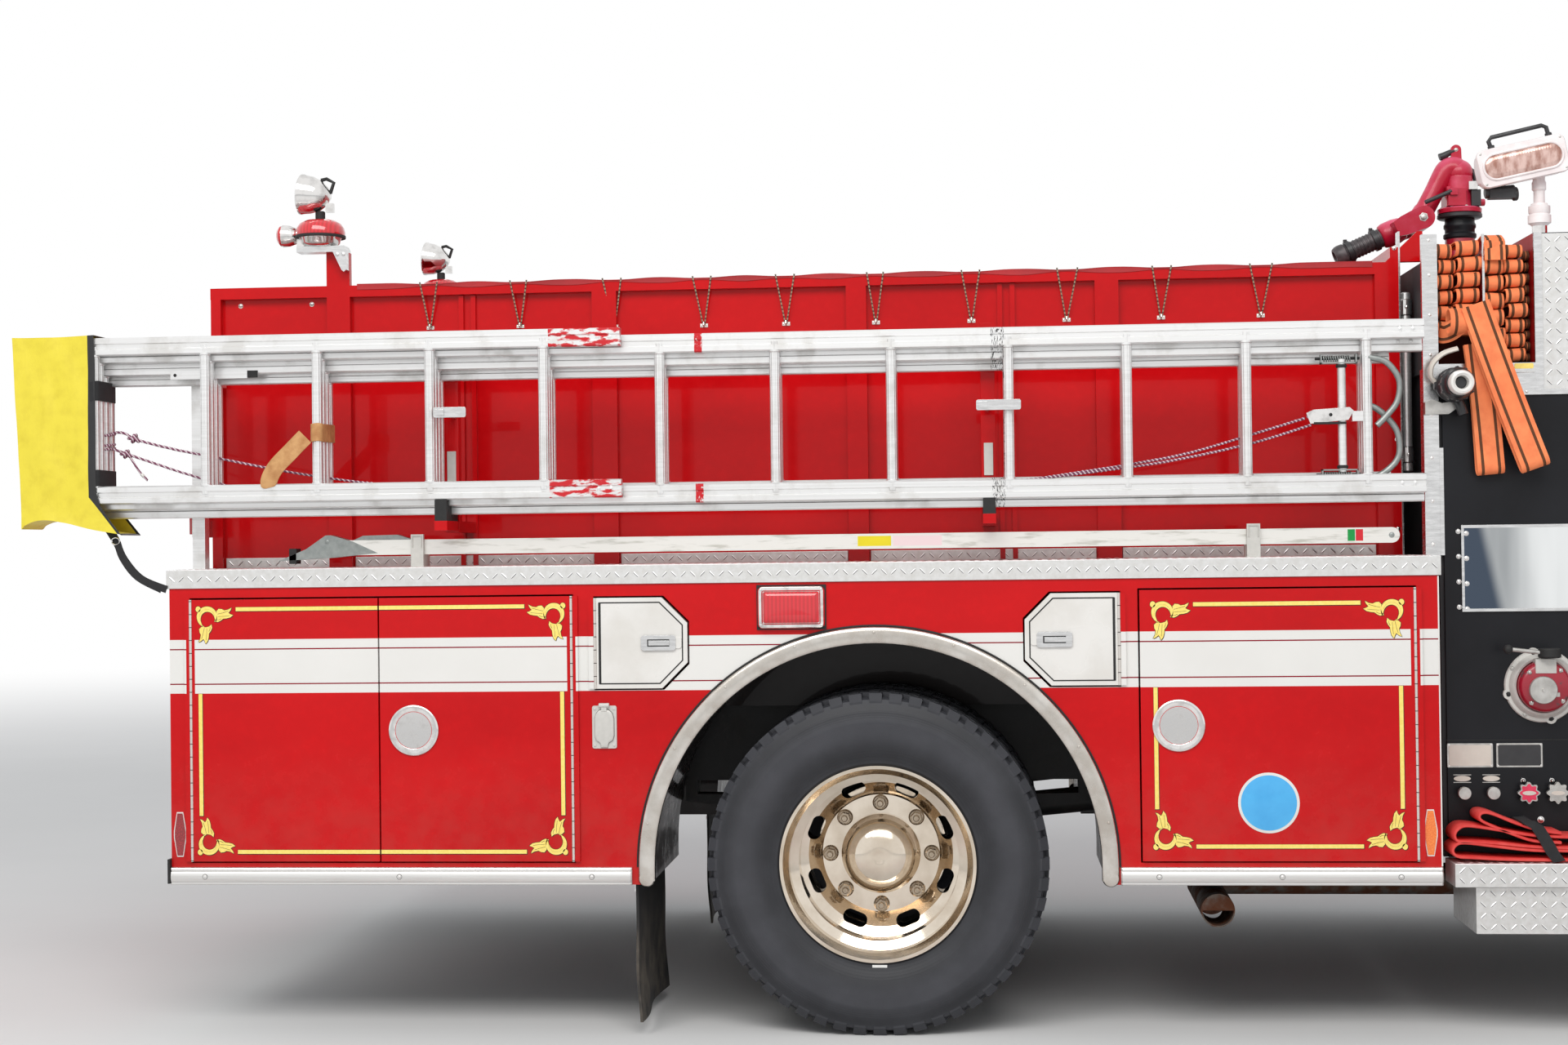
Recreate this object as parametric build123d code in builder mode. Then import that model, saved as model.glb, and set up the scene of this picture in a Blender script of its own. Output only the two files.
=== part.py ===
from build123d import *
from math import cos, radians, sin
import os

# A pumper fire engine in millimetres. X points to the front, Y to the left, Z up.
# The origin is on the ground, below the middle of the vehicle.

os.makedirs("parts", exist_ok=True)

# Lengths along the vehicle: the wheelbase is the sum of what stands between the axles
rear_axle_x = -1855
body_rear_x = rear_axle_x - 2182
body_front_x = rear_axle_x + 1668
pump_rear_x = body_front_x + 32
pump_house_length = 1150
pump_front_x = pump_rear_x + pump_house_length
cab_gap = 45
cab_rear_x = pump_front_x + cab_gap
cab_behind_axle = 1805
front_axle_x = cab_rear_x + cab_behind_axle
cab_front_x = front_axle_x + 1250
bumper_front_x = front_axle_x + 1700

# Driving dimensions of the chassis
frame_half = 432
frame_flange = 80
frame_web = 10
frame_top_z = 960
frame_height = 260
frame_bottom_z = frame_top_z - frame_height
frame_rear_x = rear_axle_x - 1790
frame_front_x = front_axle_x + 1210
spring_y = frame_half - frame_flange / 2
spring_width = 76

# Wheels
tyre_radius = 520
tyre_width = 280
bead_radius = 286
rim_flange_radius = 299
rim_half_width = 118
rear_outer_y = 1055
rear_inner_y = 737
front_wheel_y = 1015
wheel_z = tyre_radius
lug_count = 8
lug_circle = 159
lug_radius = 17
hand_hole_circle = 217
kingpin_y = 860
kingpin_radius = 20
spindle_radius = 40
running_gap = 0.5

# Lower body: two compartment pods beside a centre box
body_half = 1220
pod_inner_y = 560
body_bottom_z = 466
body_top_z = 1432
skin = 40
wall = 25
arch_radius = 690
door_gap = 5
door_proud = 8
door_thickness = 40
barrel_radius = 4.5
hinge_gap = 0.3
rear_recess = 330
plate = 5.5
rail_proud = 20
rail_edge = 6

# Upper body: the hose bed
bed_half = 820
post_depth = 25
sheet = 10
bed_top_z = 2357
bed_floor_z = 1750
bed_flange = 37
bed_front_x = rear_axle_x + 1641

# Pump house between body and cab
pump_half = 1085
pump_bottom_z = 531
panel_top_z = 1915
panel_thickness = 12
deck_z = 2403
tray_rear_x = rear_axle_x + 1690
tray_front_x = rear_axle_x + 1990
tray_floor_z = 2012
board_half = body_half + rail_proud

# Cab
cab_half = 1200
cab_wall = 50
cab_bottom_z = 560
cab_roof_z = 2710
cab_belt_z = 1500
cab_rake = 110
cab_corner = 220
well_radius = 640
well_inner_y = 545
hump_half = 430
hump_top_z = 1450
hump_rear_x = front_axle_x - 1000
hump_front_x = front_axle_x + 700
tunnel_top_z = 1010
floor_top_z = 1240
bumper_plate = 12


def at(x):
    """A place given by its distance in front of the rear axle."""
    return rear_axle_x + x


def fore(x):
    """A place given by its distance in front of the front axle."""
    return front_axle_x + x


def block(x, y, z, mode=Mode.ADD):
    """A box between two limits along each axis, in either order."""
    x, y, z = sorted(x), sorted(y), sorted(z)
    with Locations(((x[0] + x[1]) / 2, (y[0] + y[1]) / 2, (z[0] + z[1]) / 2)):
        return Box(x[1] - x[0], y[1] - y[0], z[1] - z[0], mode=mode)


def panel(x, z, mode=Mode.ADD):
    """A rectangle between two limits, in a sketch that looks at the vehicle's side."""
    with Locations(((x[0] + x[1]) / 2, (z[0] + z[1]) / 2)):
        return Rectangle(x[1] - x[0], z[1] - z[0], mode=mode)


def right_side(half):
    """The sketch plane of the right side at that half width, looking out to the right."""
    return Plane.XZ.offset(half)


def rod(start, direction, radius, length, mode=Mode.ADD):
    """A round bar from a point along a direction."""
    with BuildSketch(Plane(origin=start, z_dir=direction)) as section:
        Circle(radius)
    return extrude(section.sketch, amount=length, mode=mode)


def bent_bar(route, radius):
    """A round bar swept along a line of runs and arcs."""
    path = route.wires()[0]
    with BuildSketch(Plane(origin=path @ 0, z_dir=path % 0)) as section:
        Circle(radius)
    return sweep(section.sketch, path=path)


def pipe(points, bends, radius):
    """A round bar swept along straight runs joined by bends."""
    with BuildLine() as route:
        FilletPolyline(*points, radius=bends)
    return bent_bar(route, radius)


def both_sides():
    """Repeats what the open part holds on the other side of the vehicle."""
    mirror(about=Plane.XZ)


def together(*pieces):
    """One piece of several solids that touch but stay apart."""
    return Compound(children=[solid for piece in pieces for solid in piece.solids()])


def divide(piece, plane):
    """The two sides of a piece cut at a plane: the one that the plane looks to comes first."""
    return split(piece, bisect_by=plane), split(piece, bisect_by=plane, keep=Keep.BOTTOM)


def keep(piece, name):
    """Labels a finished piece and writes it."""
    piece.label = name
    export_step(piece, f"parts/{name}.step")


def keep_pair(piece, stem):
    """Writes a piece of the right side and its twin of the left side."""
    keep(piece, f"{stem}_right")
    keep(mirror(piece, about=Plane.XZ), f"{stem}_left")


# Chassis frame: two channel rails tied by cross members, with horns for the bumper
tow_eye_width, tow_eye_thickness, tow_eye_drop = 90, 30, 75
tow_bore_radius, tow_bore_out, tow_tongue = 20, 60, 110
horn_rear_x, horn_front_x, horn_height = fore(900), bumper_front_x - bumper_plate, 100
tow_eyes = (
    (horn_front_x - 50, frame_bottom_z - horn_height),
    (frame_rear_x + 50, frame_bottom_z),
)
with BuildPart() as left_rail:
    with BuildSketch(Plane.YZ.offset(frame_rear_x)):
        with BuildLine():
            inner = frame_half - frame_flange
            Polyline(
                (frame_half, frame_bottom_z),
                (frame_half, frame_top_z),
                (inner, frame_top_z),
                (inner, frame_top_z - frame_web),
                (frame_half - frame_web, frame_top_z - frame_web),
                (frame_half - frame_web, frame_bottom_z + frame_web),
                (inner, frame_bottom_z + frame_web),
                (inner, frame_bottom_z),
                close=True,
            )
        make_face()
    extrude(amount=frame_front_x - frame_rear_x)
    horn_y = (spring_y - 32, spring_y + 32)
    block((horn_rear_x, horn_front_x), horn_y, (frame_bottom_z - horn_height, frame_bottom_z))
    # Tow eyes: a hanger under the rail with a tongue pointing out, bored from below
    for eye_x, eye_top in tow_eyes:
        eye_x_limits = (eye_x - tow_eye_width / 2, eye_x + tow_eye_width / 2)
        eye_z = eye_top - tow_eye_drop
        hanger_y = (spring_y - tow_eye_thickness / 2, spring_y + tow_eye_thickness / 2)
        block(eye_x_limits, hanger_y, (eye_z - tow_eye_thickness / 2, eye_top))
        tongue_z = (eye_z - tow_eye_thickness / 2, eye_z + tow_eye_thickness / 2)
        block(eye_x_limits, (spring_y, spring_y + tow_tongue), tongue_z)
        bore_start = (eye_x, spring_y + tow_bore_out, eye_z - tow_eye_thickness)
        rod(bore_start, (0, 0, 1), tow_bore_radius, 2 * tow_eye_thickness, Mode.SUBTRACT)
with BuildPart() as cross_members:
    for cross_x in (at(-1750), at(-720), at(720), fore(-1400), fore(1150)):
        block(
            (cross_x - 35, cross_x + 35),
            (frame_web - frame_half, frame_half - frame_web),
            (frame_bottom_z + 60, frame_top_z - 60),
        )
right_rail = mirror(left_rail.part, about=Plane.XZ)
keep(together(left_rail.part, right_rail, cross_members.part), "frame_rails")

# Engine, one plain block at its place between the rails, and the pump's casing
engine_x, engine_half = (fore(-800), fore(600)), 335
with BuildPart() as engine_and_pump:
    block(engine_x, (-engine_half, engine_half), (600, 1350))
    rod((at(2600), -330, 740), (0, 1, 0), 190, 660)
    rod((at(2350), 0, 740), (1, 0, 0), 150, 500)
    for side in (-1, 1):
        rod((at(2330), side * 150, 740), (0, side, 0), 60, frame_half - frame_flange - 150)
        for foot_x in (fore(-550), fore(350)):
            foot_y = (side * engine_half, side * (frame_half - frame_flange))
            block((foot_x - 50, foot_x + 50), foot_y, (frame_bottom_z - 20, frame_bottom_z + 60))
keep(engine_and_pump.part, "engine_and_pump")

# Rear axle: banjo housing on leaf springs, with the drive shaft
housing_radius = 75
hub_face_y = 612
with BuildPart() as rear_axle:
    rod((rear_axle_x, -hub_face_y + 4, wheel_z), (0, 1, 0), housing_radius, 2 * hub_face_y - 8)
    rod((rear_axle_x, -hub_face_y - 240, wheel_z), (0, 1, 0), spindle_radius, 2 * hub_face_y + 480)
    with Locations((rear_axle_x, 0, wheel_z)):
        Sphere(205)
    rod((at(150), 0, wheel_z + 20), (1, 0, 0.02), 80, 160)
    spring_seat_z = wheel_z + housing_radius
    for side in (-1, 1):
        with BuildSketch(Plane.XZ.offset(-side * (spring_y) + spring_width / 2)):
            with BuildLine():
                low, high, rise = spring_seat_z - 10, spring_seat_z + 50, 45
                ThreePointArc((at(-680), low + rise), (at(0), low), (at(680), low + rise))
                Line((at(680), low + rise), (at(680), low + rise + 24))
                Line((at(680), low + rise + 24), (at(90), high))
                Line((at(90), high), (at(-90), high))
                Line((at(-90), high), (at(-680), low + rise + 24))
                Line((at(-680), low + rise + 24), (at(-680), low + rise))
            make_face()
        extrude(amount=-spring_width)
        for hanger_x in (at(-680), at(640)):
            block(
                (hanger_x, hanger_x + 40),
                (side * spring_y - spring_width / 2, side * spring_y + spring_width / 2),
                (low + rise, frame_bottom_z),
            )
with BuildPart() as drive_shaft:
    rod((at(300), 0, wheel_z + 30), (2000, 0, 190), 45, 2000)
    add(rear_axle.part, mode=Mode.SUBTRACT)
keep(together(rear_axle.part, drive_shaft.part), "rear_axle")

# Front axle: dropped beam between the kingpins, on leaf springs
beam_z, beam_half_height = 430, 45
boss_radius, boss_half_height = 40, 50
with BuildPart() as front_axle:
    beam_limits = (beam_z - beam_half_height, beam_z + beam_half_height)
    block((front_axle_x - 45, front_axle_x + 45), (-700, 700), beam_limits)
    for side in (-1, 1):
        with BuildSketch(Plane.YZ.offset(front_axle_x - 40)):
            with BuildLine():
                Polyline(
                    (side * 690, beam_limits[0]),
                    (side * (kingpin_y - 60), wheel_z - boss_half_height),
                    (side * (kingpin_y - 10), wheel_z - boss_half_height),
                    (side * (kingpin_y - 10), wheel_z + boss_half_height),
                    (side * (kingpin_y - 60), wheel_z + boss_half_height),
                    (side * 690, beam_limits[1]),
                    close=True,
                )
            make_face()
        extrude(amount=80)
        with Locations((front_axle_x, side * kingpin_y, wheel_z)):
            Cylinder(boss_radius, 2 * boss_half_height)
            Cylinder(kingpin_radius + running_gap, 400, mode=Mode.SUBTRACT)
        with BuildSketch(Plane.XZ.offset(-side * spring_y + spring_width / 2)):
            with BuildLine():
                base, top = beam_limits[1], beam_limits[1] + 60
                left, right = front_axle_x - 620, front_axle_x + 620
                ThreePointArc((left, base + 120), (front_axle_x, base), (right, base + 120))
                Line((right, base + 120), (right, base + 144))
                Line((right, base + 144), (front_axle_x + 90, top))
                Line((front_axle_x + 90, top), (front_axle_x - 90, top))
                Line((front_axle_x - 90, top), (left, base + 144))
                Line((left, base + 144), (left, base + 120))
            make_face()
        extrude(amount=-spring_width)
        for hanger_x in (left, right - 40):
            block(
                (hanger_x, hanger_x + 40),
                (side * spring_y - spring_width / 2, side * spring_y + spring_width / 2),
                (base + 120, frame_bottom_z),
            )
keep(front_axle.part, "front_axle")

# Steering knuckle of the right front wheel: fork on the kingpin, plate and spindle
with BuildPart() as knuckle:
    centre = (front_axle_x, -kingpin_y, wheel_z)
    with Locations(centre):
        Cylinder(kingpin_radius, 2 * boss_half_height + 60)
    for side in (-1, 1):
        arm_z = wheel_z + side * (boss_half_height + 16)
        with Locations((front_axle_x, -kingpin_y, arm_z)):
            Cylinder(boss_radius, 30)
        block(
            (front_axle_x - 38, front_axle_x + 38),
            (-kingpin_y - 66, -kingpin_y),
            (arm_z - 15, arm_z + 15),
        )
    block(
        (front_axle_x - 70, front_axle_x + 70),
        (-kingpin_y - 66, -kingpin_y - 46),
        (wheel_z - 82, wheel_z + 82),
    )
    rod((front_axle_x, -kingpin_y - 66, wheel_z), (0, -1, 0), spindle_radius, 200)
keep_pair(knuckle.part, "knuckle")


def barrel_outline(centre):
    """Half section of a rim's barrel about the X axis: flanges, bead seats, drop centre."""
    half, lip, drop = rim_half_width, rim_flange_radius - 10, 246
    outside = [
        (-half, rim_flange_radius), (12 - half, rim_flange_radius), (14 - half, bead_radius),
        (-50, bead_radius), (-34, drop + 12), (34, drop + 12), (50, bead_radius),
        (half - 14, bead_radius), (half - 12, rim_flange_radius), (half, rim_flange_radius),
    ]
    inside = [
        (half, lip), (half - 20, 272), (52, 272), (36, drop),
        (-36, drop), (-52, 272), (20 - half, 272), (-half, lip),
    ]
    with BuildLine() as outline:
        Polyline(*[(centre + x, r) for x, r in outside + inside], close=True)
    make_face(outline.edges())


def disc_outline(face, dish, bore, rim):
    """Half section of a wheel disc about the X axis, bent towards its barrel by the dish."""
    step = 16 if dish > 0 else -16
    rise = [(0, bore), (0, 190), (dish * 0.55, 232), (dish, rim)]
    back = [(dish + step, rim), (dish * 0.55 + step, 226), (step, 184), (step, bore)]
    with BuildLine() as outline:
        Polyline(*[(face + x, r) for x, r in rise + back], close=True)
    make_face(outline.edges())


def hub_outline(face, length, bore_depth):
    """Half section of a bright hub cap about the X axis, its open side on the disc."""
    bore = spindle_radius + running_gap
    with BuildLine() as outline:
        Polyline(
            (face - length, 0), (face - length + bore_depth, 0),
            (face - length + bore_depth, bore), (face, bore), (face, 124),
            (face - 14, 124), (face - 22, 110), (face - length * 0.72, 108),
        )
        ThreePointArc(
            (face - length * 0.72, 108), (face - length * 0.94, 68), (face - length, 14)
        )
        Line((face - length, 14), (face - length, 0))
    make_face(outline.edges())


def wheel_holes_and_nuts(face):
    """Cuts the hand holes and sets the lug nuts on the disc's outer face."""
    with BuildSketch(Plane.YZ.offset(face - 60)) as holes:
        with PolarLocations(hand_hole_circle, lug_count, start_angle=22.5):
            SlotOverall(78, 40, rotation=90)
    extrude(holes.sketch, amount=160, mode=Mode.SUBTRACT)
    with BuildSketch(Plane.YZ.offset(face)) as nuts:
        with PolarLocations(lug_circle, lug_count):
            RegularPolygon(lug_radius, 6)
    extrude(nuts.sketch, amount=-32)


def tyre():
    """One tyre about the X axis: beads, bulged walls, square shoulders and a flat tread."""
    half, foot = tyre_width / 2, 102
    with BuildPart() as turned:
        with BuildSketch(Plane.XY):
            with BuildLine():
                Line((-foot, bead_radius), (foot, bead_radius))
                Line((foot, bead_radius), (foot + 2, 306))
                ThreePointArc((foot + 2, 306), (half, 405), (half - 14, 486))
                Line((half - 14, 486), (half - 22, 510))
                Line((half - 22, 510), (half - 34, tyre_radius))
                Line((half - 34, tyre_radius), (34 - half, tyre_radius))
                Line((34 - half, tyre_radius), (22 - half, 510))
                Line((22 - half, 510), (14 - half, 486))
                ThreePointArc((14 - half, 486), (-half, 405), (-foot - 2, 306))
                Line((-foot - 2, 306), (-foot, bead_radius))
            make_face()
        revolve(axis=Axis.X)
    return turned.part


def set_wheel(piece, x, y, flip=False):
    """Stands a turned piece on the right side, its outer side out, or turned about."""
    turn = -90 if flip else 90
    return Pos(x, y, wheel_z) * Rot(0, 0, turn) * piece


# Rear wheels of the right side: two rims back to back on the hub, with the brake drum
hub_y = (rear_outer_y + rear_inner_y) / 2
half_spacing = (rear_outer_y - rear_inner_y) / 2
drum_radius, drum_depth = 205, hub_y - hub_face_y - 6
with BuildPart() as rear_rims:
    with BuildSketch(Plane.XY) as half_section:
        barrel_outline(-half_spacing)
        barrel_outline(half_spacing)
        disc_outline(0, -60, 100, 279)
        disc_outline(0, 60, 100, 279)
        hub_outline(-16, 118, 30)
        with BuildLine():
            bore = spindle_radius + running_gap
            Polyline(
                (-20, bore), (-20, 126), (30, 126), (30, drum_radius), (drum_depth, drum_radius),
                (drum_depth, drum_radius - 22), (52, drum_radius - 22), (52, 104),
                (150, 90), (150, bore), close=True,
            )
        make_face()
    revolve(axis=Axis.X)
    wheel_holes_and_nuts(-16)
keep_pair(set_wheel(rear_rims.part, at(0), -hub_y), "rear_rims")
with BuildPart() as rear_tyres:
    with Locations((-half_spacing, 0, 0), (half_spacing, 0, 0)):
        add(tyre())
keep_pair(set_wheel(rear_tyres.part, at(0), -hub_y), "rear_tyres")

# Front wheel of the right side: one rim with its disc near the outer flange
front_disc = -78
with BuildPart() as front_rim:
    with BuildSketch(Plane.XY) as half_section:
        barrel_outline(0)
        disc_outline(front_disc, 60, 100, 252)
        hub_outline(front_disc, 92, 30)
        with BuildLine():
            Polyline(
                (front_disc - 2, bore), (front_disc - 2, 126), (-40, 126), (-40, 200),
                (70, 200), (70, 178), (-18, 178), (-18, 90), (60, 84), (60, bore), close=True,
            )
        make_face()
    revolve(axis=Axis.X)
    wheel_holes_and_nuts(front_disc)
keep_pair(set_wheel(front_rim.part, front_axle_x, -front_wheel_y), "front_rim")
keep_pair(set_wheel(tyre(), front_axle_x, -front_wheel_y), "front_tyre")

# Fuel tank between the rails behind the rear axle
with BuildPart() as fuel_tank:
    tank_half = frame_half - frame_flange
    block((at(-1690), at(-790)), (-tank_half, tank_half), (frame_bottom_z - 150, frame_top_z - 130))
    fillet(fuel_tank.edges().filter_by(Axis.X), 40)
keep(fuel_tank.part, "fuel_tank")

# Exhaust: pipe from the engine under the right rail, silencer and side outlet
outlet_x, outlet_z, pipe_y, pipe_radius = at(1016), 385, -640, 50
with BuildPart() as exhaust_pipe:
    pipe(
        [
            (engine_x[0], -250, 650), (fore(-1060), -250, 650), (fore(-1260), -250, 480),
            (fore(-1650), pipe_y, outlet_z + 15),
            (outlet_x, pipe_y, outlet_z + 15), (outlet_x, -1190, outlet_z),
        ],
        90,
        pipe_radius,
    )
    rod((at(1900), pipe_y, outlet_z + 15), (1, 0, 0), 105, 800)
    hanger_x = (at(2280), at(2320))
    block(hanger_x, (-frame_half, 32 - frame_half), (440, frame_bottom_z))
    block(hanger_x, (-560, -frame_half), (440, 470))
    rod((outlet_x, -1190, outlet_z), (0, 1, 0), pipe_radius - 4, 200, Mode.SUBTRACT)
keep(exhaust_pipe.part, "exhaust_pipe")

# Doors of the lower body, on the right side: name, edges, hinge edge and corner cut
locker_z = (537, 1345)
fender_z = (1062, 1338)
side_doors = {
    "aft_door": dict(x=(at(-2113), at(-1523)), z=locker_z, hinge="rear", cut=0),
    "mid_door": dict(x=(at(-1518), at(-922)), z=locker_z, hinge="front", cut=0),
    "fore_door": dict(x=(at(793), at(1598)), z=locker_z, hinge="front", cut=0),
    "fender_door_aft": dict(x=(at(-849), at(-566)), z=fender_z, hinge="rear", cut=78),
    "fender_door_fore": dict(x=(at(452), at(732)), z=fender_z, hinge="front", cut=78),
}
latches = {
    "mid_door": (at(-1413), 939),
    "fore_door": (at(904), 941),
}
door_face = body_half + door_proud
latch_radius, latch_recess, latch_bar_height = 77, 56, 14


def door_outline(door, grow):
    """A side door's outline, grown by a gap, the free corners cut on a fender door."""
    (x0, x1), (z0, z1), cut = door["x"], door["z"], door["cut"]
    x0, x1, z0, z1 = x0 - grow, x1 + grow, z0 - grow, z1 + grow
    if not cut:
        panel((x0, x1), (z0, z1))
        return
    free, held, turn = (x1, x0, -cut) if door["hinge"] == "rear" else (x0, x1, cut)
    with BuildLine() as outline:
        Polyline(
            (held, z0), (held, z1), (free + turn, z1), (free, z1 - cut), (free, z0 + cut),
            (free + turn, z0), close=True,
        )
    make_face(outline.edges())


# Compartment pod of the right side, with lockers, wheel arch and fender boxes
with BuildPart() as body_pod:
    with BuildSketch(right_side(body_half)):
        panel((body_rear_x, body_front_x), (body_bottom_z, body_top_z))
        with Locations((rear_axle_x, wheel_z)):
            Circle(arch_radius, mode=Mode.SUBTRACT)
        arch_x = (rear_axle_x - arch_radius, rear_axle_x + arch_radius)
        panel(arch_x, (body_bottom_z - 1, wheel_z), Mode.SUBTRACT)
    extrude(amount=pod_inner_y - body_half)
    depth = (skin - body_half, -pod_inner_y - wall)
    inner_z = (body_bottom_z + wall, body_top_z - 77)
    block((body_rear_x + wall, at(-900)), depth, inner_z, Mode.SUBTRACT)
    block((at(770), body_front_x - wall), depth, inner_z, Mode.SUBTRACT)
    for name, door in side_doors.items():
        with BuildSketch(right_side(body_half)) as opening:
            door_outline(door, door_gap)
        reach = 290 if door["cut"] else skin
        extrude(opening.sketch, amount=-reach, mode=Mode.SUBTRACT)
        # The hinge's fixed leaf, beside the barrel on the door's edge
        hinge_x, away = (door["x"][0], -1) if door["hinge"] == "rear" else (door["x"][1], 1)
        leaf_x = (hinge_x + away * (barrel_radius + hinge_gap), hinge_x + away * 20)
        block(leaf_x, (-door_face - 1, -body_half), door["z"])
keep_pair(body_pod.part, "body_pod")

for name, door in side_doors.items():
    with BuildPart() as leaf:
        with BuildSketch(right_side(door_face)) as face:
            door_outline(door, 0)
        extrude(face.sketch, amount=-door_thickness)
        if name in latches:
            latch_x, latch_z = latches[name]
            with BuildSketch(right_side(door_face)) as pan:
                with Locations((latch_x, latch_z)):
                    Circle(latch_radius)
            extrude(pan.sketch, amount=5)
            with BuildSketch(right_side(door_face + 5)) as recess:
                with Locations((latch_x, latch_z)):
                    Circle(latch_recess)
            extrude(recess.sketch, amount=-22, mode=Mode.SUBTRACT)
            with BuildSketch(right_side(door_face - 17)) as bar:
                with Locations((latch_x, latch_z)):
                    SlotOverall(2 * latch_recess + 8, latch_bar_height)
            extrude(bar.sketch, amount=20)
        if door["cut"]:
            free = door["x"][1] - 60 if door["hinge"] == "rear" else door["x"][0] + 60
            with BuildSketch(right_side(door_face)) as paddle:
                with Locations((free, sum(door["z"]) / 2)):
                    RectangleRounded(86, 34, 8)
            extrude(paddle.sketch, amount=4)
        hinge_x = door["x"][0] if door["hinge"] == "rear" else door["x"][1]
        with Locations((hinge_x, -door_face, sum(door["z"]) / 2)):
            Cylinder(barrel_radius, door["z"][1] - door["z"][0])
    keep_pair(leaf.part, name)

# Centre box between the pods, with the rear locker, its door and the valance below
centre_rear_x = body_rear_x + rear_recess
rear_door_half, rear_door_z = 395, (1015, 1375)
with BuildPart() as body_centre:
    centre_x = (centre_rear_x, body_front_x)
    block(centre_x, (-pod_inner_y, pod_inner_y), (frame_top_z, body_top_z))
    block(
        (centre_rear_x + skin, at(-900)),
        (-pod_inner_y + skin, pod_inner_y - skin),
        (frame_top_z + 30, body_top_z - 40),
        Mode.SUBTRACT,
    )
    opening_half = rear_door_half + door_gap
    block(
        (centre_rear_x - 1, centre_rear_x + skin),
        (-opening_half, opening_half),
        (rear_door_z[0] - door_gap, rear_door_z[1] + door_gap),
        Mode.SUBTRACT,
    )
    block(
        (centre_rear_x, centre_rear_x + 8), (-pod_inner_y, pod_inner_y), (545, frame_top_z)
    )
    leaf_y = (rear_door_half + barrel_radius + hinge_gap, rear_door_half + 20)
    block((centre_rear_x - door_proud - 1, centre_rear_x), leaf_y, rear_door_z)
keep(body_centre.part, "body_centre")
with BuildPart() as rear_locker_door:
    rear_face = centre_rear_x - door_proud
    block((rear_face, rear_face + door_thickness), (-rear_door_half, rear_door_half), rear_door_z)
    rod((rear_face, rear_door_half, rear_door_z[0]), (0, 0, 1), barrel_radius, rear_door_z[1] - rear_door_z[0])
    rod((rear_face, -rear_door_half + 110, 1195), (-1, 0, 0), 70, 5)
keep(rear_locker_door.part, "rear_locker_door")

# Hose bed: sheet walls with outside posts and a top flange, floor, ends and divider
sheet_out = bed_half - post_depth
posts = (
    (at(-2181), at(-2148)), (at(-1792), at(-1715)), (at(-918), at(-838)),
    (at(-95), at(-30)), (at(695), at(770)), (at(1567), at(1641)),
)
beacon_post_z = 2464
with BuildPart() as hose_bed:
    wall_x = (body_rear_x, bed_front_x)
    block(wall_x, (-sheet_out, sheet - sheet_out), (body_top_z, bed_top_z))
    block(wall_x, (-bed_half, 30 - sheet_out), (bed_top_z - bed_flange, bed_top_z))
    for post_x in posts:
        block(post_x, (-bed_half, -sheet_out), (body_top_z, bed_top_z))
    block(posts[1], (-bed_half, -sheet_out), (body_top_z, beacon_post_z))
    with BuildSketch(right_side(bed_half)):
        with BuildLine():
            Polyline(
                (at(1600), bed_top_z), (at(1700), 2452), (at(1716), 2452),
                (at(1716), bed_top_z), close=True,
            )
        make_face()
    extrude(amount=-post_depth)
    both_sides()
    block(wall_x, (-sheet_out, sheet_out), (bed_floor_z - sheet, bed_floor_z))
    block((bed_front_x - 26, bed_front_x), (-bed_half, bed_half), (body_top_z, deck_z))
    block((body_rear_x, body_rear_x + sheet), (-bed_half, bed_half), (body_top_z, bed_floor_z))
    block((body_rear_x + 60, bed_front_x), (150, 156), (bed_floor_z, 2300))
keep(hose_bed.part, "hose_bed")

# Bright trim of the body: ledge plates, kick strips, rub rails, arches, steps
ledge_z, ledge_drop = body_top_z + plate, 58
rub_rail_z = (466, 520)
arch_outer, arch_inner = 724, 672
board_top_z = pump_bottom_z
with BuildPart() as body_trim:
    ledge_x = (body_rear_x - 8, body_front_x + 8)
    block(ledge_x, (-body_half - plate, -bed_half - 1), (body_top_z, ledge_z))
    block(ledge_x, (-body_half - plate, -body_half), (ledge_z - ledge_drop, ledge_z))
    for before, after in zip(posts, posts[1:]):
        block(
            (before[1] + 4, after[0] - 4),
            (-sheet_out - 4, -sheet_out),
            (body_top_z, ledge_z + 34),
        )
    for rail_x in ((body_rear_x, at(-743)), (at(728), body_front_x)):
        with BuildSketch(Plane.YZ.offset(rail_x[0])):
            with BuildLine():
                low, high = rub_rail_z
                rail_out = body_half + rail_proud
                Polyline(
                    (-body_half, low), (-rail_out + rail_edge, low), (-rail_out, low + 8),
                    (-rail_out, high - 8), (-rail_out + rail_edge, high), (-body_half, high),
                    close=True,
                )
            make_face()
        extrude(amount=rail_x[1] - rail_x[0])
    with BuildSketch(right_side(body_half)):
        with Locations((rear_axle_x, wheel_z)):
            Circle(arch_outer)
            Circle(arch_inner, mode=Mode.SUBTRACT)
        panel((at(-800), at(800)), (-300, wheel_z), Mode.SUBTRACT)
        arch_middle, arch_width = (arch_outer + arch_inner) / 2, arch_outer - arch_inner
        for side in (-1, 1):
            leg_x = at(side * arch_middle)
            panel((leg_x - arch_width / 2, leg_x + arch_width / 2), (490, wheel_z))
            with Locations((leg_x, 490)):
                Circle(arch_width / 2)
    extrude(amount=14)
    block((pump_rear_x, pump_front_x), (-board_half, -pump_half - 12), (461, board_top_z))
    block((at(1763), pump_front_x), (-board_half + 20, -900), (321, 461))
    both_sides()
    block((body_rear_x, centre_rear_x), (-pod_inner_y, pod_inner_y), (505, 545))
keep(body_trim.part, "body_trim")

# Mud flaps behind the rear wheels
with BuildPart() as mud_flaps:
    block((at(-738), at(-730)), (-1190, -610), (42, body_bottom_z))
    both_sides()
keep(mud_flaps.part, "mud_flaps")

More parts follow.
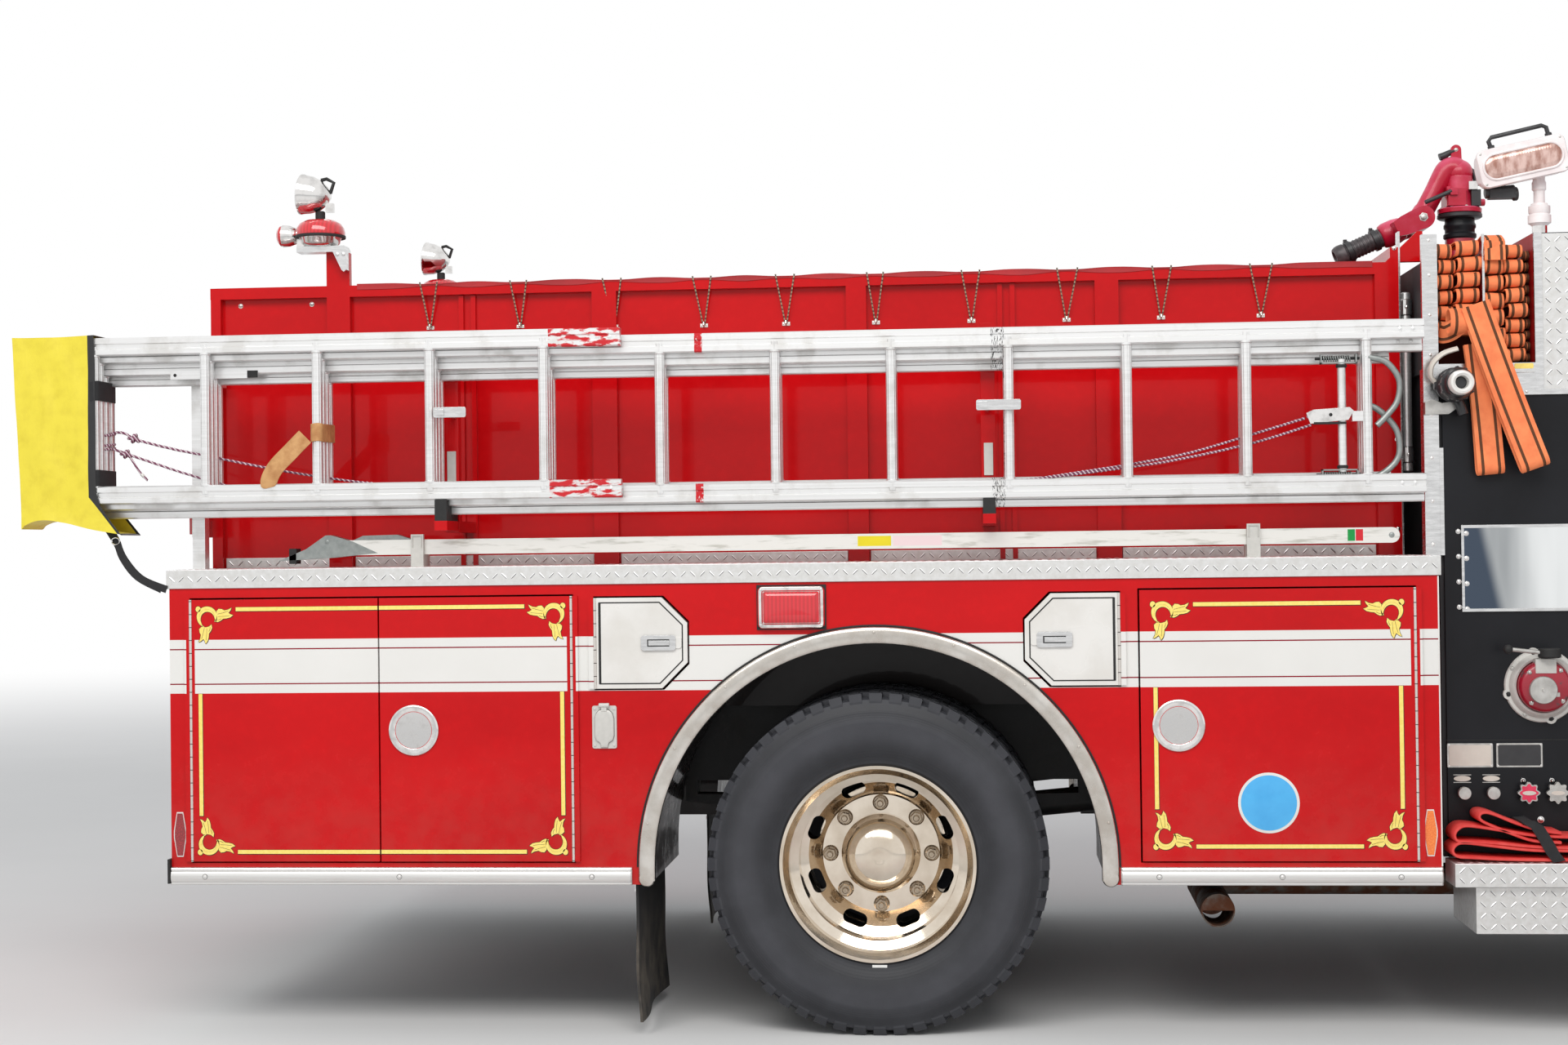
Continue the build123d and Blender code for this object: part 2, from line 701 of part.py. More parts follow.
# Pump house: closed lower house, open crosslay tray and closed front box
mast_x, mast_y, mast_radius = at(2030), -1000, 22
mast_foot_z = 1560
with BuildPart() as pump_house:
    house_y = (-pump_half, pump_half)
    block((pump_rear_x, pump_front_x), house_y, (pump_bottom_z, tray_floor_z))
    block((tray_front_x, pump_front_x), house_y, (tray_floor_z, deck_z))
    block((tray_rear_x, pump_rear_x), house_y, (tray_floor_z - 14, tray_floor_z))
    block((tray_rear_x, tray_rear_x + 12), house_y, (tray_floor_z, 2340))
    block((at(1838), at(1844)), house_y, (tray_floor_z, 2380))
    block((at(1895), tray_front_x + 10), (-110, 110), (deck_z - 14, deck_z))
    rail_gap = frame_half + 10
    block(
        (pump_rear_x - 1, pump_front_x + 1), (-rail_gap, rail_gap), (500, frame_top_z),
        Mode.SUBTRACT,
    )
    rod((mast_x, mast_y, mast_foot_z - 10), (0, 0, 1), mast_radius + 1, 1000, Mode.SUBTRACT)
keep(pump_house.part, "pump_house")

# Pump panels: dark sheets on both sides
panel_out = pump_half + panel_thickness
with BuildPart() as pump_panels:
    block((at(1712), pump_front_x - 12), (-panel_out, -pump_half), (pump_bottom_z, panel_top_z))
    both_sides()
keep(pump_panels.part, "pump_panels")

# Fittings of the pump panels: framed window, valves, caps, gauges, plates and knobs
discs = (
    dict(x=1990, z=1052, steps=((118, 14), (82, 90), (62, 150))),
    dict(x=2560, z=1052, steps=((118, 14), (82, 90), (62, 150))),
    dict(x=2300, z=800, steps=((140, 14), (112, 120), (124, 165))),
    dict(x=2190, z=1700, steps=((88, 26), (80, 30))),
    dict(x=2376, z=1700, steps=((88, 26), (80, 30))),
    dict(x=2520, z=1760, steps=((50, 22), (44, 26))),
    dict(x=2660, z=1760, steps=((50, 22), (44, 26))),
    dict(x=2520, z=1630, steps=((50, 22), (44, 26))),
    dict(x=2660, z=1630, steps=((50, 22), (44, 26))),
    dict(x=1754, z=734, steps=((10, 20), (20, 38))),
    dict(x=1839, z=734, steps=((10, 20), (20, 38))),
    dict(x=1938, z=734, steps=((10, 20), (34, 38))),
    dict(x=2030, z=734, steps=((10, 20), (38, 38))),
)
plates = (
    dict(x=(at(1761), at(2230)), z=(1267, 1527), lift=6),
    dict(x=(at(1711), at(1845)), z=(802, 875), lift=2),
    dict(x=(at(1855), at(1980)), z=(802, 875), lift=2),
    dict(x=(tray_front_x, pump_front_x - 12), z=(1930, 2400), lift=4),
)
with BuildPart() as pump_fittings:
    for disc in discs:
        for radius, length in disc["steps"]:
            rod((at(disc["x"]), -panel_out, disc["z"]), (0, -1, 0), radius, length)
    for sheet_metal in plates:
        back = pump_half if sheet_metal["z"][0] > panel_top_z else panel_out
        block(sheet_metal["x"], (-back - sheet_metal["lift"], -back), sheet_metal["z"])
    block((at(1656), pump_rear_x), (-panel_out - 8, -pump_half + 30), (ledge_z, tray_floor_z - 14))
    block((at(1656), at(1712)), (-panel_out - 8, -panel_out), (ledge_z, 1960))
    block((at(1656), tray_rear_x + 12), (-panel_out - 8, -pump_half), (tray_floor_z - 14, deck_z))
    block((pump_front_x - 12, pump_front_x), (-panel_out - 8, -pump_half), (pump_bottom_z, deck_z))
    both_sides()
    # The deck monitor's riser stands on the pump house
    riser_x, yaw_z = at(2004), 2600
    rod((riser_x, 0, deck_z), (0, 0, 1), 95, 18)
    rod((riser_x, 0, deck_z + 18), (0, 0, 1), 50, yaw_z - deck_z - 18)
keep(pump_fittings.part, "pump_fittings")

# Hoses: crosslay hose folded flat in the tray's two columns, its nozzle, and the step hose
hose_layer, hose_gap, hose_count = 33, 0.3, 9
with BuildPart() as hoses:
    for column in ((at(1704), at(1836)), (at(1846), at(1988))):
        with BuildSketch(Plane.YZ.offset(column[0])) as folds:
            for layer in range(hose_count):
                middle_z = tray_floor_z + hose_gap + (layer + 0.5) * (hose_layer + hose_gap)
                reach = pump_half + 8 + (18 if layer % 2 else 0)
                with Locations((0, middle_z)):
                    RectangleRounded(2 * reach, hose_layer, 14)
        extrude(folds.sketch, amount=column[1] - column[0])

    # A fold that bulges out of the tray, and two flat loops that hang from it in front
    fold_x, fold_z = (at(1724), at(1816)), 2134
    with BuildSketch(Plane.YZ.offset(fold_x[0])) as fold:
        with Locations((-pump_half - 43, fold_z)):
            RectangleRounded(80, 82, 30)
    extrude(fold.sketch, amount=fold_x[1] - fold_x[0])
    loop_width, loop_fold, loop_wall = 86, 44, 12
    hanging_loops = (
        dict(top=(at(1812), 2064), bottom=(at(1846), 1684), y=-panel_out - 24),
        dict(top=(at(1798), 2184), bottom=(at(1968), 1696), y=-panel_out - 66),
    )
    for loop in hanging_loops:
        (top_x, top_z), (bottom_x, bottom_z) = loop["top"], loop["bottom"]
        down = Vector(bottom_x - top_x, 0, bottom_z - top_z)
        middle = ((top_x + bottom_x) / 2, loop["y"], (top_z + bottom_z) / 2)
        across = down.cross(Vector(0, 1, 0))
        with BuildSketch(Plane(origin=middle, x_dir=down, z_dir=across)) as ring:
            SlotOverall(down.length, loop_fold)
            hollow = loop_fold - 2 * loop_wall
            SlotOverall(down.length - 2 * loop_wall, hollow, mode=Mode.SUBTRACT)
        extrude(ring.sketch, amount=loop_width / 2, both=True)

    # The nozzle in the tray's mouth
    nozzle_x, nozzle_z, nozzle_y = at(1735), 1945, -panel_out - 8
    rod((nozzle_x, nozzle_y, nozzle_z), (0, -1, 0), 50, 40)
    rod((nozzle_x, nozzle_y - 40, nozzle_z), (0, -1, 0), 42, 110)
    rod((nozzle_x, nozzle_y - 150, nozzle_z), (0, -1, 0), 26, 30)
    # Flat hose folded on the running board
    for row in range(3):
        low = board_top_z + hose_gap + row * 30
        board_y = (10 - board_half, -panel_out - 1)
        block((at(1712 + 12 * row), at(2230)), board_y, (low, low + 30))
keep(hoses.part, "hoses")

# Soft cover over the hose bed, arched between the flanges
cover_x = (at(-1690), at(1560))
cover_edge, cover_rise, cover_thickness = bed_half + 4, 46, 4
with BuildPart() as hose_bed_cover:
    with BuildSketch(Plane.YZ.offset(cover_x[0])):
        with BuildLine():
            edge_z = bed_top_z + hose_gap
            low = edge_z - 14
            top = edge_z + cover_thickness
            ThreePointArc((-cover_edge, top), (0, top + cover_rise), (cover_edge, top))
            Line((cover_edge, top), (cover_edge, low))
            Line((cover_edge, low), (bed_half + hose_gap, low))
            Line((bed_half + hose_gap, low), (bed_half + hose_gap, edge_z))
            ThreePointArc(
                (bed_half + hose_gap, edge_z), (0, edge_z + cover_rise), (-bed_half - hose_gap, edge_z)
            )
            Line((-bed_half - hose_gap, edge_z), (-bed_half - hose_gap, low))
            Line((-bed_half - hose_gap, low), (-cover_edge, low))
            Line((-cover_edge, low), (-cover_edge, top))
        make_face()
    extrude(amount=cover_x[1] - cover_x[0])
keep(hose_bed_cover.part, "hose_bed_cover")

# Ladders stowed on edge at the right side: rails in channel section and round rungs
rung_pitch, rung_radius = 355.6, 16
first_rung_x = at(-1008) - 4 * rung_pitch
ladder_rear_x = at(-2660)
ladders = dict(
    short=dict(front=at(-768), out=1197, deep=30, z=(1645, 2165), rail=56, rungs=5),
    roof=dict(front=at(1650), out=1162, deep=30, z=(1626, 2145), rail=58, rungs=12),
    base=dict(front=at(1650), out=1127, deep=37, z=(1600, 2112), rail=62, rungs=12),
    fly=dict(front=at(1560), out=1085, deep=37, z=(1636, 2076), rail=56, rungs=12),
)


def ladder(rear, front, out, deep, z, rail, rungs):
    """Two grooved rails with rungs at the common pitch."""
    for low in (z[0], z[1] - rail):
        block((rear, front), (-out, deep - out), (low, low + rail))
        groove_z = (low + rail * 0.36, low + rail * 0.64)
        block((rear - 1, front + 1), (-out - 1, 4 - out), groove_z, Mode.SUBTRACT)
    for step in range(rungs):
        rung_x = first_rung_x + step * rung_pitch
        rod((rung_x, deep / 2 - out, z[0] + rail / 2), (0, 0, 1), rung_radius, z[1] - z[0] - rail)


with BuildPart() as outer_ladders:
    for name in ("short", "roof"):
        size = ladders[name]
        ladder(ladder_rear_x, **size)
    # Roof hooks folded inside the roof ladder's front end, on a sprung tube
    hook_x, hook_y, hook_z = at(1405), -1147, (1684, 2087)
    rod((hook_x, hook_y, hook_z[0]), (0, 0, 1), 13, hook_z[1] - hook_z[0])
    for end_z, turn in ((hook_z[0], 14), (hook_z[1], -14)):
        block((at(1342), at(1451)), (hook_y - 12, hook_y + 12), (end_z, end_z + turn))
    rung_face_x = first_rung_x + 11 * rung_pitch + rung_radius
    hooks = (
        dict(y=hook_y - 5, root_z=2032, turn=(59, 2004), tip=(81, 1944), end_z=1832),
        dict(y=hook_y + 18, root_z=1888, turn=(60, 1838), tip=(82, 1760), end_z=1672),
    )
    for hook in hooks:
        with BuildLine() as bend:
            root, end = [(rung_face_x, hook["y"], z) for z in (hook["root_z"], hook["end_z"])]
            turn, tip = [(rung_face_x + x, hook["y"], z) for x, z in (hook["turn"], hook["tip"])]
            upper_arc = ThreePointArc(root, turn, tip)
            TangentArc(tip, end, tangent=upper_arc % 1)
        bent_bar(bend, 10)
keep(outer_ladders.part, "outer_ladders")
with BuildPart() as extension_ladder:
    for name in ("base", "fly"):
        size = ladders[name]
        ladder(ladder_rear_x, **size)
keep(extension_ladder.part, "extension_ladder")

# Attic ladder folded into one bar above the ledge, on two brackets
attic_out, attic_z = 1080, (1477, 1524)
with BuildPart() as attic_ladder:
    with BuildSketch(right_side(attic_out)):
        with Locations(((at(-1700) + at(1585)) / 2, sum(attic_z) / 2)):
            SlotOverall(at(1585) - at(-1700), attic_z[1] - attic_z[0])
        with BuildLine():
            Polyline(
                (at(-1560), attic_z[0] + 4), (at(-1880), attic_z[0] - 18),
                (at(-1880), attic_z[0] + 2), (at(-1640), attic_z[1] - 4), close=True,
            )
        make_face()
    extrude(amount=-52)
keep(attic_ladder.part, "attic_ladder")

# Ladder rack: posts on the ledge with arms under the rails, clamps and ladder seats
rack_x = (at(-1330), at(352))
rack_post_y = (-1042, -1002)
with BuildPart() as ladder_rack:
    for post_x in rack_x:
        block((post_x - 22, post_x + 22), rack_post_y, (attic_z[1] + 20, 2170))
        block((post_x - 22, post_x + 22), (-1002, -sheet_out), (attic_z[1] + 20, attic_z[1] + 56))
        block((post_x - 22, post_x + 22), (-1002, -sheet_out), (2110, 2146))
        for name, size in ladders.items():
            seat_y = (-size["out"] - 1, size["deep"] - size["out"] + 1)
            if name != "short" or post_x == rack_x[0]:
                block((post_x - 20, post_x + 20), seat_y, (1570, size["z"][0] - 0.3))
        reach = -ladders["short"]["out"] - 1 if post_x == rack_x[0] else -1164
        block((post_x - 20, post_x + 20), (reach, -1002), (1550, 1580))
    clamps = (
        dict(stem=(at(-1338), at(-1300)), plate_x=(at(-1347), at(-1245)), z=(1897, 1929), out=1201),
        dict(stem=(at(330), at(368)), plate_x=(at(316), at(451)), z=(1893, 1925), out=1166),
    )
    for clamp in clamps:
        block(clamp["stem"], (-clamp["out"], -1040), clamp["z"])
        block(clamp["plate_x"], (-clamp["out"] - 18, -clamp["out"]), clamp["z"])
    for bracket_x in (at(-1431), at(1148)):
        block((bracket_x - 20, bracket_x + 20), (-attic_out - 14, -attic_out), (ledge_z, 1540))
        block((bracket_x - 20, bracket_x + 20), (-attic_out, -1010), (ledge_z, attic_z[0]))
    block((at(-2170), at(-2130)), (-1040, -1000), (ledge_z, 2070))
    block((at(-2170), at(-2130)), (-1000, -bed_half), (2030, 2070))
    grab_x, grab_y, grab_z = at(1665), 24 - bed_half, (1720, 2245)
    rod((grab_x, grab_y, grab_z[0]), (0, 0, 1), 12, grab_z[1] - grab_z[0])
    for bracket_z in (1750, 2215):
        rod((bed_front_x, grab_y, bracket_z), (1, 0, 0), 11, grab_x - bed_front_x)
keep(ladder_rack.part, "ladder_rack")

# Soft cover bag over the ladders' rear ends
bag_wall, bag_gap = 10, 0.3
bag_x = (at(-2690), at(-2440))
bag_y = (
    -ladders["short"]["out"] - bag_gap - bag_wall,
    ladders["fly"]["deep"] - ladders["fly"]["out"] + bag_gap + bag_wall,
)
bag_z = (1572, ladders["short"]["z"][1] + bag_gap + bag_wall)
with BuildPart() as ladder_cover:
    block(bag_x, bag_y, bag_z)
    fillet(ladder_cover.edges().filter_by(Axis.Y), 18)
    block(
        (bag_x[0] + bag_wall, bag_x[1] + 20),
        (bag_y[0] + bag_wall, bag_y[1] - bag_wall),
        (bag_z[0] + bag_wall, bag_z[1] - bag_wall),
        Mode.SUBTRACT,
    )
keep(ladder_cover.part, "ladder_cover")

# Lamps of the body: rear beacons on their posts, side markers and tail lamps
with BuildPart() as body_lamps:
    beacon_x, beacon_y = at(-1765), -bed_half - 8
    block((at(-1880), at(-1715)), (beacon_y - 42, beacon_y + 42), (2464, 2484))
    with Locations((at(-1808), beacon_y, 2536)):
        Cylinder(78, 52)
    rod((at(-1808), beacon_y, 2484), (0, 0, 1), 60, 30)
    rod((at(-1808), beacon_y, 2562), (0, 0, 1), 20, 40)
    rod((at(-1770), beacon_y, 2640), (-1, 0, 0.12), 62, 110)
    rod((at(-1880), beacon_y, 2520), (-1, 0, 0), 34, 70)
    marker = ((at(-350), at(-147)), (-body_half - 26, -body_half), (1240, 1368))
    block(*marker)
    block((at(-861), at(-786)), (-body_half - 14, -body_half), (880, 1010))
    for lamp_z in (1100, 1220):
        rod((body_rear_x, -880, lamp_z), (-1, 0, 0), 70, 30)
    block((body_rear_x - 24, body_rear_x), (-980, -780), (1600 - 60, 1600 + 60))
    both_sides()
keep(body_lamps.part, "body_lamps")

# Cab shell: a raked box with rounded front corners, hollow, on the frame rails
door_top_z = 2400
cab_doors = {
    "front_cab_door": dict(x=(fore(80), fore(940)), low=700, window=(fore(180), fore(860))),
    "rear_cab_door": dict(x=(cab_rear_x + 235, fore(-750)), low=600, window=(cab_rear_x + 325, fore(-840))),
}
window_z = (1560, 2320)
windshield_z, windshield_y = (1590, 2470), (60, 970)
cab_door_face = cab_half + 5
cab_barrels_z, barrel_length = (1480, 2200), 120
door_well_gap = 30
front_floor_z, rear_floor_z = 820, 720
deck_rear_x = fore(-690)


def cab_prism(inset):
    """The cab's outer form, or its inside when inset by the wall."""
    half, front, top = cab_half - inset, cab_front_x - inset, cab_roof_z - inset
    with BuildPart() as form:
        with BuildSketch(right_side(half)):
            with BuildLine():
                Polyline(
                    (cab_rear_x + inset, cab_bottom_z), (front, cab_bottom_z),
                    (front, cab_belt_z), (front - cab_rake, top),
                    (cab_rear_x + inset, top), close=True,
                )
            make_face()
        extrude(amount=-2 * half)
        with BuildSketch(Plane.XY.offset(cab_bottom_z)) as plan:
            with Locations(((cab_rear_x + inset + front) / 2, 0)):
                Rectangle(front - cab_rear_x - inset, 2 * half)
            fillet(plan.vertices().group_by(Axis.X)[-1], cab_corner - inset)
        extrude(plan.sketch, amount=cab_roof_z - cab_bottom_z, mode=Mode.INTERSECT)
    return form.part


def cab_door_outline(door, grow):
    """A cab door's outline, cut round above the front wheel where it reaches it."""
    x0, x1 = door["x"][0] - grow, door["x"][1] + grow
    panel((x0, x1), (door["low"] - grow, door_top_z + grow))
    with Locations((front_axle_x, wheel_z)):
        Circle(well_radius + door_well_gap - grow, mode=Mode.SUBTRACT)


with BuildPart() as cabin:
    add(cab_prism(cab_wall))
    inside_y = (-cab_half, cab_half)
    tunnel_y = (-frame_half - 23, frame_half + 23)
    cab_x = (cab_rear_x, cab_front_x)
    block(cab_x, inside_y, (cab_bottom_z - 1, rear_floor_z), Mode.SUBTRACT)
    block((deck_rear_x, hump_front_x), inside_y, (rear_floor_z, floor_top_z), Mode.SUBTRACT)
    block((hump_front_x, cab_front_x), inside_y, (rear_floor_z, front_floor_z), Mode.SUBTRACT)
    block(cab_x, tunnel_y, (rear_floor_z, tunnel_top_z), Mode.SUBTRACT)
    block((hump_rear_x, hump_front_x), (-hump_half, hump_half), (900, hump_top_z), Mode.SUBTRACT)
with BuildPart() as cab_shell:
    add(cab_prism(0))
    fillet(cab_shell.edges().group_by(Axis.Z)[-1], 40)
    add(cabin.part, mode=Mode.SUBTRACT)
    rail_y = (-frame_half - 13, frame_half + 13)
    block((cab_rear_x - 1, frame_front_x + 20), rail_y, (500, frame_top_z), Mode.SUBTRACT)
    block((frame_front_x, cab_front_x + 1), rail_y, (500, frame_bottom_z + 5), Mode.SUBTRACT)
    engine_bay_x = (engine_x[0] - 100, engine_x[1] + 50)
    block(engine_bay_x, (-400, 400), (500, 1400), Mode.SUBTRACT)
    for side in (-1, 1):
        with BuildSketch(right_side(side * (cab_half + 1))) as well:
            with Locations((front_axle_x, wheel_z)):
                Circle(well_radius)
        depth = well_inner_y - cab_half - 1
        extrude(well.sketch, amount=side * depth, mode=Mode.SUBTRACT)
        for door in cab_doors.values():
            with BuildSketch(right_side(side * (cab_half + 1))) as opening:
                cab_door_outline(door, door_gap)
            extrude(opening.sketch, amount=-side * (cab_wall + 1), mode=Mode.SUBTRACT)
            leaf_x = (door["x"][1] + barrel_radius + hinge_gap, door["x"][1] + 24)
            for barrel_z in cab_barrels_z:
                leaf_z = (barrel_z - barrel_length / 2, barrel_z + barrel_length / 2)
                block(leaf_x, (side * cab_half, side * (cab_door_face + 1)), leaf_z)
        wall_y = (side * (cab_half + 1), side * (cab_half - cab_wall - 1))
        block((fore(-670), fore(-10)), wall_y, (1640, window_z[1]), Mode.SUBTRACT)
        pane_y = (side * windshield_y[0], side * windshield_y[1])
        block((fore(1000), cab_front_x + 1), pane_y, windshield_z, Mode.SUBTRACT)
        back_x = (cab_rear_x - 1, cab_rear_x + cab_wall + 1)
        block(back_x, (side * 220, side * 900), (1700, 2250), Mode.SUBTRACT)

# The shell parts where its panels meet: roof, walls, front, tunnel and floors
roof, below_roof = divide(cab_shell.part, Plane.XY.offset(cab_roof_z - cab_wall))
ahead, rear_wall = divide(below_roof, Plane.YZ.offset(cab_rear_x + cab_wall))
right_wall, inboard = divide(ahead, right_side(cab_half - cab_wall))
inboard, left_wall = divide(inboard, right_side(cab_wall - cab_half))
cab_nose, floors = divide(inboard, Plane.YZ.offset(cab_front_x - cab_corner))
right_floors, inboard = divide(floors, right_side(frame_half + 23))
tunnel, left_floors = divide(inboard, right_side(-frame_half - 23))
low_and_high = [
    half
    for floor in (right_floors, left_floors)
    for half in divide(floor, Plane.YZ.offset(deck_rear_x))
]
keep(
    together(roof, rear_wall, right_wall, left_wall, cab_nose, tunnel, *low_and_high),
    "cab_shell",
)

# Fixed glass of the cab: two windshield panes, side panes and rear panes
glass = 6
with BuildPart() as cab_glass:
    slope = cab_rake / (cab_roof_z - cab_belt_z)
    pane_x = [cab_front_x - 22 - slope * (z - cab_belt_z) for z in windshield_z]
    with BuildSketch(Plane.XZ.offset(-windshield_y[0])) as pane:
        with BuildLine() as outline:
            Polyline(
                (pane_x[0], windshield_z[0]), (pane_x[1], windshield_z[1]),
                (pane_x[1] - glass, windshield_z[1]), (pane_x[0] - glass, windshield_z[0]),
                close=True,
            )
        make_face(outline.edges())
    extrude(pane.sketch, amount=windshield_y[0] - windshield_y[1])
    side_y = (cab_half - 25, cab_half - 25 + glass)
    block((fore(-670), fore(-10)), side_y, (1640, window_z[1]))
    block((cab_rear_x + 20, cab_rear_x + 20 + glass), (220, 900), (1700, 2250))
    both_sides()
keep(cab_glass.part, "cab_glass")

# Cab doors of the right side, each with its window glass, handle and hinge barrels
for name, door in cab_doors.items():
    with BuildPart() as cab_door:
        with BuildSketch(right_side(cab_door_face)) as face:
            cab_door_outline(door, 0)
            with Locations((sum(door["window"]) / 2, sum(window_z) / 2)):
                RectangleRounded(
                    door["window"][1] - door["window"][0], window_z[1] - window_z[0], 60,
                    mode=Mode.SUBTRACT,
                )
        extrude(face.sketch, amount=-cab_wall)
        with BuildSketch(right_side(cab_door_face - 22)) as pane:
            with Locations((sum(door["window"]) / 2, sum(window_z) / 2)):
                RectangleRounded(
                    door["window"][1] - door["window"][0], window_z[1] - window_z[0], 60
                )
        pane_solid = extrude(pane.sketch, amount=-glass, mode=Mode.PRIVATE)
        with BuildSketch(right_side(cab_door_face)) as handle:
            with Locations((door["x"][0] + 90, 1420)):
                RectangleRounded(120, 46, 12)
        extrude(handle.sketch, amount=14)
        for barrel_z in cab_barrels_z:
            with Locations((door["x"][1], -cab_door_face, barrel_z)):
                Cylinder(barrel_radius, barrel_length)
    keep_pair(together(cab_door.part, pane_solid), name)

# Front bumper: bright wrap-round plate with a treaded deck, on the frame horns
bumper_z = (480, 760)
with BuildPart() as front_bumper:
    with BuildSketch(Plane.XY.offset(bumper_z[0])) as plan:
        bumper_x = (cab_front_x + 5, bumper_front_x)
        with Locations((sum(bumper_x) / 2, 0)):
            Rectangle(bumper_x[1] - bumper_x[0], 2 * cab_half)
        fillet(plan.vertices().group_by(Axis.X)[-1], 140)
    extrude(plan.sketch, amount=bumper_z[1] - bumper_z[0])
    with BuildSketch(Plane.XY.offset(bumper_z[0] - 1)) as inside:
        with Locations((sum(bumper_x) / 2 - bumper_plate, 0)):
            Rectangle(bumper_x[1] - bumper_x[0], 2 * (cab_half - bumper_plate))
        fillet(inside.vertices().group_by(Axis.X)[-1], 140 - bumper_plate)
    inside_height = bumper_z[1] - bumper_z[0] + 1 - bumper_plate
    extrude(inside.sketch, amount=inside_height, mode=Mode.SUBTRACT)
keep(front_bumper.part, "front_bumper")

# Grille with slats between headlamp housings on the cab's front
with BuildPart() as cab_grille:
    grille_x, grille_z = (cab_front_x, cab_front_x + 14), (830, 1400)
    block(grille_x, (-480, 480), grille_z)
    block((cab_front_x + 6, cab_front_x + 20), (-450, 450), (860, 1370), Mode.SUBTRACT)
    slat_count = 9
    for slat in range(slat_count):
        slat_z = 895 + slat * 55
        block((cab_front_x + 5, cab_front_x + 14), (-450, 450), (slat_z - 10, slat_z + 10))
    for side in (-1, 1):
        block(grille_x, (side * 560, side * 975), (900, 1110))
        for lamp_y in (665, 870):
            rod((cab_front_x + 14, side * lamp_y, 1005), (1, 0, 0), 82, 14)
        block(grille_x, (side * 560, side * 975), (1140, 1270))
keep(cab_grille.part, "cab_grille")

# Light bar on two feet across the cab roof, with a siren speaker
with BuildPart() as light_bar:
    bar_x = (fore(550), fore(840))
    for side in (-1, 1):
        foot_y = (side * 520, side * 640)
        block((bar_x[0] + 60, bar_x[1] - 60), foot_y, (cab_roof_z, cab_roof_z + 40))
    block(bar_x, (-760, 760), (cab_roof_z + 40, cab_roof_z + 180))
    fillet(light_bar.edges().filter_by(Axis.Y).group_by(Axis.Z)[-1], 35)
keep(light_bar.part, "light_bar")

# Mirrors on arms at the front corners
mirror_out, mirror_width = 1400, 165
mirror_x = (fore(1000), fore(1035))
mirror_arms, mirror_margin = (1620, 2080), 20
post_inset = 60
with BuildPart() as mirrors:
    post_y = -mirror_out + post_inset
    for arm_z in mirror_arms:
        rod((fore(1017), -cab_half, arm_z), (0, -1, 0), 10, -post_y - cab_half)
    block(mirror_x, (-mirror_out, -mirror_out + mirror_width), (1660, 2050))
    post_height = mirror_arms[1] - mirror_arms[0] + 2 * mirror_margin
    rod((fore(1017), post_y, mirror_arms[0] - mirror_margin), (0, 0, 1), 11, post_height)
    both_sides()
keep(mirrors.part, "mirrors")

# Seats: two at the front, four along the rear wall
seat_rows = (
    dict(x=fore(430), y=640, floor=floor_top_z, rise=320),
    dict(x=cab_rear_x + 345, y=870, floor=rear_floor_z, rise=440),
    dict(x=cab_rear_x + 345, y=330, floor=tunnel_top_z, rise=150),
)
with BuildPart() as seats:
    for seat in seat_rows:
        x, y, low = seat["x"], seat["y"], seat["floor"]
        top = low + seat["rise"]
        block((x - 200, x + 220), (y - 190, y + 190), (low, top))
        block((x - 230, x + 250), (y - 240, y + 240), (top, top + 110))
        block((x - 290, x - 150), (y - 240, y + 240), (top + 110, top + 760))
    both_sides()
keep(seats.part, "seats")

# Dashboard with the steering column, and the steering wheel on it
column_foot, column_top = (fore(960), 640, 1450), (fore(770), 640, 1800)
with BuildPart() as dashboard:
    dash_x = (fore(940), cab_front_x - cab_wall)
    block(dash_x, (-940, 940), (1220, 1500))
    fillet(dashboard.edges().filter_by(Axis.Y).group_by(Axis.X)[0], 60)
column = Vector(*column_top) - Vector(*column_foot)
with BuildPart() as steering_column:
    rod(column_foot, column, 28, column.length)
    add(dashboard.part, mode=Mode.SUBTRACT)
keep(together(dashboard.part, steering_column.part), "dashboard")
wheel_plane = Plane(origin=column_top, z_dir=column)
with BuildPart() as steering_wheel:
    with Locations(wheel_plane.offset(30)):
        Torus(215, 15)
        Cylinder(45, 58)
        with Locations((0, 0, 0)):
            Box(410, 36, 12)
keep(steering_wheel.part, "steering_wheel")

# Flood lamp on its sliding mast, its head tilted up towards the front
head_tilt = 11.5
with BuildPart() as flood_lamp:
    with Locations(Location((at(1970), mast_y - 5, 2624), (0, -head_tilt, 0))):
        Box(268, 130, 118)
    fillet(flood_lamp.edges().filter_by(Axis.Y), 26)
    rod((mast_x, mast_y, mast_foot_z), (0, 0, 1), mast_radius, 2590 - mast_foot_z)
    rod((mast_x, mast_y, 2440), (0, 0, 1), 34, 56)
    pipe(
        [
            (at(1906), mast_y, 2655), (at(1893), mast_y, 2716), (at(2063), mast_y, 2757),
            (at(2076), mast_y, 2690),
        ],
        18,
        8,
    )
keep(flood_lamp.part, "flood_lamp")

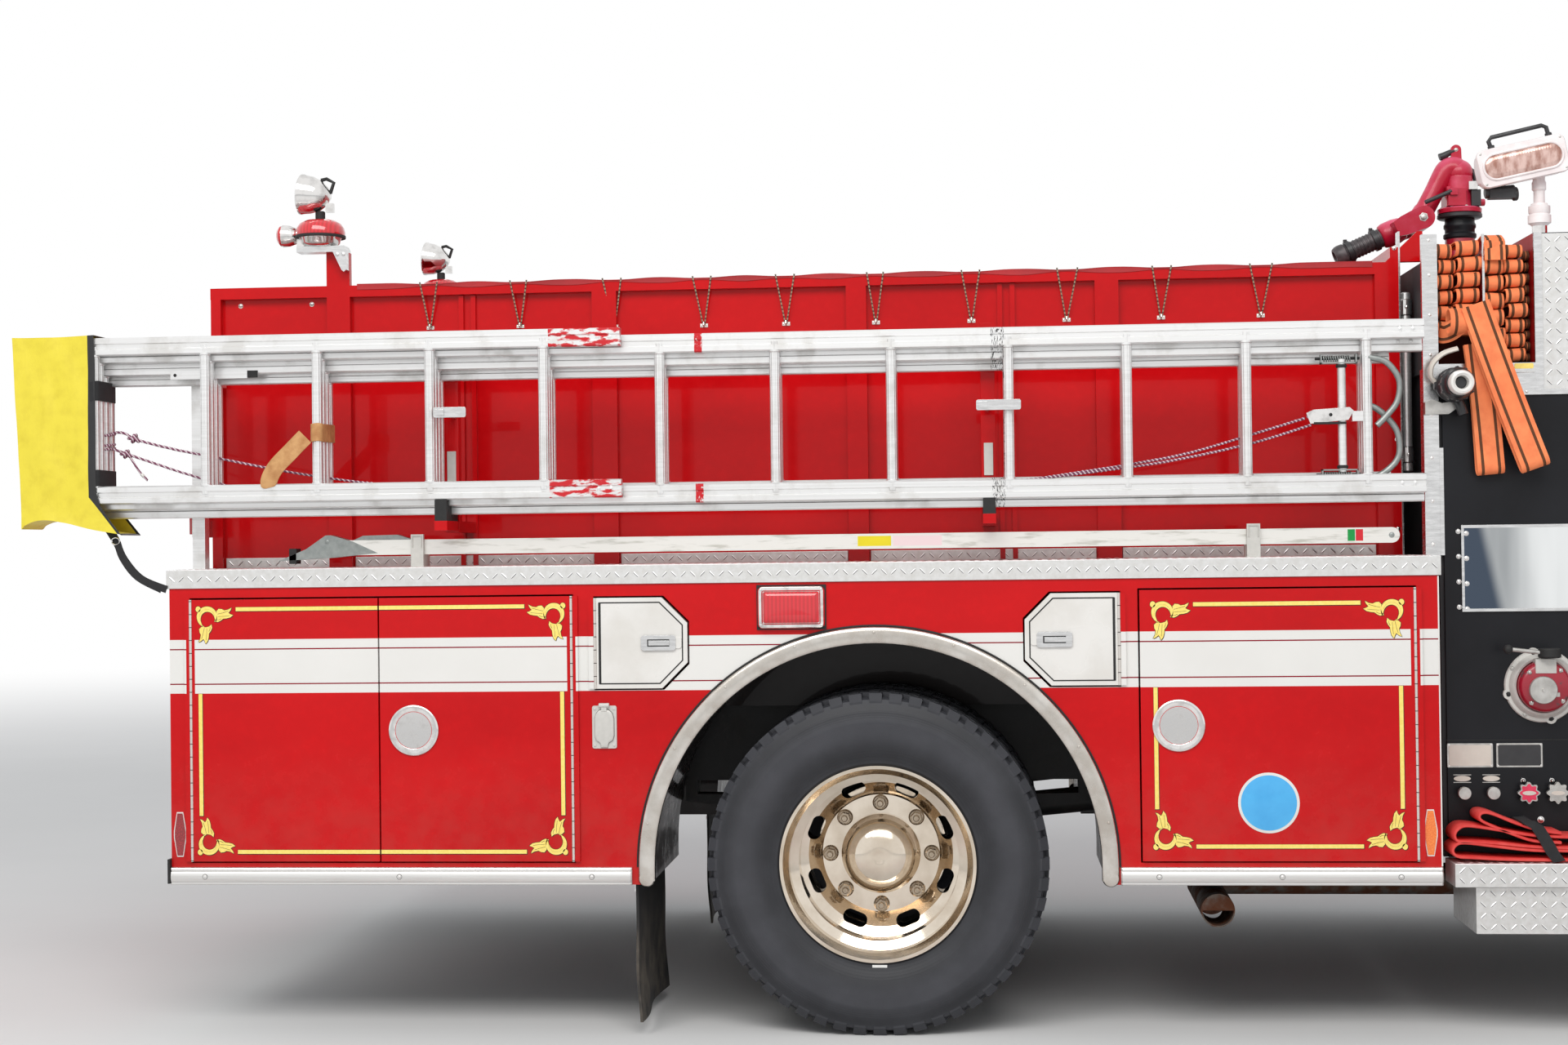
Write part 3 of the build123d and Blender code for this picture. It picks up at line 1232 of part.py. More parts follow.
# Deck monitor: turning gooseneck on the riser, and the tilting barrel on its trunnion
tilt_x, tilt_z, trunnion_half, trunnion_radius = at(1860), 2596, 95, 40
dome_z, dome_radius, neck_radius, ring_height = 2744, 46, 36, 37
with BuildPart() as monitor_elbow:
    rod((riser_x, 0, yaw_z + running_gap), (0, 0, 1), 76, ring_height)
    rod((riser_x, 0, yaw_z + ring_height), (0, 0, 1), dome_radius, dome_z - yaw_z - ring_height)
    with Locations((riser_x, 0, dome_z)):
        Sphere(dome_radius)
    neck = Vector(tilt_x - riser_x, 0, tilt_z - dome_z)
    rod((riser_x, 0, dome_z), neck, neck_radius, neck.length)
    rod((tilt_x, -trunnion_half, tilt_z), (0, 1, 0), trunnion_radius, 2 * trunnion_half)
    # The lug of the lock handle on the dome
    block((riser_x - 26, riser_x + 6), (-8, 8), (dome_z + 30, dome_z + 116))
    rod((riser_x - 12, 0, dome_z + 96), (-1, 0, -0.25), 11, 56)
keep(monitor_elbow.part, "monitor_elbow")
aim = Vector(-300, 0, -129).normalized()
barrel_plane = Plane(origin=(tilt_x, 0, tilt_z), x_dir=aim, z_dir=(0, 1, 0))
cheek, cheek_length = 14, 100
with BuildPart() as monitor_barrel:
    for side in (-1, 1):
        start = side * (trunnion_half + running_gap)
        with BuildSketch(barrel_plane.offset(start)) as side_plate:
            Circle(trunnion_radius)
            with Locations((cheek_length / 2, 0)):
                Rectangle(cheek_length, 56)
        extrude(side_plate.sketch, amount=side * cheek)
    with BuildSketch(barrel_plane.offset(-trunnion_half - running_gap)) as base:
        with Locations((cheek_length - 24, 0)):
            Rectangle(48, 56)
    extrude(base.sketch, amount=2 * (trunnion_half + running_gap))
    for reach, radius, length in ((76, 44, 60), (136, 32, 134), (270, 38, 40)):
        rod(Vector(tilt_x, 0, tilt_z) + aim * reach, aim, radius, length)
keep(monitor_barrel.part, "monitor_barrel")
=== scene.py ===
import math
import random

import bmesh
import bpy
from mathutils import Matrix, Vector, noise


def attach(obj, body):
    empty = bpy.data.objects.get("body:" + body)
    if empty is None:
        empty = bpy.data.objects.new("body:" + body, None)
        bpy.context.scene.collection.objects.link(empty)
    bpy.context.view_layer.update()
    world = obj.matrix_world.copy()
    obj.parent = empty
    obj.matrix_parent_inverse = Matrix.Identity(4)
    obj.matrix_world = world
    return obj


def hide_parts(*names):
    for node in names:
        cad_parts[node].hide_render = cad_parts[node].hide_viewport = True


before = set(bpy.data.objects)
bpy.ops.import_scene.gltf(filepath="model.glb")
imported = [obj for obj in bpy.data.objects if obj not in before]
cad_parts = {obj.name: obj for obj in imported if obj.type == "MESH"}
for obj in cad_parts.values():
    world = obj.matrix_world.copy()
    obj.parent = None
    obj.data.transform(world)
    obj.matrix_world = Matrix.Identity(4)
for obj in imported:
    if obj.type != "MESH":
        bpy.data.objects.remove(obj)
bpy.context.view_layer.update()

random.seed(31)

# Chassis: channel rails, axles, springs and knuckles, brushed with black enamel that has
# dulled under road dust. The engine block and the pump's casing are sprayed grey, and the
# exhaust is bare steel gone brown.
rear_axle_x = -1.855


def at(x):
    """A place given by its distance in front of the rear axle."""
    return rear_axle_x + x


def shade(red, green, blue):
    """A colour seen as 8-bit red, green and blue, as the light it stands for."""
    light = [
        (v / 255) / 12.92 if v < 11 else ((v / 255 + 0.055) / 1.055) ** 2.4 for v in (red, green, blue)
    ]
    return (*light, 1.0)


class Wire:
    """A value in a finish's nodes. Sums on it add Math nodes; node() adds any other kind."""

    def __init__(self, tree, socket=None):
        self.tree = tree
        self.socket = socket

    def node(self, kind, settings=None, sockets=None, output=0):
        made = self.tree.nodes.new("ShaderNode" + kind)
        for name, value in (settings or {}).items():
            if name == "stops":
                ramp = made.color_ramp.elements
                ramp[0].position, ramp[0].color = value[0]
                ramp[1].position, ramp[1].color = value[-1]
                for place, colour in value[1:-1]:
                    ramp.new(place).color = colour
            else:
                setattr(made, name, value)
        for name, value in (sockets or {}).items():
            if isinstance(value, Wire):
                self.tree.links.new(value.socket, made.inputs[name])
            else:
                made.inputs[name].default_value = value
        return Wire(self.tree, made.outputs[output])

    def sum(self, operation, first, second=0.0):
        return self.node("Math", {"operation": operation}, {0: first, 1: second})

    def __add__(self, other):
        return self.sum("ADD", self, other)

    def __sub__(self, other):
        return self.sum("SUBTRACT", self, other)

    def __rsub__(self, other):
        return self.sum("SUBTRACT", other, self)

    def __mul__(self, other):
        return self.sum("MULTIPLY", self, other)

    __radd__, __rmul__ = __add__, __mul__

    def __abs__(self):
        return self.sum("ABSOLUTE", self)

    def over(self, other):
        return self.sum("MAXIMUM", self, other)

    def above(self, level, soft=0.001):
        """0 below the level and 1 above it."""
        sockets = {"Value": self, "From Min": level - soft, "From Max": level + soft}
        return self.node("MapRange", {"interpolation_type": "SMOOTHSTEP"}, sockets)

    def within(self, low, high, soft=0.0004):
        """1 between two levels and 0 outside them."""
        return self.above(low, soft) * (1 - self.above(high, soft))

    def waves(self, width):
        """An even zigzag up to the width and down again."""
        return self.node("Math", {"operation": "PINGPONG"}, {0: self, 1: width})

    def tint(self, low, high):
        """A colour from low to high as this goes from 0 to 1; a plain one is in 8-bit parts."""
        low, high = (shade(*colour) if isinstance(colour, tuple) else colour for colour in (low, high))
        return self.node("Mix", {"data_type": "RGBA"}, {0: self, 6: low, 7: high}, output=2)


class Finish:
    """A procedural material: what is constant goes on the shader's sockets, the rest is fed."""

    def __init__(self, name, slot, **constants):
        self.material = bpy.data.materials.new(name)
        self.material.use_nodes = True
        self.slot = slot
        self.tree = self.material.node_tree
        self.shader = self.tree.nodes["Principled BSDF"]
        for socket, value in constants.items():
            self.shader.inputs[socket.replace("_", " ")].default_value = value
        self.here = Wire(self.tree).node("TexCoord", output="Object")
        self.x, self.y, self.z = self.split(self.here)
        facing = Wire(self.tree).node("TexCoord", output="Normal")
        self.up = self.split(facing)[2]

    def split(self, vector):
        return [vector.node("SeparateXYZ", None, {0: vector}, output=i) for i in range(3)]

    def noise(self, scale, detail=3.0, stretch=(1, 1, 1), roughness=0.55):
        spread = self.here.node("VectorMath", {"operation": "MULTIPLY"}, {0: self.here, 1: stretch})
        sockets = {"Vector": spread, "Scale": scale, "Detail": detail, "Roughness": roughness}
        return spread.node("TexNoise", None, sockets)

    def feed(self, **links):
        for socket, value in links.items():
            self.tree.links.new(value.socket, self.shader.inputs[socket.replace("_", " ")])
        return self

    def worn(self, mask, low, high, spread, least):
        """From the low colour to the high one, and rougher by the spread, where the mask is."""
        return self.feed(Base_Color=mask.tint(low, high), Roughness=mask * spread + least)

    def mottled(self, scale, low, high, rough, detail=3.0):
        """Cloudy between two colours; rough is its noise's scale, its spread and its least value."""
        fine, spread, least = rough
        colour = self.noise(scale, detail).tint(low, high)
        return self.feed(Base_Color=colour, Roughness=self.noise(fine) * spread + least)

    def bump(self, height, distance, strength=1.0):
        sockets = {"Height": height, "Distance": distance, "Strength": strength}
        return self.feed(Normal=height.node("Bump", None, sockets))

    def on(self, *names):
        """Gives the finish to CAD nodes that stay as they are."""
        for name in names:
            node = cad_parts[name]
            node.data.materials.clear()
            node.data.materials.append(self.material)
        return self


def sides(name):
    return name + "_right", name + "_left"


enamel = Finish("chassis_enamel", "chassis_black", Specular_IOR_Level=0.4)
dust = enamel.noise(7, 6) * 0.6 + enamel.up.above(0.5, 0.5) * 0.35
dust = dust.above(0.55, 0.3)
enamel.worn(dust, (24, 24, 26), (98, 90, 80), 0.4, 0.42).bump(enamel.noise(240, 4), 0.0006, 0.5)
enamel.on("frame_rails", "rear_axle", "front_axle", "fuel_tank", *sides("knuckle"))

engine_grey = Finish("engine_enamel", "engine", Metallic=0.3)
grime = engine_grey.noise(5, 7).above(0.52, 0.16)
engine_grey.worn(
    grime, (84, 90, 88), (38, 34, 30), 0.35, 0.4
).bump(engine_grey.noise(180, 4), 0.001, 0.5).on("engine_and_pump")

scale_steel = Finish("exhaust_steel", "steel", Metallic=0.7)
rust = scale_steel.noise(16, 7).above(0.48, 0.12)
scale_steel.worn(
    rust, (92, 86, 80), (88, 52, 34), 0.35, 0.5
).bump(scale_steel.noise(320, 5), 0.0008, 0.6).on("exhaust_pipe")


def circle(count):
    """Angles in even steps, once round."""
    return [2 * math.pi * i / count for i in range(count)]


class Shape:
    """A mesh put together from plain forms in metres, in the row frame, each in one finish."""

    block = ((0, 1, 3, 2), (4, 6, 7, 5), (0, 4, 5, 1), (2, 3, 7, 6), (0, 2, 6, 4), (1, 5, 7, 3))

    def __init__(self, *finishes):
        self.mesh = bmesh.new()
        self.finishes = finishes
        self.finish = 0

    def use(self, finish):
        self.finish = self.finishes.index(finish)
        return self

    def faces(self, points, polygons):
        verts = [self.mesh.verts.new(point) for point in points]
        for polygon in polygons:
            face = self.mesh.faces.new([verts[i] for i in polygon])
            face.material_index = self.finish
        return self

    def box(self, low, high):
        points = [
            (x, y, z) for x in (low[0], high[0]) for y in (low[1], high[1]) for z in (low[2], high[2])
        ]
        return self.faces(points, self.block)

    def rings(self, rings, closed=False, caps=True):
        """A skin over rings of equal count; the ends are capped unless it is closed."""
        count, points, polygons = len(rings[0]), [p for ring in rings for p in ring], []
        last = len(rings) if closed else len(rings) - 1
        for i in range(last):
            a, b = i * count, (i + 1) % len(rings) * count
            for j in range(count):
                k = (j + 1) % count
                polygons.append((a + j, a + k, b + k, b + j))
        if caps and not closed:
            polygons.append(tuple(reversed(range(count))))
            polygons.append(tuple(range(len(points) - count, len(points))))
        return self.faces(points, polygons)

    def turned(self, profile, start, direction=(0, -1, 0), count=32, closed=False):
        """A turned form: (distance, radius) pairs along a direction, else out to the right."""
        axis = Vector(direction).normalized()
        across = axis.orthogonal().normalized()
        other = axis.cross(across)
        rings = []
        for reach, radius in profile:
            centre, radius = Vector(start) + axis * reach, max(radius, 1e-4)
            rings.append([
                centre + (across * math.cos(t) + other * math.sin(t)) * radius for t in circle(count)
            ])
        return self.rings(rings, closed)

    def rod(self, start, end, radius, count=16):
        run = Vector(end) - Vector(start)
        soft = min(radius * 0.18, run.length * 0.2)
        profile = [
            (0, radius - soft), (soft, radius), (run.length - soft, radius), (run.length, radius - soft)
        ]
        return self.turned(profile, start, run, count)

    def tube(self, points, radius, count=10, closed=False, flat=1.0, side=None):
        """A tube along points; with flat below 1 it is an oval, its long axis across the side."""
        points = [Vector(p) for p in points]
        rings, across = [], Vector(side) if side else None
        for i, point in enumerate(points):
            before = points[i - 1] if i or closed else point
            after = points[(i + 1) % len(points)] if i + 1 < len(points) or closed else point
            run = (after - before).normalized()
            across = run.orthogonal() if across is None else across - run * across.dot(run)
            across = across.normalized()
            other = run.cross(across)
            size = radius[i] if isinstance(radius, (list, tuple)) else radius
            rings.append([
                point + (across * math.cos(t) + other * math.sin(t) * flat) * size for t in circle(count)
            ])
        return self.rings(rings, closed)

    def prism(self, outline, origin, across, up, depth):
        """A flat outline, drawn along across and up from the origin, made depth thick."""
        across, up = Vector(across), Vector(up)
        out = across.cross(up).normalized() * depth
        base = [Vector(origin) + across * a + up * b for a, b in outline]
        return self.slab(base, out)

    def plate(self, outline, y, depth):
        """A flat outline of (x, z) points at that y, made depth thick towards the right side."""
        return self.prism(outline, (0, y, 0), (1, 0, 0), (0, 0, 1), depth)

    def slab(self, points, step):
        """A flat outline of points in space, thickened by one step."""
        return self.rings([points, [p + Vector(step) for p in points]])

    def take(self, name, chosen=lambda low, high: True):
        """The chosen solids of a CAD node, with their flat faces whole again."""
        source = bmesh.new()
        source.from_mesh(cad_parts[name].data)
        bmesh.ops.remove_doubles(source, verts=source.verts, dist=1e-5)
        bmesh.ops.dissolve_limit(source, angle_limit=0.01, verts=source.verts, edges=source.edges)
        seen = set()
        for start in source.verts:
            if start in seen:
                continue
            seen.add(start)
            group, front = [], [start]
            while front:
                vert = front.pop()
                group.append(vert)
                near = [edge.other_vert(vert) for edge in vert.link_edges]
                front += [v for v in near if v not in seen]
                seen.update(near)
            low = Vector([min(v.co[i] for v in group) for i in range(3)])
            high = Vector([max(v.co[i] for v in group) for i in range(3)])
            if chosen(low, high):
                index = {vert: i for i, vert in enumerate(group)}
                around = {face for vert in group for face in vert.link_faces}
                polygons = [
                    [index[v] for v in face.verts] for face in sorted(around, key=lambda f: f.index)
                ]
                self.faces([v.co.copy() for v in group], polygons)
        source.free()
        return self

    def lugs(self, low, high, out, pitch=0.029, size=(0.027, 0.0055, 0.0014)):
        """Tread plate's raised lugs over the rectangle between two corners, facing out."""
        low, high, out = Vector(low), Vector(high), Vector(out)
        flat = [i for i in range(3) if abs(out[i]) < 0.5]
        along, up = Vector(), Vector()
        along[flat[0]], up[flat[1]] = 1, 1
        spans = [high[flat[0]] - low[flat[0]], high[flat[1]] - low[flat[1]]]
        counts = [max(1, int(span / pitch)) for span in spans]
        length, width, height = size
        for i in range(counts[0]):
            for j in range(counts[1]):
                a = (i + 0.5) * spans[0] / counts[0]
                b = (j + 0.5) * spans[1] / counts[1]
                centre = low + along * a + up * b
                turn = math.radians(45 if (i + j) % 2 else -45)
                ahead = along * math.cos(turn) + up * math.sin(turn)
                beside = ahead.cross(out)
                outline = ((-0.5, 0), (-0.3, -0.5), (0.3, -0.5), (0.5, 0), (0.3, 0.5), (-0.3, 0.5))
                points = [
                    centre + ahead * u * length + beside * v * width - out * 0.0003 for u, v in outline
                ]
                points += [centre + ahead * u * length + out * height for u in (-0.3, 0.3)]
                walls = ((0, 1, 6), (1, 2, 7, 6), (2, 3, 7), (3, 4, 7), (4, 5, 6, 7), (5, 0, 6))
                self.faces(points, walls + ((5, 4, 3, 2, 1, 0),))
        return self

    def made(self, name, body="chassis", bevel=0.0, nodes=(), both=False, smooth=32):
        """The finished piece on its body; with both, a pair, the left one mirrored."""
        bmesh.ops.recalc_face_normals(self.mesh, faces=self.mesh.faces)
        if not both:
            return self.piece(self.mesh, name, body, bevel, nodes, smooth)
        twin = self.mesh.copy()
        bmesh.ops.scale(twin, vec=(1, -1, 1), verts=twin.verts)
        bmesh.ops.reverse_faces(twin, faces=twin.faces)
        pair = []
        for mesh, side in ((self.mesh, "right"), (twin, "left")):
            own = [
                node.replace("_right", "_" + side)
                for node in nodes if "_right" in node or side == "right"
            ]
            side_body = body.replace("_right", "_" + side)
            pair.append(self.piece(mesh, f"{name}_{side}", side_body, bevel, own, smooth))
        return pair

    def piece(self, mesh, name, body, bevel, nodes, smooth):
        data = bpy.data.meshes.new(name)
        mesh.to_mesh(data)
        mesh.free()
        for finish in self.finishes:
            data.materials.append(finish.material)
        data.polygons.foreach_set("use_smooth", [True] * len(data.polygons))
        data.set_sharp_from_angle(angle=math.radians(smooth))
        piece = bpy.data.objects.new(name, data)
        bpy.context.scene.collection.objects.link(piece)
        if bevel:
            soft = piece.modifiers.new("soft_edges", "BEVEL")
            soft.width, soft.segments, soft.angle_limit = bevel, 2, math.radians(40)
            soft.harden_normals = True
        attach(piece, body)
        if nodes:
            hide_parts(*nodes)
        return piece


# Wheels: forged aluminium rims with eight hand holes, polished bright, and radial tyres of
# black rubber with a lugged drive tread. The rear rims stand back to back on one hub.
wheel_z = 0.52
# The rims' warm brownish tone is a painted reflection of warm surroundings, clouded at random by haze.
polished = Finish("polished_rim", "rim_metal", Metallic=1.0)
haze = polished.noise(9, 5).above(0.55, 0.25)
polished.worn(
    haze, (226, 215, 200), (200, 186, 168), 0.12, 0.06
).bump(polished.noise(160, 2), 0.0002, 0.3)
polished.on(*sides("rear_rims"), *sides("front_rim"))

tyre_rubber = Finish("tyre_rubber", "tyre", Specular_IOR_Level=0.35)
# The front tyres lie beyond the rings' reach, which leaves their walls evenly dusty
nearest = tyre_rubber.x.above(at(1.42)) * 2.845
from_hub, over_hub = tyre_rubber.x - at(0) - nearest, tyre_rubber.z - wheel_z
wall = from_hub * from_hub + over_hub * over_hub
scuff = tyre_rubber.noise(9, 7).above(0.56, 0.22) * 0.22
scuff = scuff + wall.within(0.372 ** 2, 0.446 ** 2, 0.022) * 0.30 + wall.above(0.490 ** 2, 0.012) * 0.28
rings = wall.waves(0.0031)
rings = rings * 90 * wall.within(0.300 ** 2, 0.352 ** 2, 0.004).over(
    wall.within(0.444 ** 2, 0.472 ** 2, 0.004)
)
tyre_rubber.worn(scuff, (42, 43, 47), (82, 83, 89), 0.25, 0.5).bump(
    rings + tyre_rubber.noise(420, 3) * 0.5, 0.0011, 0.6
)
white_mark = Finish("balance_mark", "white_paint", Roughness=0.5)
white_mark.feed(Base_Color=white_mark.noise(90).tint((225, 225, 222), (245, 245, 243)))


def tyre(shape, x, y, out):
    """A tyre at that place, its marked wall facing out: 1 to the left, -1 to the right."""
    half = [
        (0.100, 0.287), (0.106, 0.300), (0.112, 0.306), (0.113, 0.315), (0.122, 0.330),
        (0.131, 0.352), (0.1375, 0.380), (0.1398, 0.405), (0.1392, 0.430), (0.1395, 0.436),
        (0.1372, 0.442), (0.1345, 0.462), (0.1330, 0.468), (0.1290, 0.476), (0.1262, 0.484),
        (0.1170, 0.500), (0.1040, 0.5055), (0.0620, 0.5065), (0.0200, 0.507),
    ]
    profile = [(-w, r) for w, r in half] + [(w, r) for w, r in reversed(half)]
    profile += [(0.085, 0.2865), (-0.085, 0.2865)]
    shape.turned(profile, (x, y, wheel_z), (0, out, 0), 96, closed=True)
    # Tread blocks: two shoulder rows that run down the wall, and three narrow middle rows
    count = 52
    rows = (
        (-0.1065, -0.0700, 0.0), (-0.0610, -0.0260, 0.5), (-0.0190, 0.0190, 0.2),
        (0.0260, 0.0610, 0.5), (0.0700, 0.1065, 0.0),
    )
    for inner, outer, start in rows:
        skew = 0.22 if start == 0.5 else -0.12
        for i in range(count):
            turn = 2 * math.pi * (i + start) / count
            width = 2 * math.pi / count * (0.70 if start else 0.62)
            corners = []
            for radius, grow in ((0.5045, 1.06), (0.5195, 0.97)):
                for w, lead in ((inner, -skew), (outer, skew)):
                    for edge in (-0.5, 0.5):
                        t = turn + width * (edge * grow + lead * 0.4)
                        corners.append(
                            (x + radius * math.sin(t), y + out * w, wheel_z + radius * math.cos(t))
                        )
            shape.faces(corners, shape.block)
            if start:
                continue
            # The shoulder block's foot on the wall
            w_top, w_low = (inner, inner - 0.0165) if inner < 0 else (outer, outer + 0.0165)
            foot = []
            for w, radius in ((w_top, 0.518), (w_top * 0.96, 0.500), (w_low, 0.496), (w_low, 0.478)):
                for edge in (-0.5, 0.5):
                    t = turn + width * edge
                    foot.append((x + radius * math.sin(t), y + out * w, wheel_z + radius * math.cos(t)))
            shape.faces(
                foot, ((0, 1, 5, 4), (4, 5, 7, 6), (2, 6, 7, 3), (0, 2, 3, 1), (0, 4, 6, 2), (1, 3, 7, 5))
            )


for side, out in (("right", -1), ("left", 1)):
    shape = Shape(tyre_rubber, white_mark)
    tyre(shape, at(0), out * 1.055, out)
    tyre(shape, at(0), out * 0.737, -out)
    shape.use(white_mark).box((at(-0.02), out * 1.1665, 0.207), (at(0.025), out * 1.1685, 0.215))
    shape.made(f"rear_tread_tyres_{side}", f"rear_wheels_{side}", nodes=[f"rear_tyres_{side}"])
    shape = Shape(tyre_rubber)
    tyre(shape, 2.845, out * 1.015, out)
    shape.made(f"front_tread_tyre_{side}", f"front_wheel_{side}", nodes=[f"front_tyre_{side}"])


# Wheel nuts: eight to a wheel, each on its collar with the stud's end standing out.
nut_steel = Finish("nut_steel", "steel", Metallic=1.0)
nut_steel.feed(
    Base_Color=nut_steel.noise(40, 4).tint((140, 124, 104), (198, 184, 166)),
    Roughness=nut_steel.noise(90, 2) * 0.2 + 0.16,
)
collar = ((0.0005, 0.025), (0.006, 0.025), (0.010, 0.021), (0.010, 0))
hexagon = ((0.010, 0.0185), (0.012, 0.0200), (0.030, 0.0200), (0.0335, 0.0172), (0.0335, 0))
stud = ((0.0335, 0.0100), (0.044, 0.0100), (0.046, 0.0080), (0.046, 0))
for side, out in (("right", -1), ("left", 1)):
    for axle, x, face in (("rear", at(0), 0.912), ("front", 2.845, 1.093)):
        shape = Shape(nut_steel)
        for turn in circle(8):
            place = (x + 0.159 * math.sin(turn), out * face, wheel_z + 0.159 * math.cos(turn))
            shape.turned(collar, place, (0, out, 0), 24)
            shape.turned(hexagon, place, (0, out, 0), 6)
            shape.turned(stud, place, (0, out, 0), 12)
        wheels = f"rear_wheels_{side}" if axle == "rear" else f"front_wheel_{side}"
        shape.made(f"{axle}_wheel_nuts_{side}", wheels, smooth=28)
# Lower body: welded steel compartments in red enamel under clear lacquer, with a white
# band and two fine maroon lines along both sides. The hose bed, the pump house, the cab
# and the doors carry the same paint.

def banded(finish):
    """Where the white band is on both sides, and where the two maroon lines in it are."""
    band = finish.z.within(1.0555, 1.2213) * abs(finish.y).above(1.192)
    return band, finish.z.within(1.0822, 1.0862).over(finish.z.within(1.1895, 1.1935))


body_coat = {"Coat_Weight": 0.22, "Coat_Roughness": 0.03, "Specular_IOR_Level": 0.12}
red_paint = Finish("red_enamel", "red_paint", **body_coat)
wash = red_paint.noise(1.3, 4, (1, 1, 2.2))
grain = red_paint.noise(38, 4).above(0.6, 0.2) * 0.12
film = red_paint.noise(14, 6).above(0.5, 0.25) * (1 - red_paint.z.above(0.72, 0.28))
red = (wash + grain).tint((172, 3, 10), (216, 14, 20))
red = (film * 0.14).tint(red, (150, 110, 96))
band, maroon = banded(red_paint)
for hinge_x in (at(-2.113), at(-0.922), at(1.598)):
    band = band * (1 - red_paint.x.within(hinge_x - 0.014, hinge_x + 0.013))
white = red_paint.noise(5, 5).tint((222, 221, 217), (232, 231, 228))
band_colour = maroon.tint(white, (140, 8, 34))
# Near-black inside the rear wheel well, on low faces turned down, and on low inner faces round the rear
# axle.
to_axle, to_hub = red_paint.x - rear_axle_x, red_paint.z - wheel_z
wheel_well = (to_axle * to_axle + to_hub * to_hub).above(0.6975 ** 2, 0.003)
wheel_well = (1 - wheel_well) * (1 - abs(red_paint.y).above(1.2165)) * (1 - red_paint.z.above(1.3))
near_black_underparts = wheel_well.over((1 - red_paint.up.above(-0.8, 0.1)) * (1 - red_paint.z.above(0.50)))
behind_wheel = (1 - (to_axle * to_axle).above(1.0)) * (1 - abs(red_paint.y).above(0.5615))
near_black_underparts = near_black_underparts.over(behind_wheel * (1 - red_paint.z.above(0.80)))
red_paint.feed(
    Base_Color=near_black_underparts.tint(band.tint(red, band_colour), (34, 25, 24)),
    Roughness=grain * 0.6 + film * 0.25 + 0.2,
).bump(red_paint.noise(2.1, 2) + red_paint.noise(210, 2) * 0.012, 0.006, 0.35)

white_paint = Finish("white_enamel", "white_paint", Coat_Weight=0.8, Coat_Roughness=0.06)
soil = white_paint.noise(6, 6).above(0.55, 0.2)
white_paint.worn(
    soil, (228, 226, 222), (214, 211, 205), 0.2, 0.25
).bump(white_paint.noise(160, 2), 0.0002, 0.3)

shape = Shape(red_paint).take("body_pod_right")
shape.made("body_pod_panels", bevel=0.0025, nodes=["body_pod_right"], both=True)
shape = Shape(red_paint).take("body_centre")
shape.made("body_centre_box", bevel=0.0025, nodes=["body_centre"])

# Doors: flush pans of folded steel, painted with the body, each on a bright piano hinge.
# Gold lines and scroll leaves edge the locker doors. Fender doors are white, on a black
# gasket, with a flush paddle latch.
bright = Finish("bright_steel", "bright_trim", Metallic=1.0)
streak = bright.noise(24, 5, (1, 1, 6)).above(0.5, 0.3)
bright.worn(
    streak, (228, 228, 228), (196, 196, 196), 0.15, 0.16
).bump(bright.noise(300, 2, (1, 1, 8)), 0.0001, 0.4)
gold_leaf = Finish("gold_leaf", "red_paint", Coat_Weight=0.5, Coat_Roughness=0.1)
gold_leaf.mottled(120, (240, 204, 76), (255, 240, 140), (60, 0.2, 0.3))
black_line = Finish("lettering_black", "red_paint", Roughness=0.4)
black_line.feed(Base_Color=black_line.noise(50).tint((24, 10, 8), (52, 26, 8)))
gasket = Finish("gasket_rubber", "rubber", Roughness=0.7)
gasket.feed(Base_Color=gasket.noise(80).tint((14, 14, 15), (34, 34, 34)))
hinge_steel = Finish("hinge_steel", "bright_trim", Metallic=1.0)
knuckles = hinge_steel.z.waves(0.02)
knuckles = knuckles.above(0.0188, 0.0008)
hinge_steel.worn(knuckles, (222, 216, 210), (70, 60, 58), 0.4, 0.25)

door_face, side_face = 1.228, 1.220
locker_z, fender_z = (0.537, 1.345), (1.062, 1.338)
side_doors = {
    "aft_door": ((-2.113, -1.523), "rear"),
    "mid_door": ((-1.518, -0.922), "front"),
    "fore_door": ((0.793, 1.598), "front"),
    "fender_door_aft": ((-0.849, -0.566), "rear"),
    "fender_door_fore": ((0.452, 0.732), "front"),
}
latches = {"mid_door": (at(-1.413), 0.939), "fore_door": (at(0.904), 0.941)}

# One corner scroll, in millimetres across and down from the corner: ring, ball and leaves
ring_turns = [math.radians(-28 + i * 11.2) for i in range(26)]
swell = [math.sin(math.pi * min(1, i / 25 * 1.05)) ** 0.6 for i in range(26)]
ring_out = [(37 + 32.5 * math.cos(t), 37 - 32.5 * math.sin(t)) for t in ring_turns]
ring_in = [
    (37 + (30.5 - 14.5 * s) * math.cos(t), 37 - (30.5 - 14.5 * s) * math.sin(t))
    for t, s in zip(ring_turns, swell)
]
ring_line = [(37 + 24 * math.cos(t), 37 - 24 * math.sin(t)) for t in ring_turns[3:-3]]
leaf = [
    (67, 20), (74, 12), (84, 13), (92, 17), (104, 15), (115, 9), (112, 17), (105, 25),
    (111, 29), (120, 32), (111, 39), (99, 42), (88, 43), (80, 49), (71, 53), (60, 51),
    (66, 44), (69, 33),
]
ball = [(9 + 8 * math.cos(t * math.pi / 8), 13 + 9 * math.sin(t * math.pi / 8)) for t in range(16)]
crescent = ring_out + list(reversed(ring_in))
veins = (((70, 28), (88, 24), (104, 19)), ((72, 36), (90, 35), (108, 33)), ((68, 46), (74, 46), (82, 42)))


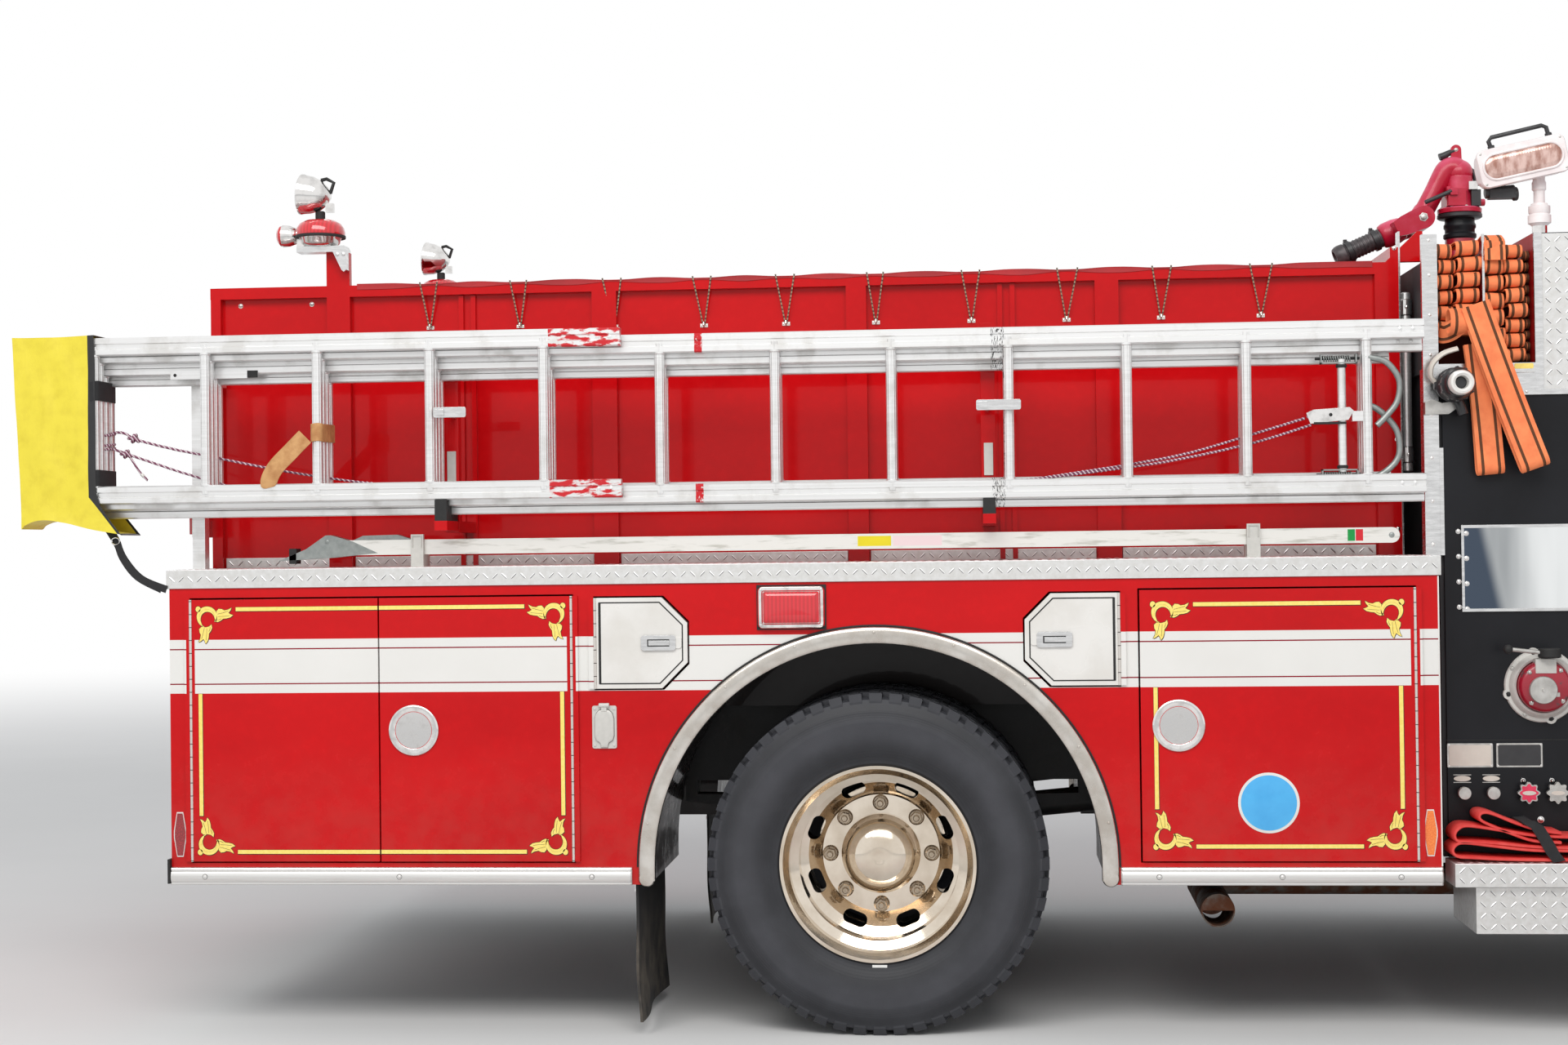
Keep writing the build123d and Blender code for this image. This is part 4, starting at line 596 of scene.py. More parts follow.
def scroll(shape, corner, right, up):
    """A gold scroll at a door corner, opening along right and up (each 1 or -1)."""
    face, black, gold = -door_face, shape.finishes[1], shape.finishes[0]

    def flat(outline, lift, thick=0.0002, nudge=(0.0, 0.0)):
        points = [
            (corner[0] + (right * a + nudge[0]) * 0.001, corner[1] + (up * b + nudge[1]) * 0.001)
            for a, b in outline
        ]
        shape.plate(points, face - lift, thick)

    downward = [(b, a) for a, b in leaf]
    for form in (crescent, leaf, downward, ball):
        flat(form, 0.0003)
        shape.use(black)
        flat(form, 0.0001, 0.0002, (1.8, -2.0))
        for da, db in ((1.1, 1.1), (-1.1, 1.1), (-1.1, -1.1)):
            flat(form, 0.0001, 0.0001, (da, db))
        shape.use(gold)
    shape.use(black)
    line = ring_line + [(a * 0.985 + 0.5, b * 0.985 + 0.5) for a, b in reversed(ring_line)]
    flat(line, 0.0005, 0.0001)
    for vein in veins:
        for swap in (False, True):
            run = [(b, a) for a, b in vein] if swap else list(vein)
            flat(run + [(a + 0.9, b + 0.9) for a, b in reversed(run)], 0.0005, 0.0001)
    shape.use(gold)


def gold_line(shape, start, end):
    """A gold line between two points of the door, shaded black below and behind."""
    (x0, z0), (x1, z1) = start, end
    half_width = 0.006
    wide, tall = (0, half_width) if abs(z0 - z1) < 1e-6 else (half_width, 0)
    x0, x1, z0, z1 = min(x0, x1) - wide, max(x0, x1) + wide, min(z0, z1) - tall, max(z0, z1) + tall
    gold, black = shape.finishes
    shape.use(gold).box((x0, -door_face - 0.0005, z0), (x1, -door_face - 0.0003, z1))
    shade_low, shade_high = (x0 - 0.0008, -door_face - 0.0003, z0 - 0.0022), (
        x1 + 0.0022, -door_face - 0.0001, z1 + 0.0008
    )
    shape.use(black).box(shade_low, shade_high)
    shape.use(gold)


reach = 0.122
for name, ((x0, x1), hinge) in side_doors.items():
    x0, x1 = at(x0), at(x1)
    body = name + "_right"
    hinge_x = x0 if hinge == "rear" else x1
    fender = name.startswith("fender")
    shape = Shape(white_paint if fender else red_paint).take(body)
    shape.made(name + "_pan", body, 0.0 if name in latches else 0.0015, [body], both=True)
    z0, z1 = fender_z if fender else locker_z
    shape = Shape(hinge_steel)
    shape.turned(((0, 0.0048), (z1 - z0, 0.0048)), (hinge_x, -door_face, z0), (0, 0, 1), 14)
    shape.made(name + "_hinge_pin", body, both=True)
    if fender:
        # Gasket round the white door, and the paddle latch in its bright cup
        cut, away = 0.078, 1 if hinge == "rear" else -1
        free, held = (x1, x0) if hinge == "rear" else (x0, x1)
        outline = [
            (held, z0), (held, z1), (free - away * cut, z1), (free, z1 - cut), (free, z0 + cut),
            (free - away * cut, z0),
        ]
        middle_x, middle_z = (x0 + x1) / 2, (z0 + z1) / 2
        shape, frame_rings = Shape(gasket), []
        for inset, lift in ((0.0130, 0.0001), (0.0130, 0.0006), (0.0168, 0.0006), (0.0168, 0.0001)):
            narrow, low = 1 - inset / (x1 - x0) * 2, 1 - inset / (z1 - z0) * 2
            frame_rings.append([
                (middle_x + (a - middle_x) * narrow, -door_face - lift, middle_z + (b - middle_z) * low)
                for a, b in outline
            ])
        shape.rings(frame_rings, closed=True)
        hinge_gap = sorted((held + away * 0.0110, held + away * 0.0185))
        shape.box(
            (hinge_gap[0], -door_face - 0.0007, z0 + 0.014),
            (hinge_gap[1], -door_face - 0.0001, z1 - 0.014)
        )
        shape.made(name + "_gasket", body, both=True)
        latch_x = free - away * 0.088
        shape = Shape(bright, gasket)
        slot = [
            (latch_x + a * 0.043 + 0.010 * math.cos(t), middle_z + b * 0.017 + 0.006 * math.sin(t))
            for a, b, turn in ((1, 1, 0), (-1, 1, 90), (-1, -1, 180), (1, -1, 270))
            for t in (math.radians(turn + d) for d in (0, 45, 90))
        ]
        shape.plate(slot, -door_face - 0.0042, 0.0025)
        shape.use(gasket).box(
            (latch_x - 0.034, -door_face - 0.0072, middle_z - 0.011),
            (latch_x + 0.034, -door_face - 0.0065, middle_z + 0.011)
        )
        shape.use(bright).box(
            (latch_x - 0.030, -door_face - 0.0105, middle_z - 0.0075),
            (latch_x + 0.034, -door_face - 0.0070, middle_z + 0.0075)
        )
        shape.made(name + "_paddle_latch", body, bevel=0.001, both=True)
        continue
    shape = Shape(gold_leaf, black_line)
    inset = 0.030 if name == "fore_door" else 0.016
    low_z, high_z = z0 + inset, z1 - inset
    left, right = x0 + inset, x1 - inset
    pairs = {"aft_door": (left,), "mid_door": (right,), "fore_door": (left, right)}[name]
    for edge in pairs:
        turn = 1 if edge == left else -1
        scroll(shape, (edge, high_z), turn, -1)
        scroll(shape, (edge, low_z), turn, 1)
        gold_line(shape, (edge + turn * 0.014, low_z + reach + 0.003), (edge + turn * 0.014, 1.0545))
    start = left + reach + 0.006 if left in pairs else x0
    end = right - reach - 0.006 if right in pairs else x1
    for line_z in (low_z + 0.014, high_z - 0.014):
        gold_line(shape, (start, line_z), (end, line_z))
    shape.made(name + "_gold_border", body, both=True)

# Locker latches: a pressed chrome pan let into the door, with a folding D handle across it.
chrome = Finish("chrome", "brushed", Metallic=1.0)
mist = chrome.noise(30, 5).above(0.6, 0.2)
chrome.worn(mist, (232, 230, 228), (190, 188, 186), 0.2, 0.08)
for name, (latch_x, latch_z) in latches.items():
    shape = Shape(chrome, gasket)
    pan = (
        (0.0045, 0.0775), (0.0062, 0.0760), (0.0070, 0.0720), (0.0058, 0.0660), (0.0062, 0.0600),
        (0.0048, 0.0570), (-0.0080, 0.0545), (-0.0140, 0.0480), (-0.0150, 0.0400),
        (-0.0120, 0.0385), (-0.0120, 0.0340), (-0.0155, 0.0320), (-0.0168, 0.0000),
    )
    shape.turned(pan, (latch_x, -door_face, latch_z), count=64)
    bar_y = -door_face - 0.004
    shape.box(
        (latch_x - 0.0605, bar_y, latch_z - 0.0078), (latch_x + 0.0605, bar_y + 0.021, latch_z + 0.0078)
    )
    lip = [
        (
            latch_x + 0.036 * math.cos(math.radians(a)), bar_y + 0.009,
            latch_z + 0.036 * math.sin(math.radians(a))
        )
        for a in range(180, 361, 12)
    ]
    shape.tube(lip, 0.0052, 10)
    shape.use(gasket).turned(
        ((0.0002, 0.030), (0.0008, 0.030)), (latch_x, -door_face + 0.0145, latch_z + 0.001), count=32
    )
    shape.made(name + "_latch", name + "_right", bevel=0.0012, both=True, smooth=40)

# Plain round badge and lozenge reflectors, stuck flat to the paint.
badge_blue = Finish("badge_blue", "white_paint", Coat_Weight=0.6, Coat_Roughness=0.1)
badge_blue.mottled(20, (52, 158, 224), (80, 188, 244), (40, 0.2, 0.3))
reflector_red = Finish("reflector_red", "lamp", Coat_Weight=1.0)
reflector_amber = Finish("reflector_amber", "lamp", Coat_Weight=1.0)
for lens, low, high in (
    (reflector_red, (120, 4, 16), (176, 16, 26)), (reflector_amber, (236, 104, 20), (255, 148, 48))
):
    prisms = lens.here.node(
        "TexVoronoi", {"distance": "CHEBYCHEV"}, {"Vector": lens.here, "Scale": 240.0}
    )
    lens.feed(Base_Color=prisms.above(0.5, 0.5).tint(low, high), Roughness=prisms * 0.3 + 0.1)
    lens.bump(prisms, 0.0006, 0.5)
shape = Shape(badge_blue, white_paint)
badge = (at(1.165), -door_face, 0.710)
shape.use(white_paint).turned(
    ((0.0001, 0.0900), (0.0007, 0.0900), (0.0009, 0.0890), (0.0009, 0.0)), badge, count=64
)
shape.use(badge_blue).turned(
    ((0.0008, 0.0820), (0.0013, 0.0820), (0.0015, 0.0810), (0.0015, 0.0)), badge, count=64
)
shape.made("fore_door_badge", "fore_door_right", both=True)
for name, lens, x in (
    ("aft_reflector", reflector_red, -2.154), ("fore_reflector", reflector_amber, 1.635)
):
    shape = Shape(lens, white_paint)
    for finish, grow, lift in ((white_paint, 1.0, 0.0012), (lens, 0.84, 0.0024)):
        lozenge = [(0.010, 0.069), (0.020, 0.010), (0.020, -0.010), (0.010, -0.069)]
        lozenge = lozenge + [(-a, b) for a, b in reversed(lozenge)]
        wide, tall = grow, 1 - (1 - grow) * 0.35
        points = [(at(x) + a * wide, 0.620 + b * tall) for a, b in lozenge]
        shape.use(finish).plate(points, -side_face, lift)
    shape.made(name, both=True)
# Bright trim: tread-plate ledges and kick strips, anodised rub rails on bolts, rolled
# stainless arches, and tread-plate steps, all riveted or bolted over the paint.
tread_plate = Finish("tread_plate", "bright_trim", Metallic=0.55, Specular_IOR_Level=0.6)
tarnish = tread_plate.noise(60, 6).above(0.5, 0.3)
# Lug slopes turned down carry painted shade, and slopes turned up a painted highlight; the plate's tone
# between them is real tarnish.
lug_painted_shade = tread_plate.up.within(-0.93, -0.10, 0.04)
lug_painted_light = tread_plate.up.within(0.10, 0.93, 0.04)
plate_tone = tarnish.tint((224, 224, 223), (206, 205, 202))
plate_tone = lug_painted_shade.tint(plate_tone, (128, 128, 128))
tread_plate.feed(
    Base_Color=lug_painted_light.tint(plate_tone, (248, 248, 248)),
    Roughness=tarnish * 0.12 + 0.30,
).bump(tread_plate.noise(420, 2), 0.0002, 0.4)
anodised = Finish("anodised_rail", "bright_trim", Metallic=1.0)
drawn = anodised.noise(30, 4, (0.15, 1, 6)).above(0.5, 0.35)
anodised.worn(drawn, (230, 230, 228), (214, 212, 210), 0.12, 0.3)


def bolt(shape, place, radius=0.0075, height=0.004, out=(0, -1, 0), count=12):
    """A domed bolt head on its washer, on the right side's face unless out says otherwise."""
    shape.turned(
        ((0, radius * 1.35), (height * 0.2, radius * 1.35), (height * 0.25, radius),
         (height * 0.7, radius * 0.86), (height, radius * 0.4), (height, 0)),
        place, out, count,
    )


ledge_x = (at(-2.190), at(1.676))
shape = Shape(tread_plate).take("body_trim", lambda low, high: high[2] > 1.43)
shape.made("ledge_plates", bevel=0.0012, nodes=["body_trim"])
shape = Shape(tread_plate)
shape.lugs((ledge_x[0] + 0.004, -1.2255, 1.382), (ledge_x[1] - 0.004, -1.2255, 1.435), (0, -1, 0))
shape.lugs((ledge_x[0] + 0.006, -1.222, 1.4375), (ledge_x[1] - 0.006, -0.824, 1.4375), (0, 0, 1))
posts = (
    (-2.181, -2.148), (-1.792, -1.715), (-0.918, -0.838), (-0.095, -0.030), (0.695, 0.770), (1.567, 1.641)
)
for before, after in zip(posts, posts[1:]):
    shape.lugs(
        (at(before[1]) + 0.006, -0.799, 1.4385), (at(after[0]) - 0.006, -0.799, 1.4700), (0, -1, 0)
    )
shape.made("ledge_tread", both=True)

shape = Shape(anodised, gasket)
rail_profile = [
    (0, 0.466), (0.012, 0.466), (0.0145, 0.469), (0.0145, 0.474), (0.0175, 0.477), (0.0195, 0.484),
    (0.0200, 0.492), (0.0195, 0.500), (0.0170, 0.506), (0.0145, 0.508), (0.0145, 0.512),
    (0.0165, 0.514), (0.0140, 0.5185), (0.010, 0.520), (0, 0.520),
]
for x0, x1, bolts in ((-2.182, -0.743, (-2.07, -1.46, -0.865)), (0.728, 1.668, (0.84, 1.20, 1.545))):
    rings = []
    for x, slope in ((x0, 0.004), (x0 + 0.004, 0.0), (x1 - 0.004, 0.0), (x1, 0.004)):
        rings.append([(at(x), -side_face - max(0.0, d - slope), z) for d, z in rail_profile])
    shape.use(anodised).rings(rings)
    for x in bolts:
        shape.use(gasket).turned(
            ((0, 0.0085), (0.0006, 0.0085)), (at(x), -side_face - 0.0196, 0.492), count=20
        )
        shape.use(anodised)
        bolt(shape, (at(x), -side_face - 0.0200, 0.492), 0.0055, 0.0035)
shape.made("rub_rails", both=True, smooth=24)

arch_steel = Finish("arch_stainless", "bright_trim", Metallic=1.0)
rub = arch_steel.noise(14, 6).above(0.48, 0.28)
arch_steel.worn(
    rub, (218, 214, 208), (186, 179, 170), 0.18, 0.14
).bump(arch_steel.noise(26, 3), 0.0012, 0.35)
shape = Shape(arch_steel, gasket)
arch_radius, arch_foot = 0.698, 0.478
half_turn = [math.pi * (1 - i / 72) for i in range(73)]
arch = [(arch_radius * math.cos(t), wheel_z + arch_radius * math.sin(t)) for t in half_turn]
arch_path = [(-arch_radius, arch_foot), *arch, (arch_radius, arch_foot)]
cross = (
    (-0.026, 0.0005), (-0.026, 0.0075), (-0.0235, 0.0115), (-0.018, 0.0135), (0.010, 0.0140),
    (0.020, 0.0125), (0.0245, 0.0085), (0.026, 0.0005),
)
rings = []
for i, (x, z) in enumerate(arch_path):
    away = Vector((x, z - wheel_z)).normalized() if 0 < i < len(arch_path) - 1 else Vector(
        (math.copysign(1, x), 0)
    )
    rings.append([(at(x + away.x * w), -side_face - d, z + away.y * w) for w, d in cross])
shape.rings(rings)
for x in (-arch_radius, arch_radius):
    shape.turned(
        ((0.0005, 0.0258), (0.0085, 0.0258), (0.0125, 0.0225), (0.0137, 0.016), (0.0137, 0)),
        (at(x), -side_face, 0.486), count=32
    )
for i in range(9):
    t = math.pi * (0.06 + 0.88 * i / 8)
    place = (at(0.706 * math.cos(t)), -side_face - 0.0136, wheel_z + 0.706 * math.sin(t))
    bolt(shape, place, 0.0042, 0.0022)
half_turn = [math.pi * i / 72 for i in range(73)]
piping = [
    (at(0.7262 * math.cos(t)), -side_face - 0.002, wheel_z + 0.7262 * math.sin(t)) for t in half_turn
]
shape.use(gasket).tube(piping, 0.0032, 8)
shape.made("wheel_arch_trim", both=True, smooth=40)

# Steps: running boards below the pump panels and the tailboard behind, boxed tread plate.

def is_step(low, high):
    """Whether a solid of the trim is a step: low, ahead of the body or behind it, and no rail."""
    return high[2] < 0.56 and (low[0] > -0.2 or high[0] < -3.5) and abs(low[2] - 0.466) > 0.01


shape = Shape(tread_plate).take("body_trim", is_step)
shape.made("step_boxes", bevel=0.002)
shape = Shape(tread_plate)
shape.lugs((at(1.706), -1.240, 0.466), (at(2.844), -1.240, 0.527), (0, -1, 0))
shape.lugs((at(1.769), -1.220, 0.326), (at(2.844), -1.220, 0.458), (0, -1, 0))
shape.lugs((at(1.706), -1.236, 0.531), (at(2.844), -1.103, 0.531), (0, 0, 1))
shape.made("running_board_tread", both=True)
shape = Shape(tread_plate).lugs((at(-2.178), -0.556, 0.545), (at(-1.856), 0.556, 0.545), (0, 0, 1))
shape.made("tailboard_tread")

# White edge strip at the body's front corner, and the rubber corner at its rear foot.
shape = Shape(white_paint, gasket)
shape.box((at(1.6650), -1.2215, 0.521), (at(1.6695), -1.2190, 1.378))
shape.use(gasket).box((at(-2.1895), -1.2380, 0.470), (at(-2.1815), -1.2050, 0.545))
shape.made("body_edge_strips", bevel=0.0008, both=True)

# Mud flaps: plain black rubber sheet hung from the arch's rear edge, curled by use.
flap_rubber = Finish("flap_rubber", "rubber", Roughness=0.8)
caked = flap_rubber.noise(9, 6).above(0.5, 0.2) * (1 - flap_rubber.z.above(0.30, 0.2))
flap_rubber.feed(Base_Color=caked.tint((30, 30, 32), (104, 96, 86)))
flap_rubber.bump(flap_rubber.noise(60, 4), 0.001, 0.5)


def sheet_faces(shape, front, back, wide):
    """A thin sheet between two grids of points, wide points to a row, its edges closed."""
    total, rows = len(front), len(front) // wide - 1
    quads = [
        (j * wide + i, j * wide + i + 1, (j + 1) * wide + i + 1, (j + 1) * wide + i)
        for j in range(rows) for i in range(wide - 1)
    ]
    edge = [i for i in range(wide)] + [j * wide + wide - 1 for j in range(1, rows + 1)]
    edge += [
        rows * wide + i for i in range(wide - 2, -1, -1)
    ] + [j * wide for j in range(rows - 1, 0, -1)]
    walls = [(a, b, b + total, a + total) for a, b in zip(edge, edge[1:] + edge[:1])]
    shape.faces(front + back, quads + [tuple(total + i for i in reversed(q)) for q in quads] + walls)


shape = Shape(flap_rubber, bright)
columns, levels = 12, 16
skins = []
for skin in (0.0, 0.008):
    points = []
    for j in range(levels + 1):
        z = 0.466 - 0.424 * j / levels
        for i in range(columns + 1):
            y = -1.190 + 0.580 * i / columns
            curl = 0.010 * (j / levels) ** 2 * math.sin(i * 0.55 + 0.6) + 0.004 * math.sin(j * 0.5)
            points.append((at(-0.738) + skin + curl * (j / levels), y, z))
    skins.append(points)
sheet_faces(shape, *skins, columns + 1)
shape.use(bright).box((at(-0.742), -1.185, 0.440), (at(-0.7385), -0.615, 0.466))
for i in range(4):
    bolt(shape, (at(-0.742), -1.15 + i * 0.165, 0.453), 0.007, 0.005, out=(-1, 0, 0))
shape.made("mud_flap", nodes=["mud_flaps"], both=True)

# Lamps of the body. Each marker is a red lens in a chromed box; the outlet has a grey cast
# cover; the tail lamps are round in rubber rings. A beacon and a spot lamp stand on each
# rear post.
red_lens = Finish("red_lens", "lamp", Coat_Weight=1.0, Coat_Roughness=0.05)
ribs = red_lens.x.waves(0.006)
red_lens.feed(
    Base_Color=(ribs * 160).tint((186, 6, 20), (222, 16, 38)),
    Roughness=red_lens.noise(40) * 0.15 + 0.08,
).bump(ribs, 0.0006, 0.4)
amber_lens = Finish("amber_lens", "lamp", Coat_Weight=1.0, Coat_Roughness=0.05)
amber_lens.mottled(60, (226, 110, 10), (255, 160, 40), (40, 0.2, 0.12))
clear_lens = Finish("clear_lens", "lamp", Coat_Weight=1.0, Coat_Roughness=0.04)
flute = clear_lens.y.waves(0.008)
clear_lens.feed(
    Base_Color=(flute * 120).tint((214, 216, 220), (246, 247, 250)),
    Roughness=clear_lens.noise(40) * 0.1 + 0.08
)
clear_lens.bump(flute, 0.003, 0.6)
cast_grey = Finish("cast_grey", "brushed", Metallic=0.2)
cast_grey.mottled(70, (190, 189, 184), (212, 210, 205), (40, 0.2, 0.4), 4)
cast_grey.bump(cast_grey.noise(500, 3), 0.0005, 0.6)


def rounded(x0, x1, z0, z1, radius, steps=4):
    """A rectangle's outline with rounded corners."""
    points = []
    for cx, cz, turn in (
        (x1 - radius, z1 - radius, 0), (x0 + radius, z1 - radius, 90), (x0 + radius, z0 + radius, 180),
        (x1 - radius, z0 + radius, 270)
    ):
        for i in range(steps + 1):
            t = math.radians(turn + 90 * i / steps)
            points.append((cx + radius * math.cos(t), cz + radius * math.sin(t)))
    return points


def framed(shape, box, depth, frame_width, radius, crown, frame_finish, lens_finish):
    """A raised frame on the right side with a crowned lens: box is (x0, x1, z0, z1)."""
    x0, x1, z0, z1 = box

    def stacked(steps, rounding):
        rings = []
        for inset, out in steps:
            corner = max(radius - inset * rounding, 0.002)
            outline = rounded(x0 + inset, x1 - inset, z0 + inset, z1 - inset, corner)
            rings.append([(x, -side_face - out, z) for x, z in outline])
        shape.rings(rings)

    shape.use(frame_finish)
    quarter = frame_width * 0.25
    stacked(
        ((0, 0), (0, depth * 0.7), (quarter, depth), (quarter * 3, depth), (frame_width, depth * 0.75)), 1
    )
    shape.use(lens_finish)
    lens = ((0, 0.70), (0.003, 0.9), (0.012, 1.0 + crown * 0.6), (0.026, 1.0 + crown))
    stacked([(frame_width + inset, depth * out) for inset, out in lens], 0.5)


shape = Shape(chrome, red_lens, gasket)
marker = (at(-0.350), at(-0.147), 1.240, 1.368)
shape.use(gasket).box(
    (marker[0] - 0.004, -side_face - 0.004, marker[2] - 0.004),
    (marker[1] + 0.004, -side_face + 0.001, marker[3] + 0.004)
)
framed(shape, marker, 0.022, 0.016, 0.014, 0.18, chrome, red_lens)
for x in (marker[0] + 0.010, marker[1] - 0.010):
    for z in (marker[2] + 0.010, marker[3] - 0.010):
        bolt(shape.use(chrome), (x, -side_face - 0.0218, z), 0.0035, 0.002)
shape.made("side_marker_lamp", nodes=["body_lamps"], both=True)

shape = Shape(cast_grey, gasket)
cover = (at(-0.861), at(-0.786), 0.880, 1.010)
shape.plate(rounded(*cover, 0.006), -side_face, 0.004)
middle, centre_z = (cover[0] + cover[1]) / 2, (cover[2] + cover[3]) / 2
lid_half = (
    (0.014, 0.052), (0.021, 0.046), (0.0255, 0.040), (0.0295, 0.026), (0.0295, -0.026),
    (0.0255, -0.040), (0.013, -0.048), (0.010, -0.062),
)
lid = list(lid_half) + [(-a, b) for a, b in reversed(lid_half)]
rings = []
for grow, lift in ((1.0, 0.004), (1.0, 0.0085), (0.93, 0.0105), (0.80, 0.0112)):
    rings.append(
        [(middle + a * grow, -side_face - lift, centre_z + b * (1 - (1 - grow) * 0.6)) for a, b in lid]
    )
shape.rings(rings)
shape.use(gasket).plate(
    [(middle + a * 1.035, centre_z + b * 1.02) for a, b in lid], -side_face - 0.0038, 0.0008
)
shape.use(cast_grey).rod(
    (middle - 0.016, -side_face - 0.008, cover[3] + 0.001),
    (middle + 0.016, -side_face - 0.008, cover[3] + 0.001), 0.0075, 20
)
shape.box(
    (middle - 0.008, -side_face - 0.0125, cover[3] - 0.016),
    (middle + 0.008, -side_face - 0.003, cover[3] - 0.002)
)
for x in (cover[0] + 0.008, cover[1] - 0.008):
    for z in (cover[2] + 0.009, cover[3] - 0.010):
        bolt(shape, (x, -side_face - 0.004, z), 0.0038, 0.0025)
shape.made("outlet_cover", bevel=0.0008, both=True)

rear_x = at(-2.182)
shape = Shape(gasket, red_lens, amber_lens, clear_lens, chrome)
for z, lens in ((1.100, red_lens), (1.220, amber_lens)):
    shape.use(gasket).turned(
        ((0, 0.070), (0.018, 0.070), (0.026, 0.064), (0.026, 0.054), (0.016, 0.052)), (rear_x, -0.880, z),
        (-1, 0, 0), 40
    )
    shape.use(lens).turned(
        ((0.016, 0.053), (0.022, 0.052), (0.028, 0.040), (0.0300, 0.018), (0.0303, 0)),
        (rear_x, -0.880, z), (-1, 0, 0), 40
    )
shape.use(chrome).box((rear_x - 0.012, -0.980, 1.540), (rear_x, -0.780, 1.660))
shape.use(red_lens).box((rear_x - 0.024, -0.970, 1.550), (rear_x - 0.010, -0.790, 1.650))
shape.made("tail_lamps", bevel=0.002, both=True)

# Beacon: red dome on a bright ring, chromed spot lamp on top, flasher behind, on a bracket
beacon = Vector((at(-1.808), -0.828, 0))
shape = Shape(bright, red_lens, chrome, clear_lens, gasket)
bracket = [
    (-1.880, 2.484), (-1.722, 2.484), (-1.716, 2.470), (-1.716, 2.405), (-1.724, 2.398), (-1.732, 2.405),
    (-1.760, 2.464), (-1.880, 2.464)
]
shape.use(bright).plate([(at(x), z) for x, z in bracket], -0.800, 0.056)
for x in (-1.745, -1.725):
    bolt(shape, (at(x), -0.856, 2.455), 0.006, 0.004)
shape.use(chrome).turned(
    ((0, 0.050), (0.010, 0.062), (0.026, 0.066), (0.034, 0.076)), beacon + Vector((0, 0, 2.484)),
    (0, 0, 1), 40
)
dome = (
    (0, 0.078), (0.004, 0.080), (0.014, 0.080), (0.028, 0.077), (0.042, 0.068), (0.052, 0.052),
    (0.056, 0.030), (0.057, 0)
)
shape.use(red_lens).turned(dome, beacon + Vector((0, 0, 2.516)), (0, 0, 1), 48)
shape.use(gasket).turned(
    ((0, 0.081), (0.004, 0.0815), (0.008, 0.081)), beacon + Vector((0, 0, 2.512)), (0, 0, 1), 48
)
shape.rod(beacon + Vector((0, 0, 2.566)), beacon + Vector((0, 0, 2.600)), 0.016)
lamp_at, aim = beacon + Vector((0.034, 0, 2.648)), Vector((-1, 0, 0.10))
bowl = (
    (0, 0.012), (0.010, 0.030), (0.030, 0.048), (0.060, 0.060), (0.085, 0.0635), (0.090, 0.066),
    (0.097, 0.066), (0.100, 0.062)
)
shape.use(chrome).turned(bowl, lamp_at, aim, 48)
shape.use(clear_lens).turned(
    ((0.094, 0.062), (0.100, 0.058), (0.106, 0.040), (0.109, 0.018), (0.110, 0)), lamp_at, aim, 48
)
shape.use(chrome).box(beacon + Vector((0.020, -0.010, 2.596)), beacon + Vector((0.045, 0.010, 2.625)))
shape.use(gasket).tube(
    [
        lamp_at + Vector((0.000, 0, 0.01)), lamp_at + Vector((0.012, 0, 0.045)),
        lamp_at + Vector((-0.012, 0, 0.058)), lamp_at + Vector((-0.03, 0, 0.054))
    ],
    0.006, 10
)
flasher = Vector((at(-1.880), -0.828, 2.522))
shape.use(chrome).turned(
    ((0, 0.014), (0.008, 0.026), (0.030, 0.034), (0.048, 0.036), (0.052, 0.036)), flasher, (-1, 0, 0), 32
)
shape.use(red_lens).turned(
    ((0.050, 0.034), (0.060, 0.033), (0.068, 0.024), (0.070, 0.010), (0.0705, 0)), flasher, (-1, 0, 0), 32
)
shape.use(chrome).box(flasher + Vector((-0.004, -0.012, -0.040)), flasher + Vector((0.020, 0.012, 0.010)))
shape.made("rear_beacon", both=True, smooth=40)
# Hose bed: folded steel sheet walls stiffened by outside posts and a turned flange, welded
# and painted red. A polished angle and a glossy gusset close the walls' front ends.
shape = Shape(red_paint, hinge_steel)
shape.take("hose_bed")
for x, z in ((-2.088, 2.300), (-1.849, 2.301)):
    bolt(shape.use(hinge_steel), (at(x), -0.795, z), 0.006, 0.003)
for x in (-1.350, -1.310, 0.395, 0.435):
    for side in (-1, 1):
        shape.use(red_paint).box(
            (at(x) - 0.008, side * 0.795, 1.440), (at(x) + 0.008, side * 0.8075, 2.318)
        )
shape.made("hose_bed_walls", bevel=0.003, nodes=["hose_bed"])
shape = Shape(bright, chrome)
shape.box((at(1.640), -0.822, 1.438), (at(1.6455), -0.780, 2.452))
shape.use(chrome)
for z in (1.52, 1.80, 2.10, 2.40):
    bolt(shape, (at(1.628), -0.8205, z), 0.005, 0.003)
shape.made("bed_corner_angle", bevel=0.0006, both=True)

# Hose bed cover: one sheet of red coated cloth laid over the hose load, its long hems drawn
# down over the flanges by ten pairs of shock cords on each side.
vinyl = Finish("cover_vinyl_red", "cover_vinyl", Coat_Weight=0.25, Coat_Roughness=0.3)
weave = vinyl.noise(900, 1)
crease = vinyl.noise(5, 5, (1, 2.2, 1)).above(0.5, 0.3)
vinyl.worn(
    crease, (150, 12, 20), (186, 24, 32), 0.15, 0.42
).bump(weave * 0.3 + vinyl.noise(30, 5), 0.0012, 0.5)
cover_span = (at(-1.690), at(1.560))
edge_y, edge_z, rise = 0.8235, 2.357, 0.044
columns, across_count = 130, 48
hook_xs = (-1.444, -1.160, -0.842, -0.560, -0.290, -0.010, 0.296, 0.610, 0.910, 1.215)


